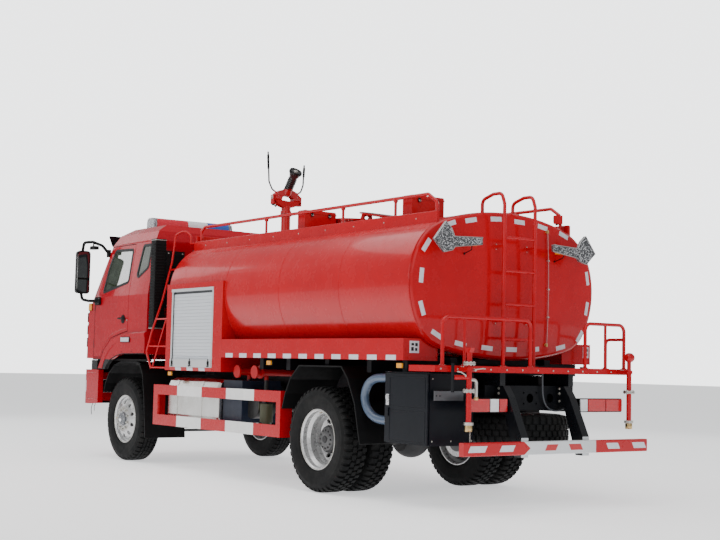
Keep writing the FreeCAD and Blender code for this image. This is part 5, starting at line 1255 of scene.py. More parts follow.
g = Geo()
for s in (1, -1):
    for k in range(11):
        x = 1.705 - 0.2895 * k
        plate(g, (x, s * 1.2, 1.334), (0, s, 0), (1, 0, 0), 0.150, 0.046)
for s in (1, -1):
    py, pw = (1.074, 0.110) if s > 0 else (-1.135, 0.080)
    plate(g.use(0), (-1.372, py, 1.432), (-1, 0, 0), (0, 1, 0), pw, 0.110, 0.0024)
    # dark wordless blocks on the plates
    for dx, dz, w, h in ((-0.024, 0.022, 0.030, 0.030), (0.020, 0.024, 0.030, 0.022), (-0.022, -0.022, 0.026, 0.026), (0.022, -0.018, 0.030, 0.034)):
        plate(g.use(1), (-1.3739, py + dx * pw / 0.110, 1.432 + dz), (-1, 0, 0), (0, 1, 0), w * pw / 0.110, h, 0.0008, 0.0002)
make('skirt_reflectors_and_blank_plates', g, 'chassis', ['film', 'gloss_black'], bevel=0.0004, seg=1)

# chequer strip under the shutters
g = Geo()
for s in (1, -1):
    for k in range(7):
        x0 = 2.09 + 0.139 * k
        sk = 0.018
        pts = [(x0, 1.152), (x0 + 0.139, 1.152), (x0 + 0.139 + sk, 1.189), (x0 + sk, 1.189)]
        g.use(k % 2).prism(pts, 'y', s * 1.1996, s * 1.2014)
make('chequer_strip', g, 'chassis', ['film_red', 'film'])

# under-run bar fields
g = Geo()
for k, (a, b, sh) in enumerate(((1.103, 0.911, 0.03), (0.742, 0.584, 0.03), (-0.622, -0.778, -0.03), (-0.970, -1.138, -0.03))):
    g.use(0).prism([(a, 0.531), (b, 0.531), (b - sh, 0.586), (a - sh, 0.586)], 'x', -2.16622, -2.1640)
for a, b, sh in ((0.196, 0.059, 0.03), (-0.131, -0.286, -0.03)):
    g.use(1).prism([(a, 0.531), (b, 0.531), (b - sh, 0.586), (a - sh, 0.586)], 'x', -2.16622, -2.1640)
make('under_run_bar_films', g, 'chassis', ['film', 'film_red'])
g = Geo()
for y in (385, -385):
    for dz in (0.515, 0.555, 0.595):
        for dy in (-0.055, 0.055):
            g.use(0).bolt((-2.1652, y / 1000 + dy, dz - 0.0), (-1, 0, 0), 0.0075, 0.0008, False)
    for z in (0.96, 1.03, 1.075):
        for sg in (1, -1):
            g.use(0).bolt((-1.80, y / 1000 + sg * 0.042, z), (0, sg, 0), 0.010, 0.009)
make('under_run_bar_bolts', g, 'chassis', 'zinc')

# head seam bead, level pipe with its fittings and clamps
g = Geo()
x_rim = -1.404
g.use(0).tube([(x_rim, y, z) for y, z in tank_outline(0.0005)], 0.0045, 6, closed=True)
for xs in (-0.30, 0.78, 1.868):
    g.use(0).tube([(xs, y, z) for y, z in tank_outline(0.0002)], 0.0028, 6, closed=True)
make('tank_weld_seams', g, 'chassis', 'red')
g = Geo()
lp = [(head_x(-0.48, z) - 0.019, -0.48, z) for z in (1.49, 1.75, 2.03, 2.3, 2.594)]
g.use(0).tube(lp, 0.0050, 12)
for z in (1.49, 2.594):
    x = head_x(-0.48, z)
    g.use(1).cyl((x + 0.002, -0.48, z), (-1, 0, 0), 0.014, 0.008, 20)
    g.use(1).cyl((x - 0.004, -0.48, z), (-1, 0, 0), 0.010, 0.024, 6)
    g.use(1).cyl((x - 0.019, -0.48, z - 0.016), (0, 0, 1), 0.0105, 0.032, 12)
for z in (1.76, 2.03, 2.31):
    x = head_x(-0.48, z)
    g.use(2).box(x - 0.028, x + 0.002, -0.490, -0.470, z - 0.006, z + 0.006)
make('level_pipe', g, 'chassis', ['level', 'brass', 'zinc'], bevel=0.0008, seg=1)

# tail, marker and head lamps
g = Geo()
for ya, yb, inner in ((0.442, 0.904, 0), (-1.054, -0.480, 1)):
    g.use(0).box(-1.9275, -1.885, ya, yb, 0.860, 0.990)
    g.use(0).box(-1.9300, -1.9270, ya + 0.004, yb - 0.004, 0.864, 0.986)
    L = yb - ya
    segs = [(0.0, 0.22, 1), (0.22, 0.46, 3), (0.46, 1.0, 2)] if inner == 0 else [(0.0, 0.40, 1), (0.40, 0.82, 2), (0.82, 1.0, 3)]
    for a, b, mt in segs:
        y0, y1 = ya + a * L + 0.006, ya + b * L - 0.006
        g.use(mt).box(-1.9396, -1.9295, y0, y1, 0.8685, 0.9815)
        n = 7
        for i in range(n):
            yy = y0 + (i + 0.5) * (y1 - y0) / n
            g.use(mt).box(-1.9400, -1.9390, yy - 0.004, yy + 0.004, 0.872, 0.978)
    for y in (ya + 0.004, yb - 0.004):
        g.use(5).cyl((-1.9398, y, 0.925), (1, 0, 0), 0.0030, 0.006, 10)
for x, z in ((3.081, 1.112), (0.903, 1.262), (-1.307, 1.262)):
    for s in (1, -1):
        g.use(0).box(x - 0.045, x + 0.045, s * 1.165, s * 1.179, z - 0.028, z + 0.026)
        g.use(4).box(x - 0.038, x + 0.038, s * 1.1785, s * 1.196, z - 0.022, z + 0.020)
        for d in (-0.0415, 0.0415):
            g.use(5).cyl((x + d, s * 1.176, z), (0, s, 0), 0.0025, 0.005, 8)


def bump_x(y, inset=0.0):
    y = abs(y)
    if y <= 1.060:
        return 5.620 - inset - (4.942 - math.sqrt(4.942 ** 2 - y * y))
    return 5.505 - inset - (y - 1.060) * 0.42 - max(0.0, y - 1.10) ** 2 * 3.0


for s in (1, -1):
    ys = [0.762 + 0.356 * k / 10 for k in range(11)]
    outer_ = [(bump_x(y, 0.012), s * y) for y in ys]
    inner_ = [(bump_x(y, 0.055), s * y) for y in reversed(ys)]
    g.use(0).prism(outer_[:] + inner_[:], 'z', 0.822, 0.829)
    g.use(0).prism(outer_[:] + inner_[:], 'z', 0.981, 0.988)
    back = [(bump_x(y, 0.048), s * y) for y in ys] + [(bump_x(y, 0.060), s * y) for y in reversed(ys)]
    g.use(0).prism(back, 'z', 0.822, 0.988)
    cov = [(bump_x(y, 0.0065), s * y) for y in ys] + [(bump_x(y, 0.0105), s * y) for y in reversed(ys)]
    g.use(6).prism(cov, 'z', 0.823, 0.987)
    for y, r in ((0.835, 0.052), (0.955, 0.052), (1.062, 0.034)):
        x = bump_x(y, 0.046)
        g.use(5).lathe([(0.0, 0.0), (r * 0.45, 0.002), (r * 0.8, 0.012), (r, 0.030), (r + 0.003, 0.030), (r + 0.003, 0.0)], (x, s * y, 0.905), (1, 0, 0), 28, closed=False)
        g.use(6).ball((x + 0.012, s * y, 0.905), r * 0.42, 16)
    for k in range(9):
        y = 0.785 + 0.035 * k
        g.use(3).box(bump_x(y, 0.040), bump_x(y, 0.022), s * y - 0.010, s * y + 0.010, 0.832, 0.842)
lamps = make('lamps_with_lenses', g, 'chassis', ['black', 'lens_red', 'lens_red', 'lens_white', 'lens_amber', 'chrome', 'dome_clear'], bevel=0.0022, seg=2)
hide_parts('lamps')

# spray pipes
g = Geo()


def flange(g, mat, c, d, r, h, n=8, bolts=1):
    """two plates with a gasket between them and bolts round the rim"""
    c, d = Vector(c), Vector(d).normalized()
    dd, u, w = Geo.basis(d)
    g.use(mat).lathe([(0.0, 0), (r, 0), (r, h * 0.44), (0.0, h * 0.44)], c, d, 36)
    g.use(2).lathe([(0.0, h * 0.44), (r * 0.93, h * 0.44), (r * 0.93, h * 0.56), (0.0, h * 0.56)], c, d, 36)
    g.use(mat).lathe([(0.0, h * 0.56), (r, h * 0.56), (r, h), (0.0, h)], c, d, 36)
    for i in range(n):
        a = 2 * math.pi * (i + 0.5) / n
        p = c + (u * math.cos(a) + w * math.sin(a)) * r * 0.78
        g.use(bolts).cyl(p + d * h, d, 0.0068, 0.007, 6)
        g.use(bolts).cyl(p, -d, 0.0068, 0.006, 6)


def spray_visual(y, ztop):
    c = (-1.990, y)
    g.use(0).cyl((c[0], c[1], 0.770), (0, 0, 1), 0.024, ztop - 0.770, 28)
    g.use(3).lathe([(0.021, 0.0), (0.031, 0.0), (0.034, 0.006), (0.034, 0.046), (0.030, 0.056), (0.021, 0.056)], (c[0], c[1], 0.700), (0, 0, 1), 30)
    g.use(3).lathe([(0.0, 0.004), (0.022, 0.004), (0.022, 0.008), (0.0, 0.008)], (c[0], c[1], 0.700), (0, 0, 1), 24)
    g.use(1).lathe([(0.024, 0.0), (0.041, 0.0), (0.044, 0.003), (0.044, 0.023), (0.041, 0.026), (0.024, 0.026)], (c[0], c[1], 0.755), (0, 0, 1), 8)
    for z in (1.041,):
        flange(g, 1, (c[0], c[1], z), (0, 0, 1), 0.056, 0.024)
    g.use(0).box(-1.990, -1.8665, y - 0.020, y + 0.020, 1.228, 1.260)
    g.use(0).lathe([(0.0242, 0.0), (0.033, 0.0), (0.033, 0.034), (0.0242, 0.034)], (c[0], c[1], 1.227), (0, 0, 1), 30)
    for dy in (-0.013, 0.013):
        g.use(1).bolt((-1.900, y + dy * 0.9, 1.260), (0, 0, 1), 0.006, 0.006)


spray_visual(0.950, 1.392)
flange(g, 1, (-1.990, 0.950, 1.280), (0, 0, 1), 0.056, 0.024)
g.use(0).tube([(-1.990, 0.950, 1.170), (-1.990, 1.130, 1.170)], 0.0200, 22)
g.use(4).box(-2.004, -1.976, 1.130, 1.146, 1.040, 1.290)
g.use(1).tube(fillet([(-1.990, 0.950, 1.150), (-1.990, 0.867, 1.150), (-1.990, 0.867, 1.000)], 0.040), 0.0155, 16)
g.use(3).lathe([(0.0, 0.0), (0.019, 0.0), (0.021, 0.004), (0.021, 0.022), (0.017, 0.028), (0.0, 0.028)], (-1.990, 0.867, 1.000), (0, 0, -1), 22)
g.use(0).prism([(-2.016, 1.388), (-1.964, 1.388), (-1.946, 1.428), (-1.950, 1.431), (-2.030, 1.431), (-2.034, 1.428)], 'y', 0.926, 0.974)
for k in range(5):
    g.use(2).box(-2.026 + 0.016 * k, -2.020 + 0.016 * k, 0.934, 0.966, 1.4305, 1.4316)
# silver crank levers with their stems
g.use(1).tube(fillet([(-1.990, 1.010, 1.170), (-2.022, 1.010, 1.185), (-2.030, 1.075, 1.215), (-2.030, 1.120, 1.220)], 0.012), 0.0060, 10)
g.use(1).tube(fillet([(-1.990, 0.920, 1.236), (-2.036, 0.915, 1.240), (-2.042, 0.840, 1.250), (-2.040, 0.806, 1.248)], 0.012), 0.0055, 10)
g.use(1).cyl((-1.990, 0.915, 1.236), (-1, 0, 0), 0.012, 0.046, 8)
# small chain under the coupling
for k in range(7):
    z = 0.694 - 0.0125 * k
    cx, cy = -2.012, 0.950
    d = (1, 0, 0) if k % 2 else (0, 1, 0)
    g.use(1).torus((cx, cy, z), d, 0.0065, 0.0016, 14, 6)
spray_visual(-1.090, 1.252)
g.use(0).ball((-1.990, -1.090, 1.250), 0.0262, 22)
g.use(0).cyl((-1.990, -1.090, 1.250), (0, 0, 1), 0.0200, 0.100, 24)
g.use(0).lathe([(0.0, -0.045), (0.020, -0.045), (0.036, -0.036), (0.044, -0.020), (0.046, 0.0), (0.044, 0.020), (0.034, 0.034), (0.026, 0.045), (0.0, 0.045)], (-1.990, -1.095, 1.385), (0, 1, 0), 32, closed=False)
g.use(1).lathe([(0.0, 0.0), (0.018, 0.0), (0.018, 0.005), (0.010, 0.007), (0.0, 0.007)], (-1.990, -1.1385, 1.385), (0, -1, 0), 20, closed=False)
for k in range(12):
    a = 2 * math.pi * k / 12
    e = Vector((math.cos(a), 0, math.sin(a)))
    g.use(0).obox(Vector((-1.990, -1.095, 1.385)) + e * 0.044, e, (0, 1, 0), e.cross(Vector((0, 1, 0))), 0.0018, 0.020, 0.0035)
sp = make('spray_pipes_detailed', g, 'chassis', ['red', 'zinc', 'seal', 'brass', 'frame'], bevel=0.0010, seg=1)
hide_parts('spray_pipes')

# platform tread and rail feet
g = Geo()
row = 0
x = -1.850
while x < -1.515:
    y = -1.215 + (0.0225 if row % 2 else 0.0)
    while y < 1.215:
        a = 0.55 if row % 2 else -0.55
        ca, sa = math.cos(a), math.sin(a)
        pts = [(x + dx * ca - dy * sa, y + dx * sa + dy * ca) for dx, dy in ((-0.013, 0), (0, -0.0042), (0.013, 0), (0, 0.0042))]
        if not (-1.64 < x < -1.56 and (abs(y - 0.2) < 0.03 or abs(y + 0.195) < 0.03)):
            g.prism(pts, 'z', 1.2695, 1.2716)
        y += 0.045
    x += 0.024
    row += 1
make('platform_tread', g, 'chassis', 'red')
g = Geo()
for y in (1.133, 0.88, 0.414, 0.079, -0.640, -0.917, -1.180):
    g.use(0).lathe([(0.0150, 0.0), (0.036, 0.0), (0.036, 0.005), (0.0190, 0.006), (0.0190, 0.015), (0.0150, 0.015)], (-1.840, y, 1.270), (0, 0, 1), 24)
    for sg in (1, -1):
        g.use(1).bolt((-1.840, y + sg * 0.0275, 1.2752), (0, 0, 1), 0.0048, 0.005, False)
g.use(0).lathe([(0.0155, 0.0), (0.034, 0.0), (0.034, 0.005), (0.0190, 0.006), (0.0155, 0.006)], (-1.600, -1.180, 1.270), (0, 0, 1), 24)
# rear ladder feet, bolts of its stays, sleeves on the rungs
for y in (0.200, -0.195):
    g.use(0).box(-1.634, -1.566, y - 0.030, y + 0.030, 1.2705, 1.278)
    for z in (1.700, 2.400):
        x = head_x(y, z)
        g.use(0).cyl((x - 0.004, y, z), (1, 0, 0), 0.034, 0.008, 24)
        for dz in (-0.023, 0.023):
            g.use(1).bolt((x - 0.004, y, z + dz), (-1, 0, 0), 0.0048, 0.005, False)
for z in (1.526, 1.854, 2.168, 2.484):
    for k in range(13):
        y = -0.150 + 0.0255 * k
        g.use(0).torus((-1.600, y, z), (0, 1, 0), 0.0140, 0.0013, 16, 5)
    for y in (0.200, -0.195):
        g.use(0).torus((-1.600, y - (0.017 if y > 0 else -0.017), z), (0, 1, 0), 0.0150, 0.0030, 18, 6)
# end plate bolts along the platform's rear edge
for k in range(13):
    y = -1.17 + 0.195 * k
    g.use(1).bolt((-1.8660, y, 1.242), (-1, 0, 0), 0.0062, 0.006)
make('platform_feet_and_bolts', g, 'chassis', ['red', 'zinc'], bevel=0.0006, seg=1)

# coaming lip, deck box lids with hinges and catches, handrail feet
g = Geo()
for s in (1, -1):
    g.use(0).tube(fillet([(-1.400, s * 0.850, 2.690), (3.168, s * 0.850, 2.690)], 0.01), 0.0080, 10)
g.use(0).tube([(3.168, -0.850, 2.765), (3.168, 0.850, 2.765)], 0.0070, 10)
for x0, x1, y0, y1 in ((1.030, 1.170, 0.290, 0.700), (-0.770, -0.625, 0.250, 0.655)):
    g.use(0).box(x0 - 0.005, x1 + 0.005, y0 - 0.005, y1 + 0.005, 2.886, 2.899)
    for k in range(2):
        yy = y0 + (y1 - y0) * (0.22 + 0.56 * k)
        g.use(2).cyl((x1 + 0.009, yy - 0.030, 2.893), (0, 1, 0), 0.0065, 0.060, 12)
        g.use(2).box(x0 - 0.013, x0 - 0.004, yy - 0.014, yy + 0.014, 2.855, 2.897)
        g.use(1).tube(fillet([(x0 - 0.012, yy - 0.010, 2.880), (x0 - 0.020, yy - 0.010, 2.862), (x0 - 0.020, yy + 0.010, 2.862), (x0 - 0.012, yy + 0.010, 2.880)], 0.004), 0.0020, 6)
    g.use(0).box(x0 + 0.018, x1 - 0.018, y0 + 0.02, y1 - 0.02, 2.9245, 2.9262)
# black clips at the rear box and the right end post
for cx, cy, cz in ((-0.625, 0.262, 2.905), (-1.345, -0.715, 2.775)):
    g.use(2).box(cx - 0.012, cx + 0.016, cy - 0.028, cy + 0.012, cz - 0.060, cz + 0.008)
    g.use(2).tube(fillet([(cx + 0.004, cy - 0.020, cz - 0.005), (cx + 0.004, cy - 0.050, cz - 0.020), (cx + 0.004, cy - 0.048, cz - 0.070), (cx + 0.004, cy - 0.014, cz - 0.080)], 0.016), 0.0075, 10)
for s in (1, -1):
    for x in (1.650, 0.175, -0.700):
        g.use(0).tube(fillet([(x, s * 0.800, 2.640), (x, s * 0.800, 2.684)], 0.01), 0.0195, 16)
        g.use(0).lathe([(0.0145, 0.0), (0.0190, 0.0), (0.0230, 0.012), (0.0230, 0.024), (0.0190, 0.036), (0.0145, 0.036)], (x, s * 0.800, 2.836), (0, 0, 1), 20)
    for k in range(9):
        x = -1.1 + 0.5 * k
        g.use(1).bolt((x, s * 0.8622, 2.640), (0, s, 0), 0.0055, 0.005)
make('deck_fittings', g, 'chassis', ['red', 'zinc', 'black'], bevel=0.0012, seg=1)

# manhole: studs on the flange, seal, small triangular ribs round it; cover: rim, seal ring and handle in the laid-back
# place
g = Geo()
g.use(2).lathe([(0.243, 0.0), (0.262, 0.0), (0.262, 0.0030), (0.243, 0.0030)], (1.170, 0, 2.870), (0, 0, 1), 64)
for k in range(14):
    a = 2 * math.pi * (k + 0.5) / 14
    if abs(math.cos(a) + 1) < 0.04:
        continue
    g.use(1).bolt((1.170 + 0.2665 * math.cos(a), 0.2665 * math.sin(a), 2.850), (0, 0, -1), 0.0048, 0.006, False)
    g.use(0).prism([(1.170 + 0.2505 * math.cos(a) - 0.0, 0.2505 * math.sin(a)), (1.170 + 0.270 * math.cos(a - 0.012), 0.270 * math.sin(a - 0.012)), (1.170 + 0.270 * math.cos(a + 0.012), 0.270 * math.sin(a + 0.012))], 'z', 2.790, 2.8505)
make('manhole_studs_and_seal', g, 'chassis', ['red', 'zinc', 'seal'])


def laid(x, y, z):
    dx, dz = x - 0.852, z - 2.905
    return (0.852 - 0.98481 * dx + 0.17365 * dz, y, 2.905 - 0.17365 * dx - 0.98481 * dz)


g = Geo()
up = Vector(laid(1.17, 0, 3.9)) - Vector(laid(1.17, 0, 2.9))
g.use(0).lathe([(0.2605, 0.0), (0.2705, 0.0), (0.2705, 0.0155), (0.2605, 0.0155)], laid(1.170, 0, 2.8705), up, 64)
g.use(1).lathe([(0.238, 0.0), (0.256, 0.0), (0.254, 0.0045), (0.240, 0.0045)], laid(1.170, 0, 2.872), -up, 64)
g.use(2).tube(fillet([laid(1.30, -0.06, 2.883), laid(1.30, -0.06, 2.905), laid(1.30, 0.06, 2.905), laid(1.30, 0.06, 2.883)], 0.012), 0.0055, 10)
for k in range(8):
    a = 2 * math.pi * k / 8
    g.use(2).bolt(laid(1.170 + 0.048 * math.cos(a), 0.048 * math.sin(a), 2.898), up, 0.0045, 0.004, False)
make('manhole_cover_rim', g, 'manhole_cover', ['red', 'seal', 'zinc'])

# monitor
g = Geo()
for k in range(8):
    a = 2 * math.pi * k / 8
    g.use(1).nut((2.5 + 0.084 * math.cos(a), 0.084 * math.sin(a), 2.758), (0, 0, 1), 0.009, 0.010, 0.006)
g.use(0).lathe([(0.0562, 0), (0.064, 0.0), (0.064, 0.012), (0.0562, 0.018)], (2.5, 0, 2.758), (0, 0, 1), 40)
for k in range(6):
    a = 2 * math.pi * (k + 0.5) / 6
    g.use(1).bolt((2.5 + 0.0700 * math.cos(a), 0.0700 * math.sin(a), 3.042), (math.cos(a), math.sin(a), 0), 0.005, 0.005, False)
make('monitor_base_fittings', g, 'chassis', ['red', 'zinc'])
g = Geo()
for sg in (1, -1):
    g.use(1).lathe([(0.0146, 0.0), (0.023, 0.0), (0.023, 0.003), (0.018, 0.006), (0.0146, 0.006)], (2.5, sg * 0.2002, 3.244), (0, sg, 0), 26)
    for k in range(4):
        a = 2 * math.pi * (k + 0.5) / 4
        g.use(1).bolt((2.5 + 0.028 * math.cos(a), sg * 0.2002, 3.240 + 0.024 * math.sin(a)), (0, sg, 0), 0.0036, 0.003, False)
# locking lever at the left
g.use(0).cyl((2.5, 0.168, 3.158), (0, 1, 0), 0.013, 0.030, 18)
g.use(0).tube(fillet([(2.5, 0.196, 3.158), (2.462, 0.210, 3.150), (2.400, 0.214, 3.128)], 0.02), [0.0065] * 9, 10)
g.use(0).ball((2.396, 0.214, 3.126), 0.0125, 14)
make('monitor_swivel_fittings', g, 'monitor_swivel', ['black', 'zinc'])
g = Geo()
t38 = math.radians(38)
nd = Vector((-math.sin(t38), 0, math.cos(t38)))
n0 = Vector((2.492, 0, 3.310))
for t in (0.075, 0.100, 0.125, 0.150, 0.175, 0.200):
    g.use(0).lathe([(0.0498, -0.004), (0.0548, -0.003), (0.0548, 0.003), (0.0498, 0.004)], n0 + nd * t, nd, 32)
for k in range(20):
    a = 2 * math.pi * k / 20
    d, u, w = Geo.basis(nd)
    e = u * math.cos(a) + w * math.sin(a)
    g.use(0).obox(n0 + nd * 0.295 + e * 0.0765, e, nd, e.cross(nd), 0.0030, 0.0105, 0.0050)
g.use(0).lathe([(0.000, 0.0), (0.052, 0.0), (0.066, 0.010), (0.072, 0.0125), (0.076, 0.0125), (0.076, 0.003), (0.0, 0.003)], n0 + nd * 0.303, nd, 40, closed=False)
g.use(1).lathe([(0.0, 0.0), (0.026, 0.0), (0.022, 0.016), (0.0, 0.018)], n0 + nd * 0.303, nd, 26, closed=False)
for a, b in (((2.512, 0.248, 3.460), (2.5195, 0.2612, 3.752)), ((2.511, -0.2475, 3.452), (2.5195, -0.2612, 3.645))):
    a, b = Vector(a), Vector(b)
    n_ = 9
    pts = [a.lerp(b, 0.42 + 0.58 * k / n_) for k in range(n_ + 1)]
    g.use(0).tube(pts, [0.0135 + 0.0016 * (k % 2) for k in range(n_ + 1)], 16)
for sg in (1, -1):
    g.use(1).nut((2.5, sg * 0.2062, 3.244), (0, sg, 0), 0.011, 0.006, 0)
    for z in (3.262, 3.290):
        g.use(1).bolt((2.458, sg * 0.135, z), (-1, 0, 0), 0.0048, 0.005, False)
make('monitor_nozzle_and_grips', g, 'monitor_barrel', ['black', 'zinc'], bevel=0.0008, seg=1)

# arrow boards: rim, diodes and wiring gland
g = Geo()
rnd = random.Random(7)
AL = [(1.080, 2.402), (0.945, 2.570), (0.878, 2.512), (0.840, 2.440), (0.503, 2.455), (0.506, 2.388), (0.835, 2.346), (0.862, 2.315), (0.960, 2.290)]


def inside(p, poly):
    c = False
    j = len(poly) - 1
    for i in range(len(poly)):
        if (poly[i][1] > p[1]) != (poly[j][1] > p[1]) and p[0] < (poly[j][0] - poly[i][0]) * (p[1] - poly[i][1]) / (poly[j][1] - poly[i][1]) + poly[i][0]:
            c = not c
        j = i
    return c


for poly in (AL, [(0.100 - y, z) for y, z in AL]):
    g.use(1).tube([(-1.6405, y, z) for y, z in poly], 0.0040, 6, closed=True)
    y0, y1 = min(p[0] for p in poly), max(p[0] for p in poly)
    yy = y0 + 0.012
    r_ = 0
    while yy < y1:
        zz = 2.296 + (0.007 if r_ % 2 else 0)
        while zz < 2.57:
            q = (yy, zz)
            if all(inside((yy + a, zz + b), poly) for a, b in ((0.008, 0), (-0.008, 0), (0, 0.008), (0, -0.008))):
                g.use(rnd.choice((0, 2, 2, 3))).ball((-1.6402, yy, zz), 0.0044, 6, (0.8, 1, 1))
            zz += 0.0145
        yy += 0.0128
        r_ += 1
make('arrow_board_diodes_and_rims', g, 'chassis', ['lens_white', 'steel', 'black', 'board'])
g = Geo()
for y in (0.60, -0.60):
    g.use(0).box(-1.606, -1.520, y - 0.055, y + 0.055, 2.375, 2.4045)
    g.use(1).tube(fillet([(-1.600, y, 2.385), (-1.585, y * 0.98, 2.340), (head_x(y, 2.31) - 0.004, y * 0.97, 2.310)], 0.02), 0.0050, 8)
    g.use(1).cyl((head_x(y, 2.31) + 0.002, y * 0.97, 2.310), (-1, 0, 0), 0.010, 0.010, 12)
make('arrow_lamp_boxes', g, 'chassis', ['lens_amber', 'black'], bevel=0.002, seg=2)

# tool box: door seams, hinges, two-part lock, drip rail; bracket bolts
g = Geo()
g.use(0).box(-1.692, -1.078, 1.172, 1.1745, 0.566, 0.572)
g.use(0).box(-1.692, -1.078, 1.172, 1.1745, 1.183, 1.189)
for z0 in (0.585, 0.89):
    for x0, x1 in ((-1.660, -1.150),):
        g.use(0).tube(fillet([(x0, 1.1724, z0), (x1, 1.1724, z0), (x1, 1.1724, z0 + 0.27), (x0, 1.1724, z0 + 0.27), (x0, 1.1724, z0)], 0.02), 0.0030, 6)
g.use(1).box(-1.141, -1.099, 1.1715, 1.177, 0.900, 1.000)
g.use(1).box(-1.136, -1.104, 1.1765, 1.186, 0.955, 0.990)
g.use(1).box(-1.134, -1.106, 1.1765, 1.182, 0.908, 0.945)
g.use(1).cyl((-1.120, 1.182, 0.926), (0, 1, 0), 0.0075, 0.004, 16)
make('tool_box_door_fittings', g, 'tool_box_door', ['navy', 'chrome'], bevel=0.0012, seg=2)
g = Geo()
g.use(0).box(-1.706, -1.064, 1.140, 1.168, 1.198, 1.204)
for x in (-1.640 + 0.03, -1.190 + 0.03):
    for z in (1.000, 1.078):
        g.use(1).bolt((x, 0.566, z), (0, -1, 0), 0.008, 0.007)
for y, z in ((0.66, 0.60), (0.66, 1.15), (0.90, 0.60), (0.90, 1.15), (1.12, 0.60), (1.12, 1.15)):
    g.use(1).bolt((-1.7000, y, z), (-1, 0, 0), 0.0055, 0.0045)
make('tool_box_fittings', g, 'chassis', ['navy', 'zinc'], bevel=0.0010, seg=1)

# shutters: catches, pull bar, side gaskets, small round heads along the frame
g = Geo()
for s in (1, -1):
    g.use(0).tube(fillet([(2.20, s * 1.1905, 1.3060), (2.94, s * 1.1905, 1.3060)], 0.01), 0.0065, 12)
    for x in (2.145, 2.570, 2.995):
        g.use(1).box(x - 0.020, x + 0.020, s * 1.2138, s * 1.2200, 1.222, 1.262)
        g.use(1).cyl((x, s * 1.216, 1.205), (0, 0, 1), 0.0055, 0.085, 10)
        g.use(1).tube(fillet([(x - 0.026, s * 1.217, 1.212), (x, s * 1.2225, 1.201), (x + 0.026, s * 1.217, 1.212)], 0.01), 0.0048, 8)
    g.use(2).box(2.1085, 2.1125, s * 1.1860, s * 1.1985, 1.285, 2.060)
    g.use(2).box(3.0275, 3.0315, s * 1.1860, s * 1.1985, 1.285, 2.060)
    for k in range(6):
        z = 1.33 + 0.14 * k
        for x in (2.095, 3.045):
            g.use(0).cyl((x, s * 1.2030, z), (0, s, 0), 0.0050, 0.0022, 14)
    for k in range(5):
        x = 2.16 + 0.205 * k
        g.use(0).cyl((x, s * 1.2100, 2.082), (0, s, 0), 0.0050, 0.0022, 14)
make('shutter_fittings', g, 'chassis', ['curtain', 'black', 'seal'], bevel=0.0008, seg=1)


# ------------------------------------------------------------------------------------------------ cab
def side_y(z):
    """outer surface of the cab's flat side"""
    if z <= 1.86:
        return 1.200
    if z <= 2.07:
        return 1.200 - (z - 1.86) / 0.21 * 0.002
    return 1.198 - (z - 2.07) / 0.67 * 0.090


def offset_poly(p, d):
    n = len(p)
    area_ = sum(p[i][0] * p[(i + 1) % n][1] - p[(i + 1) % n][0] * p[i][1] for i in range(n)) / 2
    sg = 1 if area_ > 0 else -1
    out = []
    for i in range(n):
        a, b, c = Vector(p[i - 1]), Vector(p[i]), Vector(p[(i + 1) % n])
        d1, d2 = (b - a).normalized(), (c - b).normalized()
        n1, n2 = Vector((sg * d1.y, -sg * d1.x)), Vector((sg * d2.y, -sg * d2.x))
        k = 1 + n1.dot(n2)
        q = b + (n1 + n2) * (d / max(k, 0.2))
        out.append((q.x, q.y))
    return out


def soft_poly(p, r, k=4):
    """corners rounded"""
    n = len(p)
    out = []
    for i in range(n):
        a, b, c = Vector(p[i - 1]), Vector(p[i]), Vector(p[(i + 1) % n])
        u, v = (a - b), (c - b)
        t = min(r, 0.45 * u.length, 0.45 * v.length)
        s, e = b + u.normalized() * t, b + v.normalized() * t
        for j in range(k + 1):
            f = j / k
            q = s * (1 - f) ** 2 + b * 2 * f * (1 - f) + e * f * f
            out.append((q.x, q.y))
    return out


def on_side(poly, s, d):
    """points of an (x, z) outline on the cab side, d outside it"""
    return [(x, s * (side_y(z) + d), z) for x, z in poly]


def ring_strip(g, outer, inner, s, hi, lo):
    """raised band between two outlines with the same number of points"""
    n = len(outer)
    vs = on_side(outer, s, lo) + on_side(outer, s, hi * 0.7) + on_side(offset_poly(outer, -0.003), s, hi) + on_side(inner, s, hi) + on_side(inner, s, lo)
    fs = []
    for k in range(4):
        for i in range(n):
            j = (i + 1) % n
            q = (k * n + i, k * n + j, (k + 1) * n + j, (k + 1) * n + i)
            fs.append(q)
    g.add(vs, fs)


def pane(g, poly, s, d0, d1):
    n = len(poly)
    a, b = on_side(poly, s, d0), on_side(poly, s, d1)
    fs = [tuple(range(n)), tuple(reversed(range(n, 2 * n)))]
    fs += [(i, n + i, n + (i + 1) % n, (i + 1) % n) for i in range(n)]
    g.add(a + b, fs)


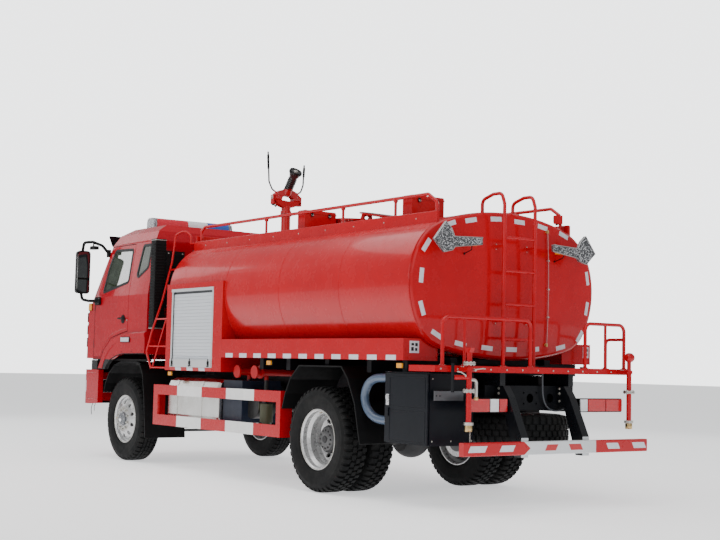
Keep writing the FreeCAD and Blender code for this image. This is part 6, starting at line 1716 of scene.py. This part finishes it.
WIN = [(4.985, 2.120), (4.281, 2.236), (4.281, 2.655), (4.790, 2.668), (4.905, 2.480)]
QUA = [(3.790, 2.400), (4.030, 2.285), (4.080, 2.320), (4.010, 2.690), (3.785, 2.690)]
for side, s in (('left', 1), ('right', -1)):
    w = soft_poly(WIN, 0.045)
    g = Geo()
    pane(g, offset_poly(w, -0.004), s, -0.010, -0.005)
    o = make('door_window_' + side, g, 'door_' + side, 'glass')
    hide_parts('door_glass_' + side)
    g = Geo()
    ring_strip(g, offset_poly(w, 0.014), offset_poly(w, -0.020), s, 0.0035, -0.018)
    # division bar of the window, handle with its recess, lower trim, hinges' covers
    g.use(0).prism([(4.835, 2.152), (4.848, 2.150), (4.848, 2.40), (4.842, 2.60), (4.832, 2.60)], 'y', s * 1.120, s * 1.128)
    hx, hz = 4.358, 1.771
    g.use(1).lathe([(0.0, 0.0), (0.052, 0.0), (0.056, 0.004), (0.050, 0.006), (0.0, 0.004)], (hx, s * 1.1995, hz), (0, s, 0), 30, closed=False)
    g.use(1).tube(fillet([(hx - 0.070, s * 1.203, hz + 0.004), (hx - 0.062, s * 1.232, hz + 0.004), (hx + 0.082, s * 1.232, hz + 0.010), (hx + 0.090, s * 1.203, hz + 0.010)], 0.014), 0.0115, 12)
    g.use(2).cyl((hx - 0.110, s * 1.1995, hz - 0.012), (0, s, 0), 0.012, 0.004, 20)
    # pressed crease along the door
    g.use(3).tube([(4.260, s * 1.2003, 1.655), (4.40, s * 1.2003, 1.640), (4.70, s * 1.2003, 1.575), (4.93, s * 1.2003, 1.415), (4.99, s * 1.2003, 1.310)], 0.0045, 8)
    make('door_seal_and_handle_' + side, g, 'door_' + side, ['seal', 'black', 'zinc', 'red_cab'], bevel=0.0008, seg=1)
    q_ = soft_poly(QUA, 0.035)
    g = Geo()
    pane(g, offset_poly(q_, -0.004), s, -0.010, -0.005)
    make('quarter_window_' + side, g, 'cab', 'glass')
    g = Geo()
    ring_strip(g, offset_poly(q_, 0.014), offset_poly(q_, -0.018), s, 0.0035, -0.018)
    make('quarter_seal_' + side, g, 'cab', 'seal')

# fender: raised outer band, marker lamp, lip of the arch, its screws; side lamp
g = Geo()
for s in (1, -1):
    band_o = [(4.994, 1.145), (4.952, 1.206), (4.887, 1.292), (4.795, 1.402), (4.655, 1.497), (4.398, 1.566), (4.200, 1.583), (3.706, 1.600)]
    band_i = [(3.706, 1.540), (4.190, 1.524), (4.380, 1.508), (4.560, 1.452), (4.690, 1.376), (4.785, 1.290), (4.846, 1.206), (4.874, 1.145)]
    g.use(0).prism(band_o + band_i, 'y', s * 1.2215, s * 1.2275)
    lip = [(3.706, 1.341), (4.300, 1.335), (4.462, 1.315), (4.642, 1.261), (4.744, 1.192), (4.790, 1.139)]
    g.use(1).tube([(x, s * 1.2215, z) for x, z in lip], 0.0062, 8)
    for x, z in ((3.76, 1.372), (4.05, 1.366), (4.33, 1.358), (4.56, 1.318), (4.72, 1.246)):
        g.use(1).cyl((x, s * 1.2218, z), (0, s, 0), 0.0065, 0.003, 14)
    g.use(2).box(4.098, 4.342, s * 1.2210, s * 1.2330, 1.478, 1.546)
    g.use(3).box(4.110, 4.330, s * 1.2325, s * 1.2400, 1.486, 1.538)
    for k in range(8):
        g.use(3).box(4.118 + 0.027 * k, 4.126 + 0.027 * k, s * 1.2398, s * 1.2412, 1.490, 1.534)
    # side lamp at the front corner
    g.use(2).box(5.285, 5.385, s * 1.1975, s * 1.2035, 1.895, 1.995)
    g.use(4).box(5.291, 5.379, s * 1.2030, s * 1.2110, 1.902, 1.988)
cabfen = make('fender_band_and_side_lamps', g, 'cab', ['red_cab', 'black', 'black', 'film', 'lens_amber'], bevel=0.0025, seg=2)

# gutters over the doors, roof seams, roof markers, rear wall ribs and seals
g = Geo()
for s in (1, -1):
    pts = [(3.72, s * (side_y(2.735) + 0.004), 2.742), (4.25, s * (side_y(2.735) + 0.004), 2.742), (4.86, s * 1.098, 2.742), (4.935, s * 1.082, 2.700), (5.03, s * 1.125, 2.50)]
    g.use(0).tube(fillet(pts, 0.05), 0.0075, 8)
    g.use(0).tube([(3.83, s * 0.70, 2.951), (4.30, s * 0.70, 2.951), (4.72, s * 0.66, 2.951)], 0.0050, 8)
    for z in (1.50, 1.95, 2.20, 2.46):
        g.use(0).box(3.688, 3.701, s * 0.62, s * 1.10, z - 0.012, z + 0.012)
g.use(1).tube(fillet([(3.6985, -0.60, 2.25), (3.6985, 0.60, 2.25), (3.6985, 0.60, 2.64), (3.6985, -0.60, 2.64), (3.6985, -0.60, 2.25)], 0.04), 0.012, 10)
for y in (-0.78, -0.39, 0.0, 0.39, 0.78):
    g.use(2).ball((5.015 - 0.10 * abs(y), y, 2.905 - 0.012 * abs(y)), 0.026, 14, (1.4, 1.5, 0.55))
g.use(1).box(3.90, 4.42, -0.30, 0.30, 2.9495, 2.9560)
g.use(0).box(3.93, 4.39, -0.27, 0.27, 2.9555, 2.9640)
make('cab_trim_and_gutters', g, 'cab', ['red_cab', 'seal', 'lens_amber'], bevel=0.0012, seg=1)


# windscreen seal, wipers; the front face follows the bowed plan outline
def front_x(y, z):
    """outer front surface between z 2.07 and 2.74, and below it"""
    y = abs(y)

    def bow(xf, xa, ya):
        sag = xf - xa
        R = (ya * ya + sag * sag) / (2 * sag)
        return xf - (R - math.sqrt(max(R * R - y * y, 0.0)))
    if z <= 1.86:
        return bow(5.610, 5.505, 1.060)
    if z <= 2.07:
        t = (z - 1.86) / 0.21
        return bow(5.610, 5.500, 1.060) * (1 - t) + bow(5.560, 5.400, 1.040) * t
    t = (z - 2.07) / 0.67
    return bow(5.560, 5.400, 1.040) * (1 - t) + bow(5.225, 5.055, 0.950) * t


WS = [(-0.900, 2.140), (-0.45, 2.119), (0, 2.110), (0.45, 2.119), (0.900, 2.140), (0.985, 2.210), (0.93, 2.60), (0.86, 2.700), (0.45, 2.705), (0, 2.705), (-0.45, 2.705), (-0.86, 2.700), (-0.93, 2.60), (-0.985, 2.210)]
g = Geo()
g.use(0).tube([(front_x(y, z) + 0.001, y, z) for y, z in soft_poly(WS, 0.05, 3)], 0.013, 10, closed=True)
for y0, dy in ((0.62, -0.46), (-0.02, -0.46)):
    a = (front_x(y0, 2.09) + 0.010, y0, 2.090)
    b = (front_x(y0 + dy, 2.20) + 0.034, y0 + dy, 2.215)
    g.use(1).cyl((a[0] - 0.012, a[1], a[2]), (0.9, 0, 0.42), 0.017, 0.036, 18)
    g.use(1).tube([(a[0] + 0.018, a[1], a[2] + 0.010), ((a[0] + b[0]) / 2 + 0.012, (a[1] + b[1]) / 2, (a[2] + b[2]) / 2), b], [0.0085, 0.0070, 0.0055], 10)
    yb = y0 + dy
    bl = [(front_x(yb + t, 2.20 + 0.10 * t) + 0.014, yb + t, 2.200 + 0.10 * t) for t in (-0.27, -0.14, 0.0, 0.14, 0.27)]
    g.use(1).tube(bl, 0.0062, 8)
    g.use(1).tube([(x + 0.012, y, z + 0.004) for x, y, z in bl[1:4]], 0.0040, 8)
make('windscreen_seal_and_wipers', g, 'cab', ['seal', 'black'])

# front flap: dark grille field with slats, mesh bars, upper trim
g = Geo()
for k in range(6):
    z = 1.400 + 0.082 * k
    pts = [(front_x(y, z) + 0.004, y, z) for y in [-0.80 + 0.1 * i for i in range(17)]]
    n = len(pts)
    vs = [(x, y, z - 0.024) for x, y, z in pts] + [(x + 0.012, y, z - 0.012) for x, y, z in pts] + [(x + 0.012, y, z + 0.018) for x, y, z in pts] + [(x - 0.006, y, z + 0.026) for x, y, z in pts] + [(x - 0.006, y, z - 0.024) for x, y, z in pts]
    fs = []
    for r_ in range(5):
        for i in range(n - 1):
            a, b = r_ * n + i, ((r_ + 1) % 5) * n + i
            fs.append((a, a + 1, b + 1, b))
    fs += [tuple(r_ * n for r_ in range(5)), tuple(reversed([r_ * n + n - 1 for r_ in range(5)]))]
    g.use(1 if k % 2 == 0 else 0).add(vs, fs)
for y in [-0.72 + 0.09 * i for i in range(17)]:
    x = front_x(y, 1.6)
    g.use(0).box(x - 0.002, x + 0.009, y - 0.006, y + 0.006, 1.372, 1.842)
g.use(0).tube(fillet([(front_x(-0.84, 1.36) + 0.004, -0.84, 1.36), (front_x(0, 1.36) + 0.004, 0, 1.36), (front_x(0.84, 1.36) + 0.004, 0.84, 1.36)], 0.3), 0.010, 8)
g.use(0).tube([(front_x(y, 1.856) + 0.004, y, 1.856) for y in [-0.84 + 0.14 * i for i in range(13)]], 0.010, 8)
for sg in (1, -1):
    g.use(0).tube([(front_x(0.84, 1.36) + 0.004, sg * 0.84, 1.36), (front_x(0.84, 1.6) + 0.004, sg * 0.84, 1.60), (front_x(0.84, 1.856) + 0.004, sg * 0.84, 1.856)], 0.010, 8)
    g.use(1).tube(fillet([(front_x(0.62, 1.93) + 0.004, sg * 0.62, 1.925), (front_x(0.60, 1.93) + 0.030, sg * 0.60, 1.925), (front_x(0.42, 1.93) + 0.030, sg * 0.42, 1.925), (front_x(0.40, 1.93) + 0.004, sg * 0.40, 1.925)], 0.01), 0.0075, 10)
make('front_grille', g, 'front_flap', ['black', 'chrome'], bevel=0.0015, seg=1)

# corner air guides on the cab
g = Geo()
for s in (1, -1):
    for k in range(3):
        z0 = 1.42 + 0.165 * k
        pts = [(5.500 - 0.004, s * 1.085), (5.476, s * 1.140), (5.440, s * 1.172), (5.400, s * 1.192), (5.404, s * 1.204), (5.452, s * 1.186), (5.490, s * 1.150), (5.516, s * 1.090)]
        g.use(0).prism([(x + 0.0, y) for x, y in pts], 'z', z0, z0 + 0.120)
make('corner_air_guides', g, 'cab', 'black', bevel=0.003, seg=2)

# bumper: side beads, side reflector films, lower grille, fog lamps' rims, a black strip along its top, number field
# left bare, wire under it
g = Geo()
for s in (1, -1):
    g.use(4).tube([(5.020, s * 1.2052, 0.745), (5.350, s * 1.2052, 0.745)], 0.0050, 8)
    g.use(4).tube([(5.020, s * 1.2052, 1.085), (5.350, s * 1.2052, 1.085)], 0.0050, 8)
    g.use(3).box(5.375, 5.3905, s * 1.190, s * 1.2065, 0.830, 0.980)
    g.use(1).torus((bump_x(0.62) - 0.001, s * 0.62, 0.905), (1, 0, 0), 0.034, 0.006, 26, 8)
for k in range(4):
    z = 0.735 + 0.030 * k
    pts = [(bump_x(y) + 0.001, y) for y in [-0.62 + 0.124 * i for i in range(11)]]
    back = [(x - 0.012, y) for x, y in reversed(pts)]
    g.use(0).prism([(x + 0.004, y) for x, y in pts] + back, 'z', z, z + 0.014)
pts = [(bump_x(y) + 0.003, y) for y in [-1.05 + 0.15 * i for i in range(15)]]
g.use(0).prism(pts + [(x - 0.010, y) for x, y in reversed(pts)], 'z', 1.060, 1.068)
g.use(2).tube(fillet([(5.30, 1.12, 0.700), (5.33, 1.135, 0.655), (5.36, 1.13, 0.600), (5.30, 1.15, 0.535)], 0.02), 0.0045, 8)
g.use(2).tube(fillet([(5.28, 1.10, 0.700), (5.29, 1.12, 0.640), (5.24, 1.14, 0.585)], 0.02), 0.0035, 8)
make('bumper_trim', g, 'chassis', ['black', 'chrome', 'seal', 'film', 'red_cab'], bevel=0.0015, seg=1)
# apron and foam strip under the cab floor, resting over the wheel liners and lamp carriers
g = Geo()
for s in (1, -1):
    g.use(0).prism(soft_poly([(3.76, 1.2455), (4.62, 1.2455), (5.165, 1.2455), (5.165, 1.2715), (3.76, 1.2715)], 0.006, 2), 'y', s * 1.085, s * 1.150)
    g.use(1).prism(soft_poly([(5.184, 1.2525), (5.338, 1.2525), (5.338, 1.2715), (5.184, 1.2715)], 0.005, 2), 'y', s * 0.55, s * 1.145)
make('cab_floor_apron', g, 'cab', ['black', 'seal'], bevel=0.0010, seg=1)

# light bar: plinth, feet, five domes
g = Geo()
g.use(0).box(4.800, 4.960, -0.592, 0.592, 2.985, 3.010)
g.use(5).box(4.792, 4.968, -0.596, 0.596, 3.006, 3.014)
for y in (-0.50, 0.50):
    g.use(0).prism([(4.835, 2.956), (4.925, 2.956), (4.940, 2.990), (4.820, 2.990)], 'y', y - 0.045, y + 0.045)
    for x in (4.855, 4.905):
        g.use(5).bolt((x, y - 0.03, 2.975), (0, -1, 0), 0.004, 0.004, False)
prof = [(4.780, 3.012), (4.7805, 3.085), (4.790, 3.120), (4.812, 3.142), (4.845, 3.1495), (4.915, 3.1495), (4.948, 3.142), (4.970, 3.120), (4.9795, 3.085), (4.980, 3.012)]
for a, b, mt in ((0.600, 0.548, 4), (0.546, 0.082, 1), (0.080, -0.218, 2), (-0.220, -0.546, 3), (-0.548, -0.600, 4)):
    g.use(mt).prism(prof, 'y', a, b)
    n = max(1, int(abs(a - b) / 0.055))
    for k in range(n + 1):
        y = a + (b - a) * (k + 0.5) / (n + 1)
        rib = [(x + (0.0012 if x > 4.88 else -0.0012), z + (0.0004 if z > 3.1 else 0)) for x, z in prof]
        rib = [(min(max(x, 4.7800), 4.9800), min(z, 3.1500)) for x, z in rib]
        g.use(mt).prism(rib, 'y', y - 0.004, y + 0.004)
for y in (0.547, 0.081, -0.219, -0.547):
    g.use(0).prism([(x, z) for x, z in offset_poly(prof, -0.004)], 'y', y - 0.0035, y + 0.0035)
lb = make('light_bar_domes', g, 'cab', ['black', 'dome_red', 'dome_white', 'dome_blue', 'dome_clear', 'steel'], bevel=0.002, seg=2)
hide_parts('light_bar')

# mirrors: two glasses in a housing open to the rear, silver outer rim, tube arms, kerb mirror
for side, s in (('left', 1), ('right', -1)):
    g = Geo()

    def rr(y0, y1, z0, z1, r):
        return soft_poly([(y0, z0), (y1, z0), (y1, z1), (y0, z1)], r, 5)
    o_ = rr(1.270, 1.4545, 2.112, 2.678, 0.050)
    n = len(o_)
    lays = [(5.240, -0.000), (5.262, 0.000), (5.318, -0.006), (5.350, -0.024), (5.364, -0.050)]
    vs = []
    for x, d in lays:
        vs += [(x, s * y, z) for y, z in offset_poly(o_, d)]
    fs = []
    for k in range(len(lays) - 1):
        for i in range(n):
            fs.append((k * n + i, k * n + (i + 1) % n, (k + 1) * n + (i + 1) % n, (k + 1) * n + i))
    fs.append(tuple(range((len(lays) - 1) * n, len(lays) * n)))
    inner_ = offset_poly(o_, -0.009)
    base = len(vs)
    vs += [(5.240, s * y, z) for y, z in inner_] + [(5.256, s * y, z) for y, z in inner_]
    for i in range(n):
        j = (i + 1) % n
        fs.append((j, i, base + i, base + j))
        fs.append((base + j, base + i, base + n + i, base + n + j))
    fs.append(tuple(reversed(range(base + n, base + 2 * n))))
    if s > 0:
        pass
    else:
        fs = [tuple(reversed(q)) for q in fs]
    g.use(0).add(vs, fs)
    for z0, z1, mt in ((2.322, 2.664, 1), (2.130, 2.298, 1)):
        q = rr(1.282, 1.441, z0, z1, 0.028)
        g.use(mt).prism([(s * y, z) for y, z in q], 'x', 5.2475, 5.2520)
        q2 = [(s * y, z) for y, z in offset_poly(q, 0.004)]
        g.use(0).tube([(5.2475, y, z) for y, z in q2], 0.0038, 6, closed=True)
    # silver outer strip and its upper end
    strip = [(5.246, s * 1.4470, 2.20), (5.262, s * 1.4528, 2.30), (5.266, s * 1.4535, 2.50), (5.262, s * 1.4520, 2.60)]
    g.use(2).tube([(5.300, s * 1.452, 2.165), (5.300, s * 1.4535, 2.30), (5.300, s * 1.4535, 2.50), (5.300, s * 1.452, 2.625)], [0.0010, 0.0016, 0.0016, 0.0010], 8)
    g.use(2).box(5.2395, 5.2405, s * 1.446, s * 1.4535, 2.170, 2.620)
    a1 = [(4.985, 1.132, 2.640), (5.010, 1.215, 2.740), (5.120, 1.300, 2.790), (5.290, 1.350, 2.790), (5.302, 1.360, 2.668)]
    a2 = [(5.100, 1.212, 2.035), (5.110, 1.235, 2.020), (5.200, 1.300, 2.020), (5.290, 1.350, 2.040), (5.302, 1.360, 2.125)]
    for a in (a1, a2):
        g.use(0).tube(fillet([(x, s * y, z) for x, y, z in a], 0.05), 0.0190, 14)
    pad = [(5.020, 1.985), (5.045, 1.965), (5.150, 1.965), (5.170, 1.990), (5.170, 2.050), (5.150, 2.070), (5.040, 2.070), (5.020, 2.050)]
    g.use(0).prism(soft_poly(pad, 0.012, 2), 'y', s * 1.1965, s * 1.226)
    pad2 = [(4.955, 2.600), (5.010, 2.590), (5.018, 2.650), (4.990, 2.690), (4.950, 2.690)]
    g.use(0).prism(soft_poly(pad2, 0.010, 2), 'y', s * 1.116, s * 1.150)
    for x, z in ((5.040, 2.050), (5.150, 2.050), (5.045, 1.985), (5.150, 1.985)):
        g.use(3).bolt((x, s * 1.226, z), (0, s, 0), 0.0042, 0.003, False)
    # kerb mirror hood under the upper arm
    k_ = soft_poly([(5.062, 2.692), (5.198, 2.692), (5.190, 2.738), (5.075, 2.738)], 0.014, 3)
    g.use(0).prism(k_, 'y', s * 1.236, s * 1.309)
    g.use(1).box(5.080, 5.180, s * 1.242, s * 1.303, 2.6905, 2.6930)
    g.use(0).cyl((5.130, s * 1.285, 2.735), (0, 0, 1), 0.010, 0.048, 12)
    mo = make('mirror_set_' + side, g, 'door_' + side, ['black', 'mirror', 'chrome', 'zinc'], bevel=0.0010, seg=1)
    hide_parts('mirror_' + side)

# intake: bellows rings, clamp bands, mesh of its inlet, bolts of the box behind it
g = Geo()
for k in range(29):
    z = 1.667 + 0.036 * k
    g.use(0).tube(fillet([(3.543, 1.048, z), (3.667, 1.048, z), (3.667, 1.192, z), (3.543, 1.192, z), (3.543, 1.048, z)], 0.014, 3)[:-1], 0.0068, 8, closed=True)
for z in (1.650, 2.725):
    g.use(1).tube(fillet([(3.542, 1.047, z), (3.668, 1.047, z), (3.668, 1.193, z), (3.542, 1.193, z), (3.542, 1.047, z)], 0.010, 3)[:-1], 0.0042, 8, closed=True)
for k in range(10):
    z = 1.96 + 0.064 * k
    g.use(0).box(3.5265, 3.5310, 0.82, 1.03, z, z + 0.028)
for y in (0.83, 1.02):
    for z in (1.93, 2.25, 2.57):
        g.use(1).bolt((3.5295, y, z), (-1, 0, 0), 0.0060, 0.005)
make('intake_bellows_and_louvres', g, 'chassis', ['black', 'zinc'], bevel=0.0006, seg=1)


# ------------------------------------------------------------------------------------------------ seats
def cushion(name, c, ux, uy, uz, hx, hy, hz, crown=0.16, channels=(), across='x', body='cab', n=22, e=6.0, pipe=True):
    """crowned form, its sides pulled in between the corners, with sewn channels and a piped seam"""
    c, ux, uy, uz = Vector(c), Vector(ux).normalized(), Vector(uy).normalized(), Vector(uz).normalized()

    def shape(p):
        r = (abs(p[0]) ** e + abs(p[1]) ** e + abs(p[2]) ** e) ** (1 / e)
        m_ = max(abs(p[0]), abs(p[1]), abs(p[2]))
        x, y, z = p[0] / r * m_ if m_ else 0, p[1] / r * m_ if m_ else 0, p[2] / r * m_ if m_ else 0
        x *= 1 - 0.030 * (1 - y * y)
        y *= 1 - 0.030 * (1 - x * x)
        b = (1 - x * x) * (1 - y * y)
        if z > 0:
            z *= 1 - crown + crown * 2 * max(b, 0) ** 0.6
            t = x if across == 'x' else y
            for ch in channels:
                z -= 0.16 * math.exp(-((t - ch) / 0.040) ** 2) * min(1.0, b * 3)
        w = abs(z)
        if w < 0.16 and pipe:
            k = 1 - 0.016 * (1 - w / 0.16)
            x *= k
            y *= k
        return c + ux * x * hx + uy * y * hy + uz * z * hz
    g = Geo()
    idx = {}
    vs, fs = [], []

    def vid(a, b, d):
        key = (a, b, d)
        if key not in idx:
            idx[key] = len(vs)
            vs.append(shape((2 * a / n - 1, 2 * b / n - 1, 2 * d / n - 1)))
        return idx[key]
    for i in range(n):
        for j in range(n):
            fs.append((vid(i, j, n), vid(i + 1, j, n), vid(i + 1, j + 1, n), vid(i, j + 1, n)))
            fs.append((vid(i, j, 0), vid(i, j + 1, 0), vid(i + 1, j + 1, 0), vid(i + 1, j, 0)))
            fs.append((vid(i, 0, j), vid(i + 1, 0, j), vid(i + 1, 0, j + 1), vid(i, 0, j + 1)))
            fs.append((vid(i, n, j), vid(i, n, j + 1), vid(i + 1, n, j + 1), vid(i + 1, n, j)))
            fs.append((vid(0, i, j), vid(0, i, j + 1), vid(0, i + 1, j + 1), vid(0, i + 1, j)))
            fs.append((vid(n, i, j), vid(n, i + 1, j), vid(n, i + 1, j + 1), vid(n, i, j + 1)))
    if ux.cross(uy).dot(uz) < 0:
        fs = [tuple(reversed(q)) for q in fs]
    g.add(vs, fs)
    if pipe:
        lp = []
        m2 = 64
        for k in range(m2):
            a = 2 * math.pi * k / m2
            p = [math.cos(a), math.sin(a), 0.0]
            mm = max(abs(p[0]), abs(p[1]))
            lp.append(shape((p[0] / mm, p[1] / mm, 0.0)))
        g.tube(lp, 0.0042, 6, closed=True)
    o = make(name, g, body, 'cloth', angle=60)
    return o


for side, y in (('left', 0.66), ('right', -0.66)):
    cushion('seat_cushion_' + side, (4.310, y, 1.722), (1, 0, 0), (0, 1, 0), (0.03, 0, 1), 0.252, 0.250, 0.066, channels=(-0.42, 0.0, 0.42), across='x')
    lean = Vector((-0.165, 0, 1.0)).normalized()
    fwd_ = Vector((1.0, 0, 0.165)).normalized()
    cushion('seat_back_' + side, (4.070, y, 2.108), (0, 1, 0), lean, fwd_, 0.232, 0.315, 0.060, channels=(-0.5, -0.1, 0.3, 0.66), across='y')
    cushion('head_rest_' + side, (4.022, y, 2.532), (0, 1, 0), lean, fwd_, 0.126, 0.080, 0.042, channels=(), crown=0.12)
    g = Geo()
    g.use(0).box(4.075, 4.545, y - 0.235, y + 0.235, 1.600, 1.658)
    g.use(1).box(4.110, 4.500, y - 0.200, y + 0.200, 1.470, 1.600)
    for k in range(5):
        g.use(1).tube(fillet([(4.105 + 0.098 * k, y - 0.204, 1.480), (4.105 + 0.098 * k, y - 0.212, 1.535), (4.105 + 0.098 * k, y - 0.204, 1.592)], 0.02), 0.008, 8)
    g.use(0).box(4.080, 4.540, y - 0.210, y + 0.210, 1.4315, 1.470)
    for dy in (-0.045, 0.045):
        g.use(2).cyl((3.992 + 0.006, y + dy, 2.405), lean, 0.0070, 0.075, 12)
    g.use(0).tube(fillet([(4.15, y + 0.245, 1.66), (4.10, y + 0.249, 1.72), (4.04, y + 0.249, 1.86)], 0.03), 0.014, 12)
    fr = make('seat_frame_' + side, g, 'cab', ['trim', 'seal', 'steel'], bevel=0.003, seg=2)
    if side == 'left':
        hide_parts('seats')

# dashboard: instrument hood, vents, dials, switch row, steering wheel rim grip
g = Geo()
g.use(0).prism([(5.090, 2.022), (5.100, 2.075), (5.150, 2.095), (5.290, 2.066), (5.290, 2.045)], 'y', 0.46, 0.86)
for k in range(2):
    g.use(1).lathe([(0.0, 0.0), (0.048, 0.0), (0.052, 0.004), (0.052, 0.008), (0.047, 0.006), (0.0, 0.003)], (5.0805, 0.59 + 0.14 * k, 1.955), (-1, 0, 0), 30, closed=False)
for y in (-0.78, -0.36, 0.30, 0.93):
    for k in range(4):
        g.use(2).box(5.0740, 5.0815, y - 0.060, y + 0.060, 1.925 + 0.018 * k, 1.933 + 0.018 * k)
for k in range(7):
    g.use(2).box(5.0745, 5.0815, -0.16 + 0.046 * k, -0.124 + 0.046 * k, 1.830, 1.862)
g.use(2).torus((4.900, 0.660, 2.010), (-0.55, 0, 0.835), 0.215, 0.0158, 60, 10)
g.use(2).lathe([(0.0, 0.0), (0.060, 0.0), (0.070, 0.010), (0.062, 0.026), (0.0, 0.034)], (4.896, 0.660, 2.016), (-0.55, 0, 0.835), 30, closed=False)
make('dashboard_fittings', g, 'cab', ['trim', 'lens_white', 'seal'], bevel=0.002, seg=1)

# trims on the cab front stay behind the foremost plane of the part
bpy.context.view_layer.update()
for o_ in list(bpy.data.objects):
    if o_.type != 'MESH' or not o_.data.vertices or max(abs(v.co.x) for v in o_.data.vertices) > 4.5:
        continue
    mw_ = o_.matrix_world
    if max((mw_ @ v.co).x for v in o_.data.vertices) > 3.8932:
        inv_ = mw_.inverted()
        for v in o_.data.vertices:
            w_ = mw_ @ v.co
            if w_.x > 3.8930:
                w_.x = 3.8930
                v.co = inv_ @ w_
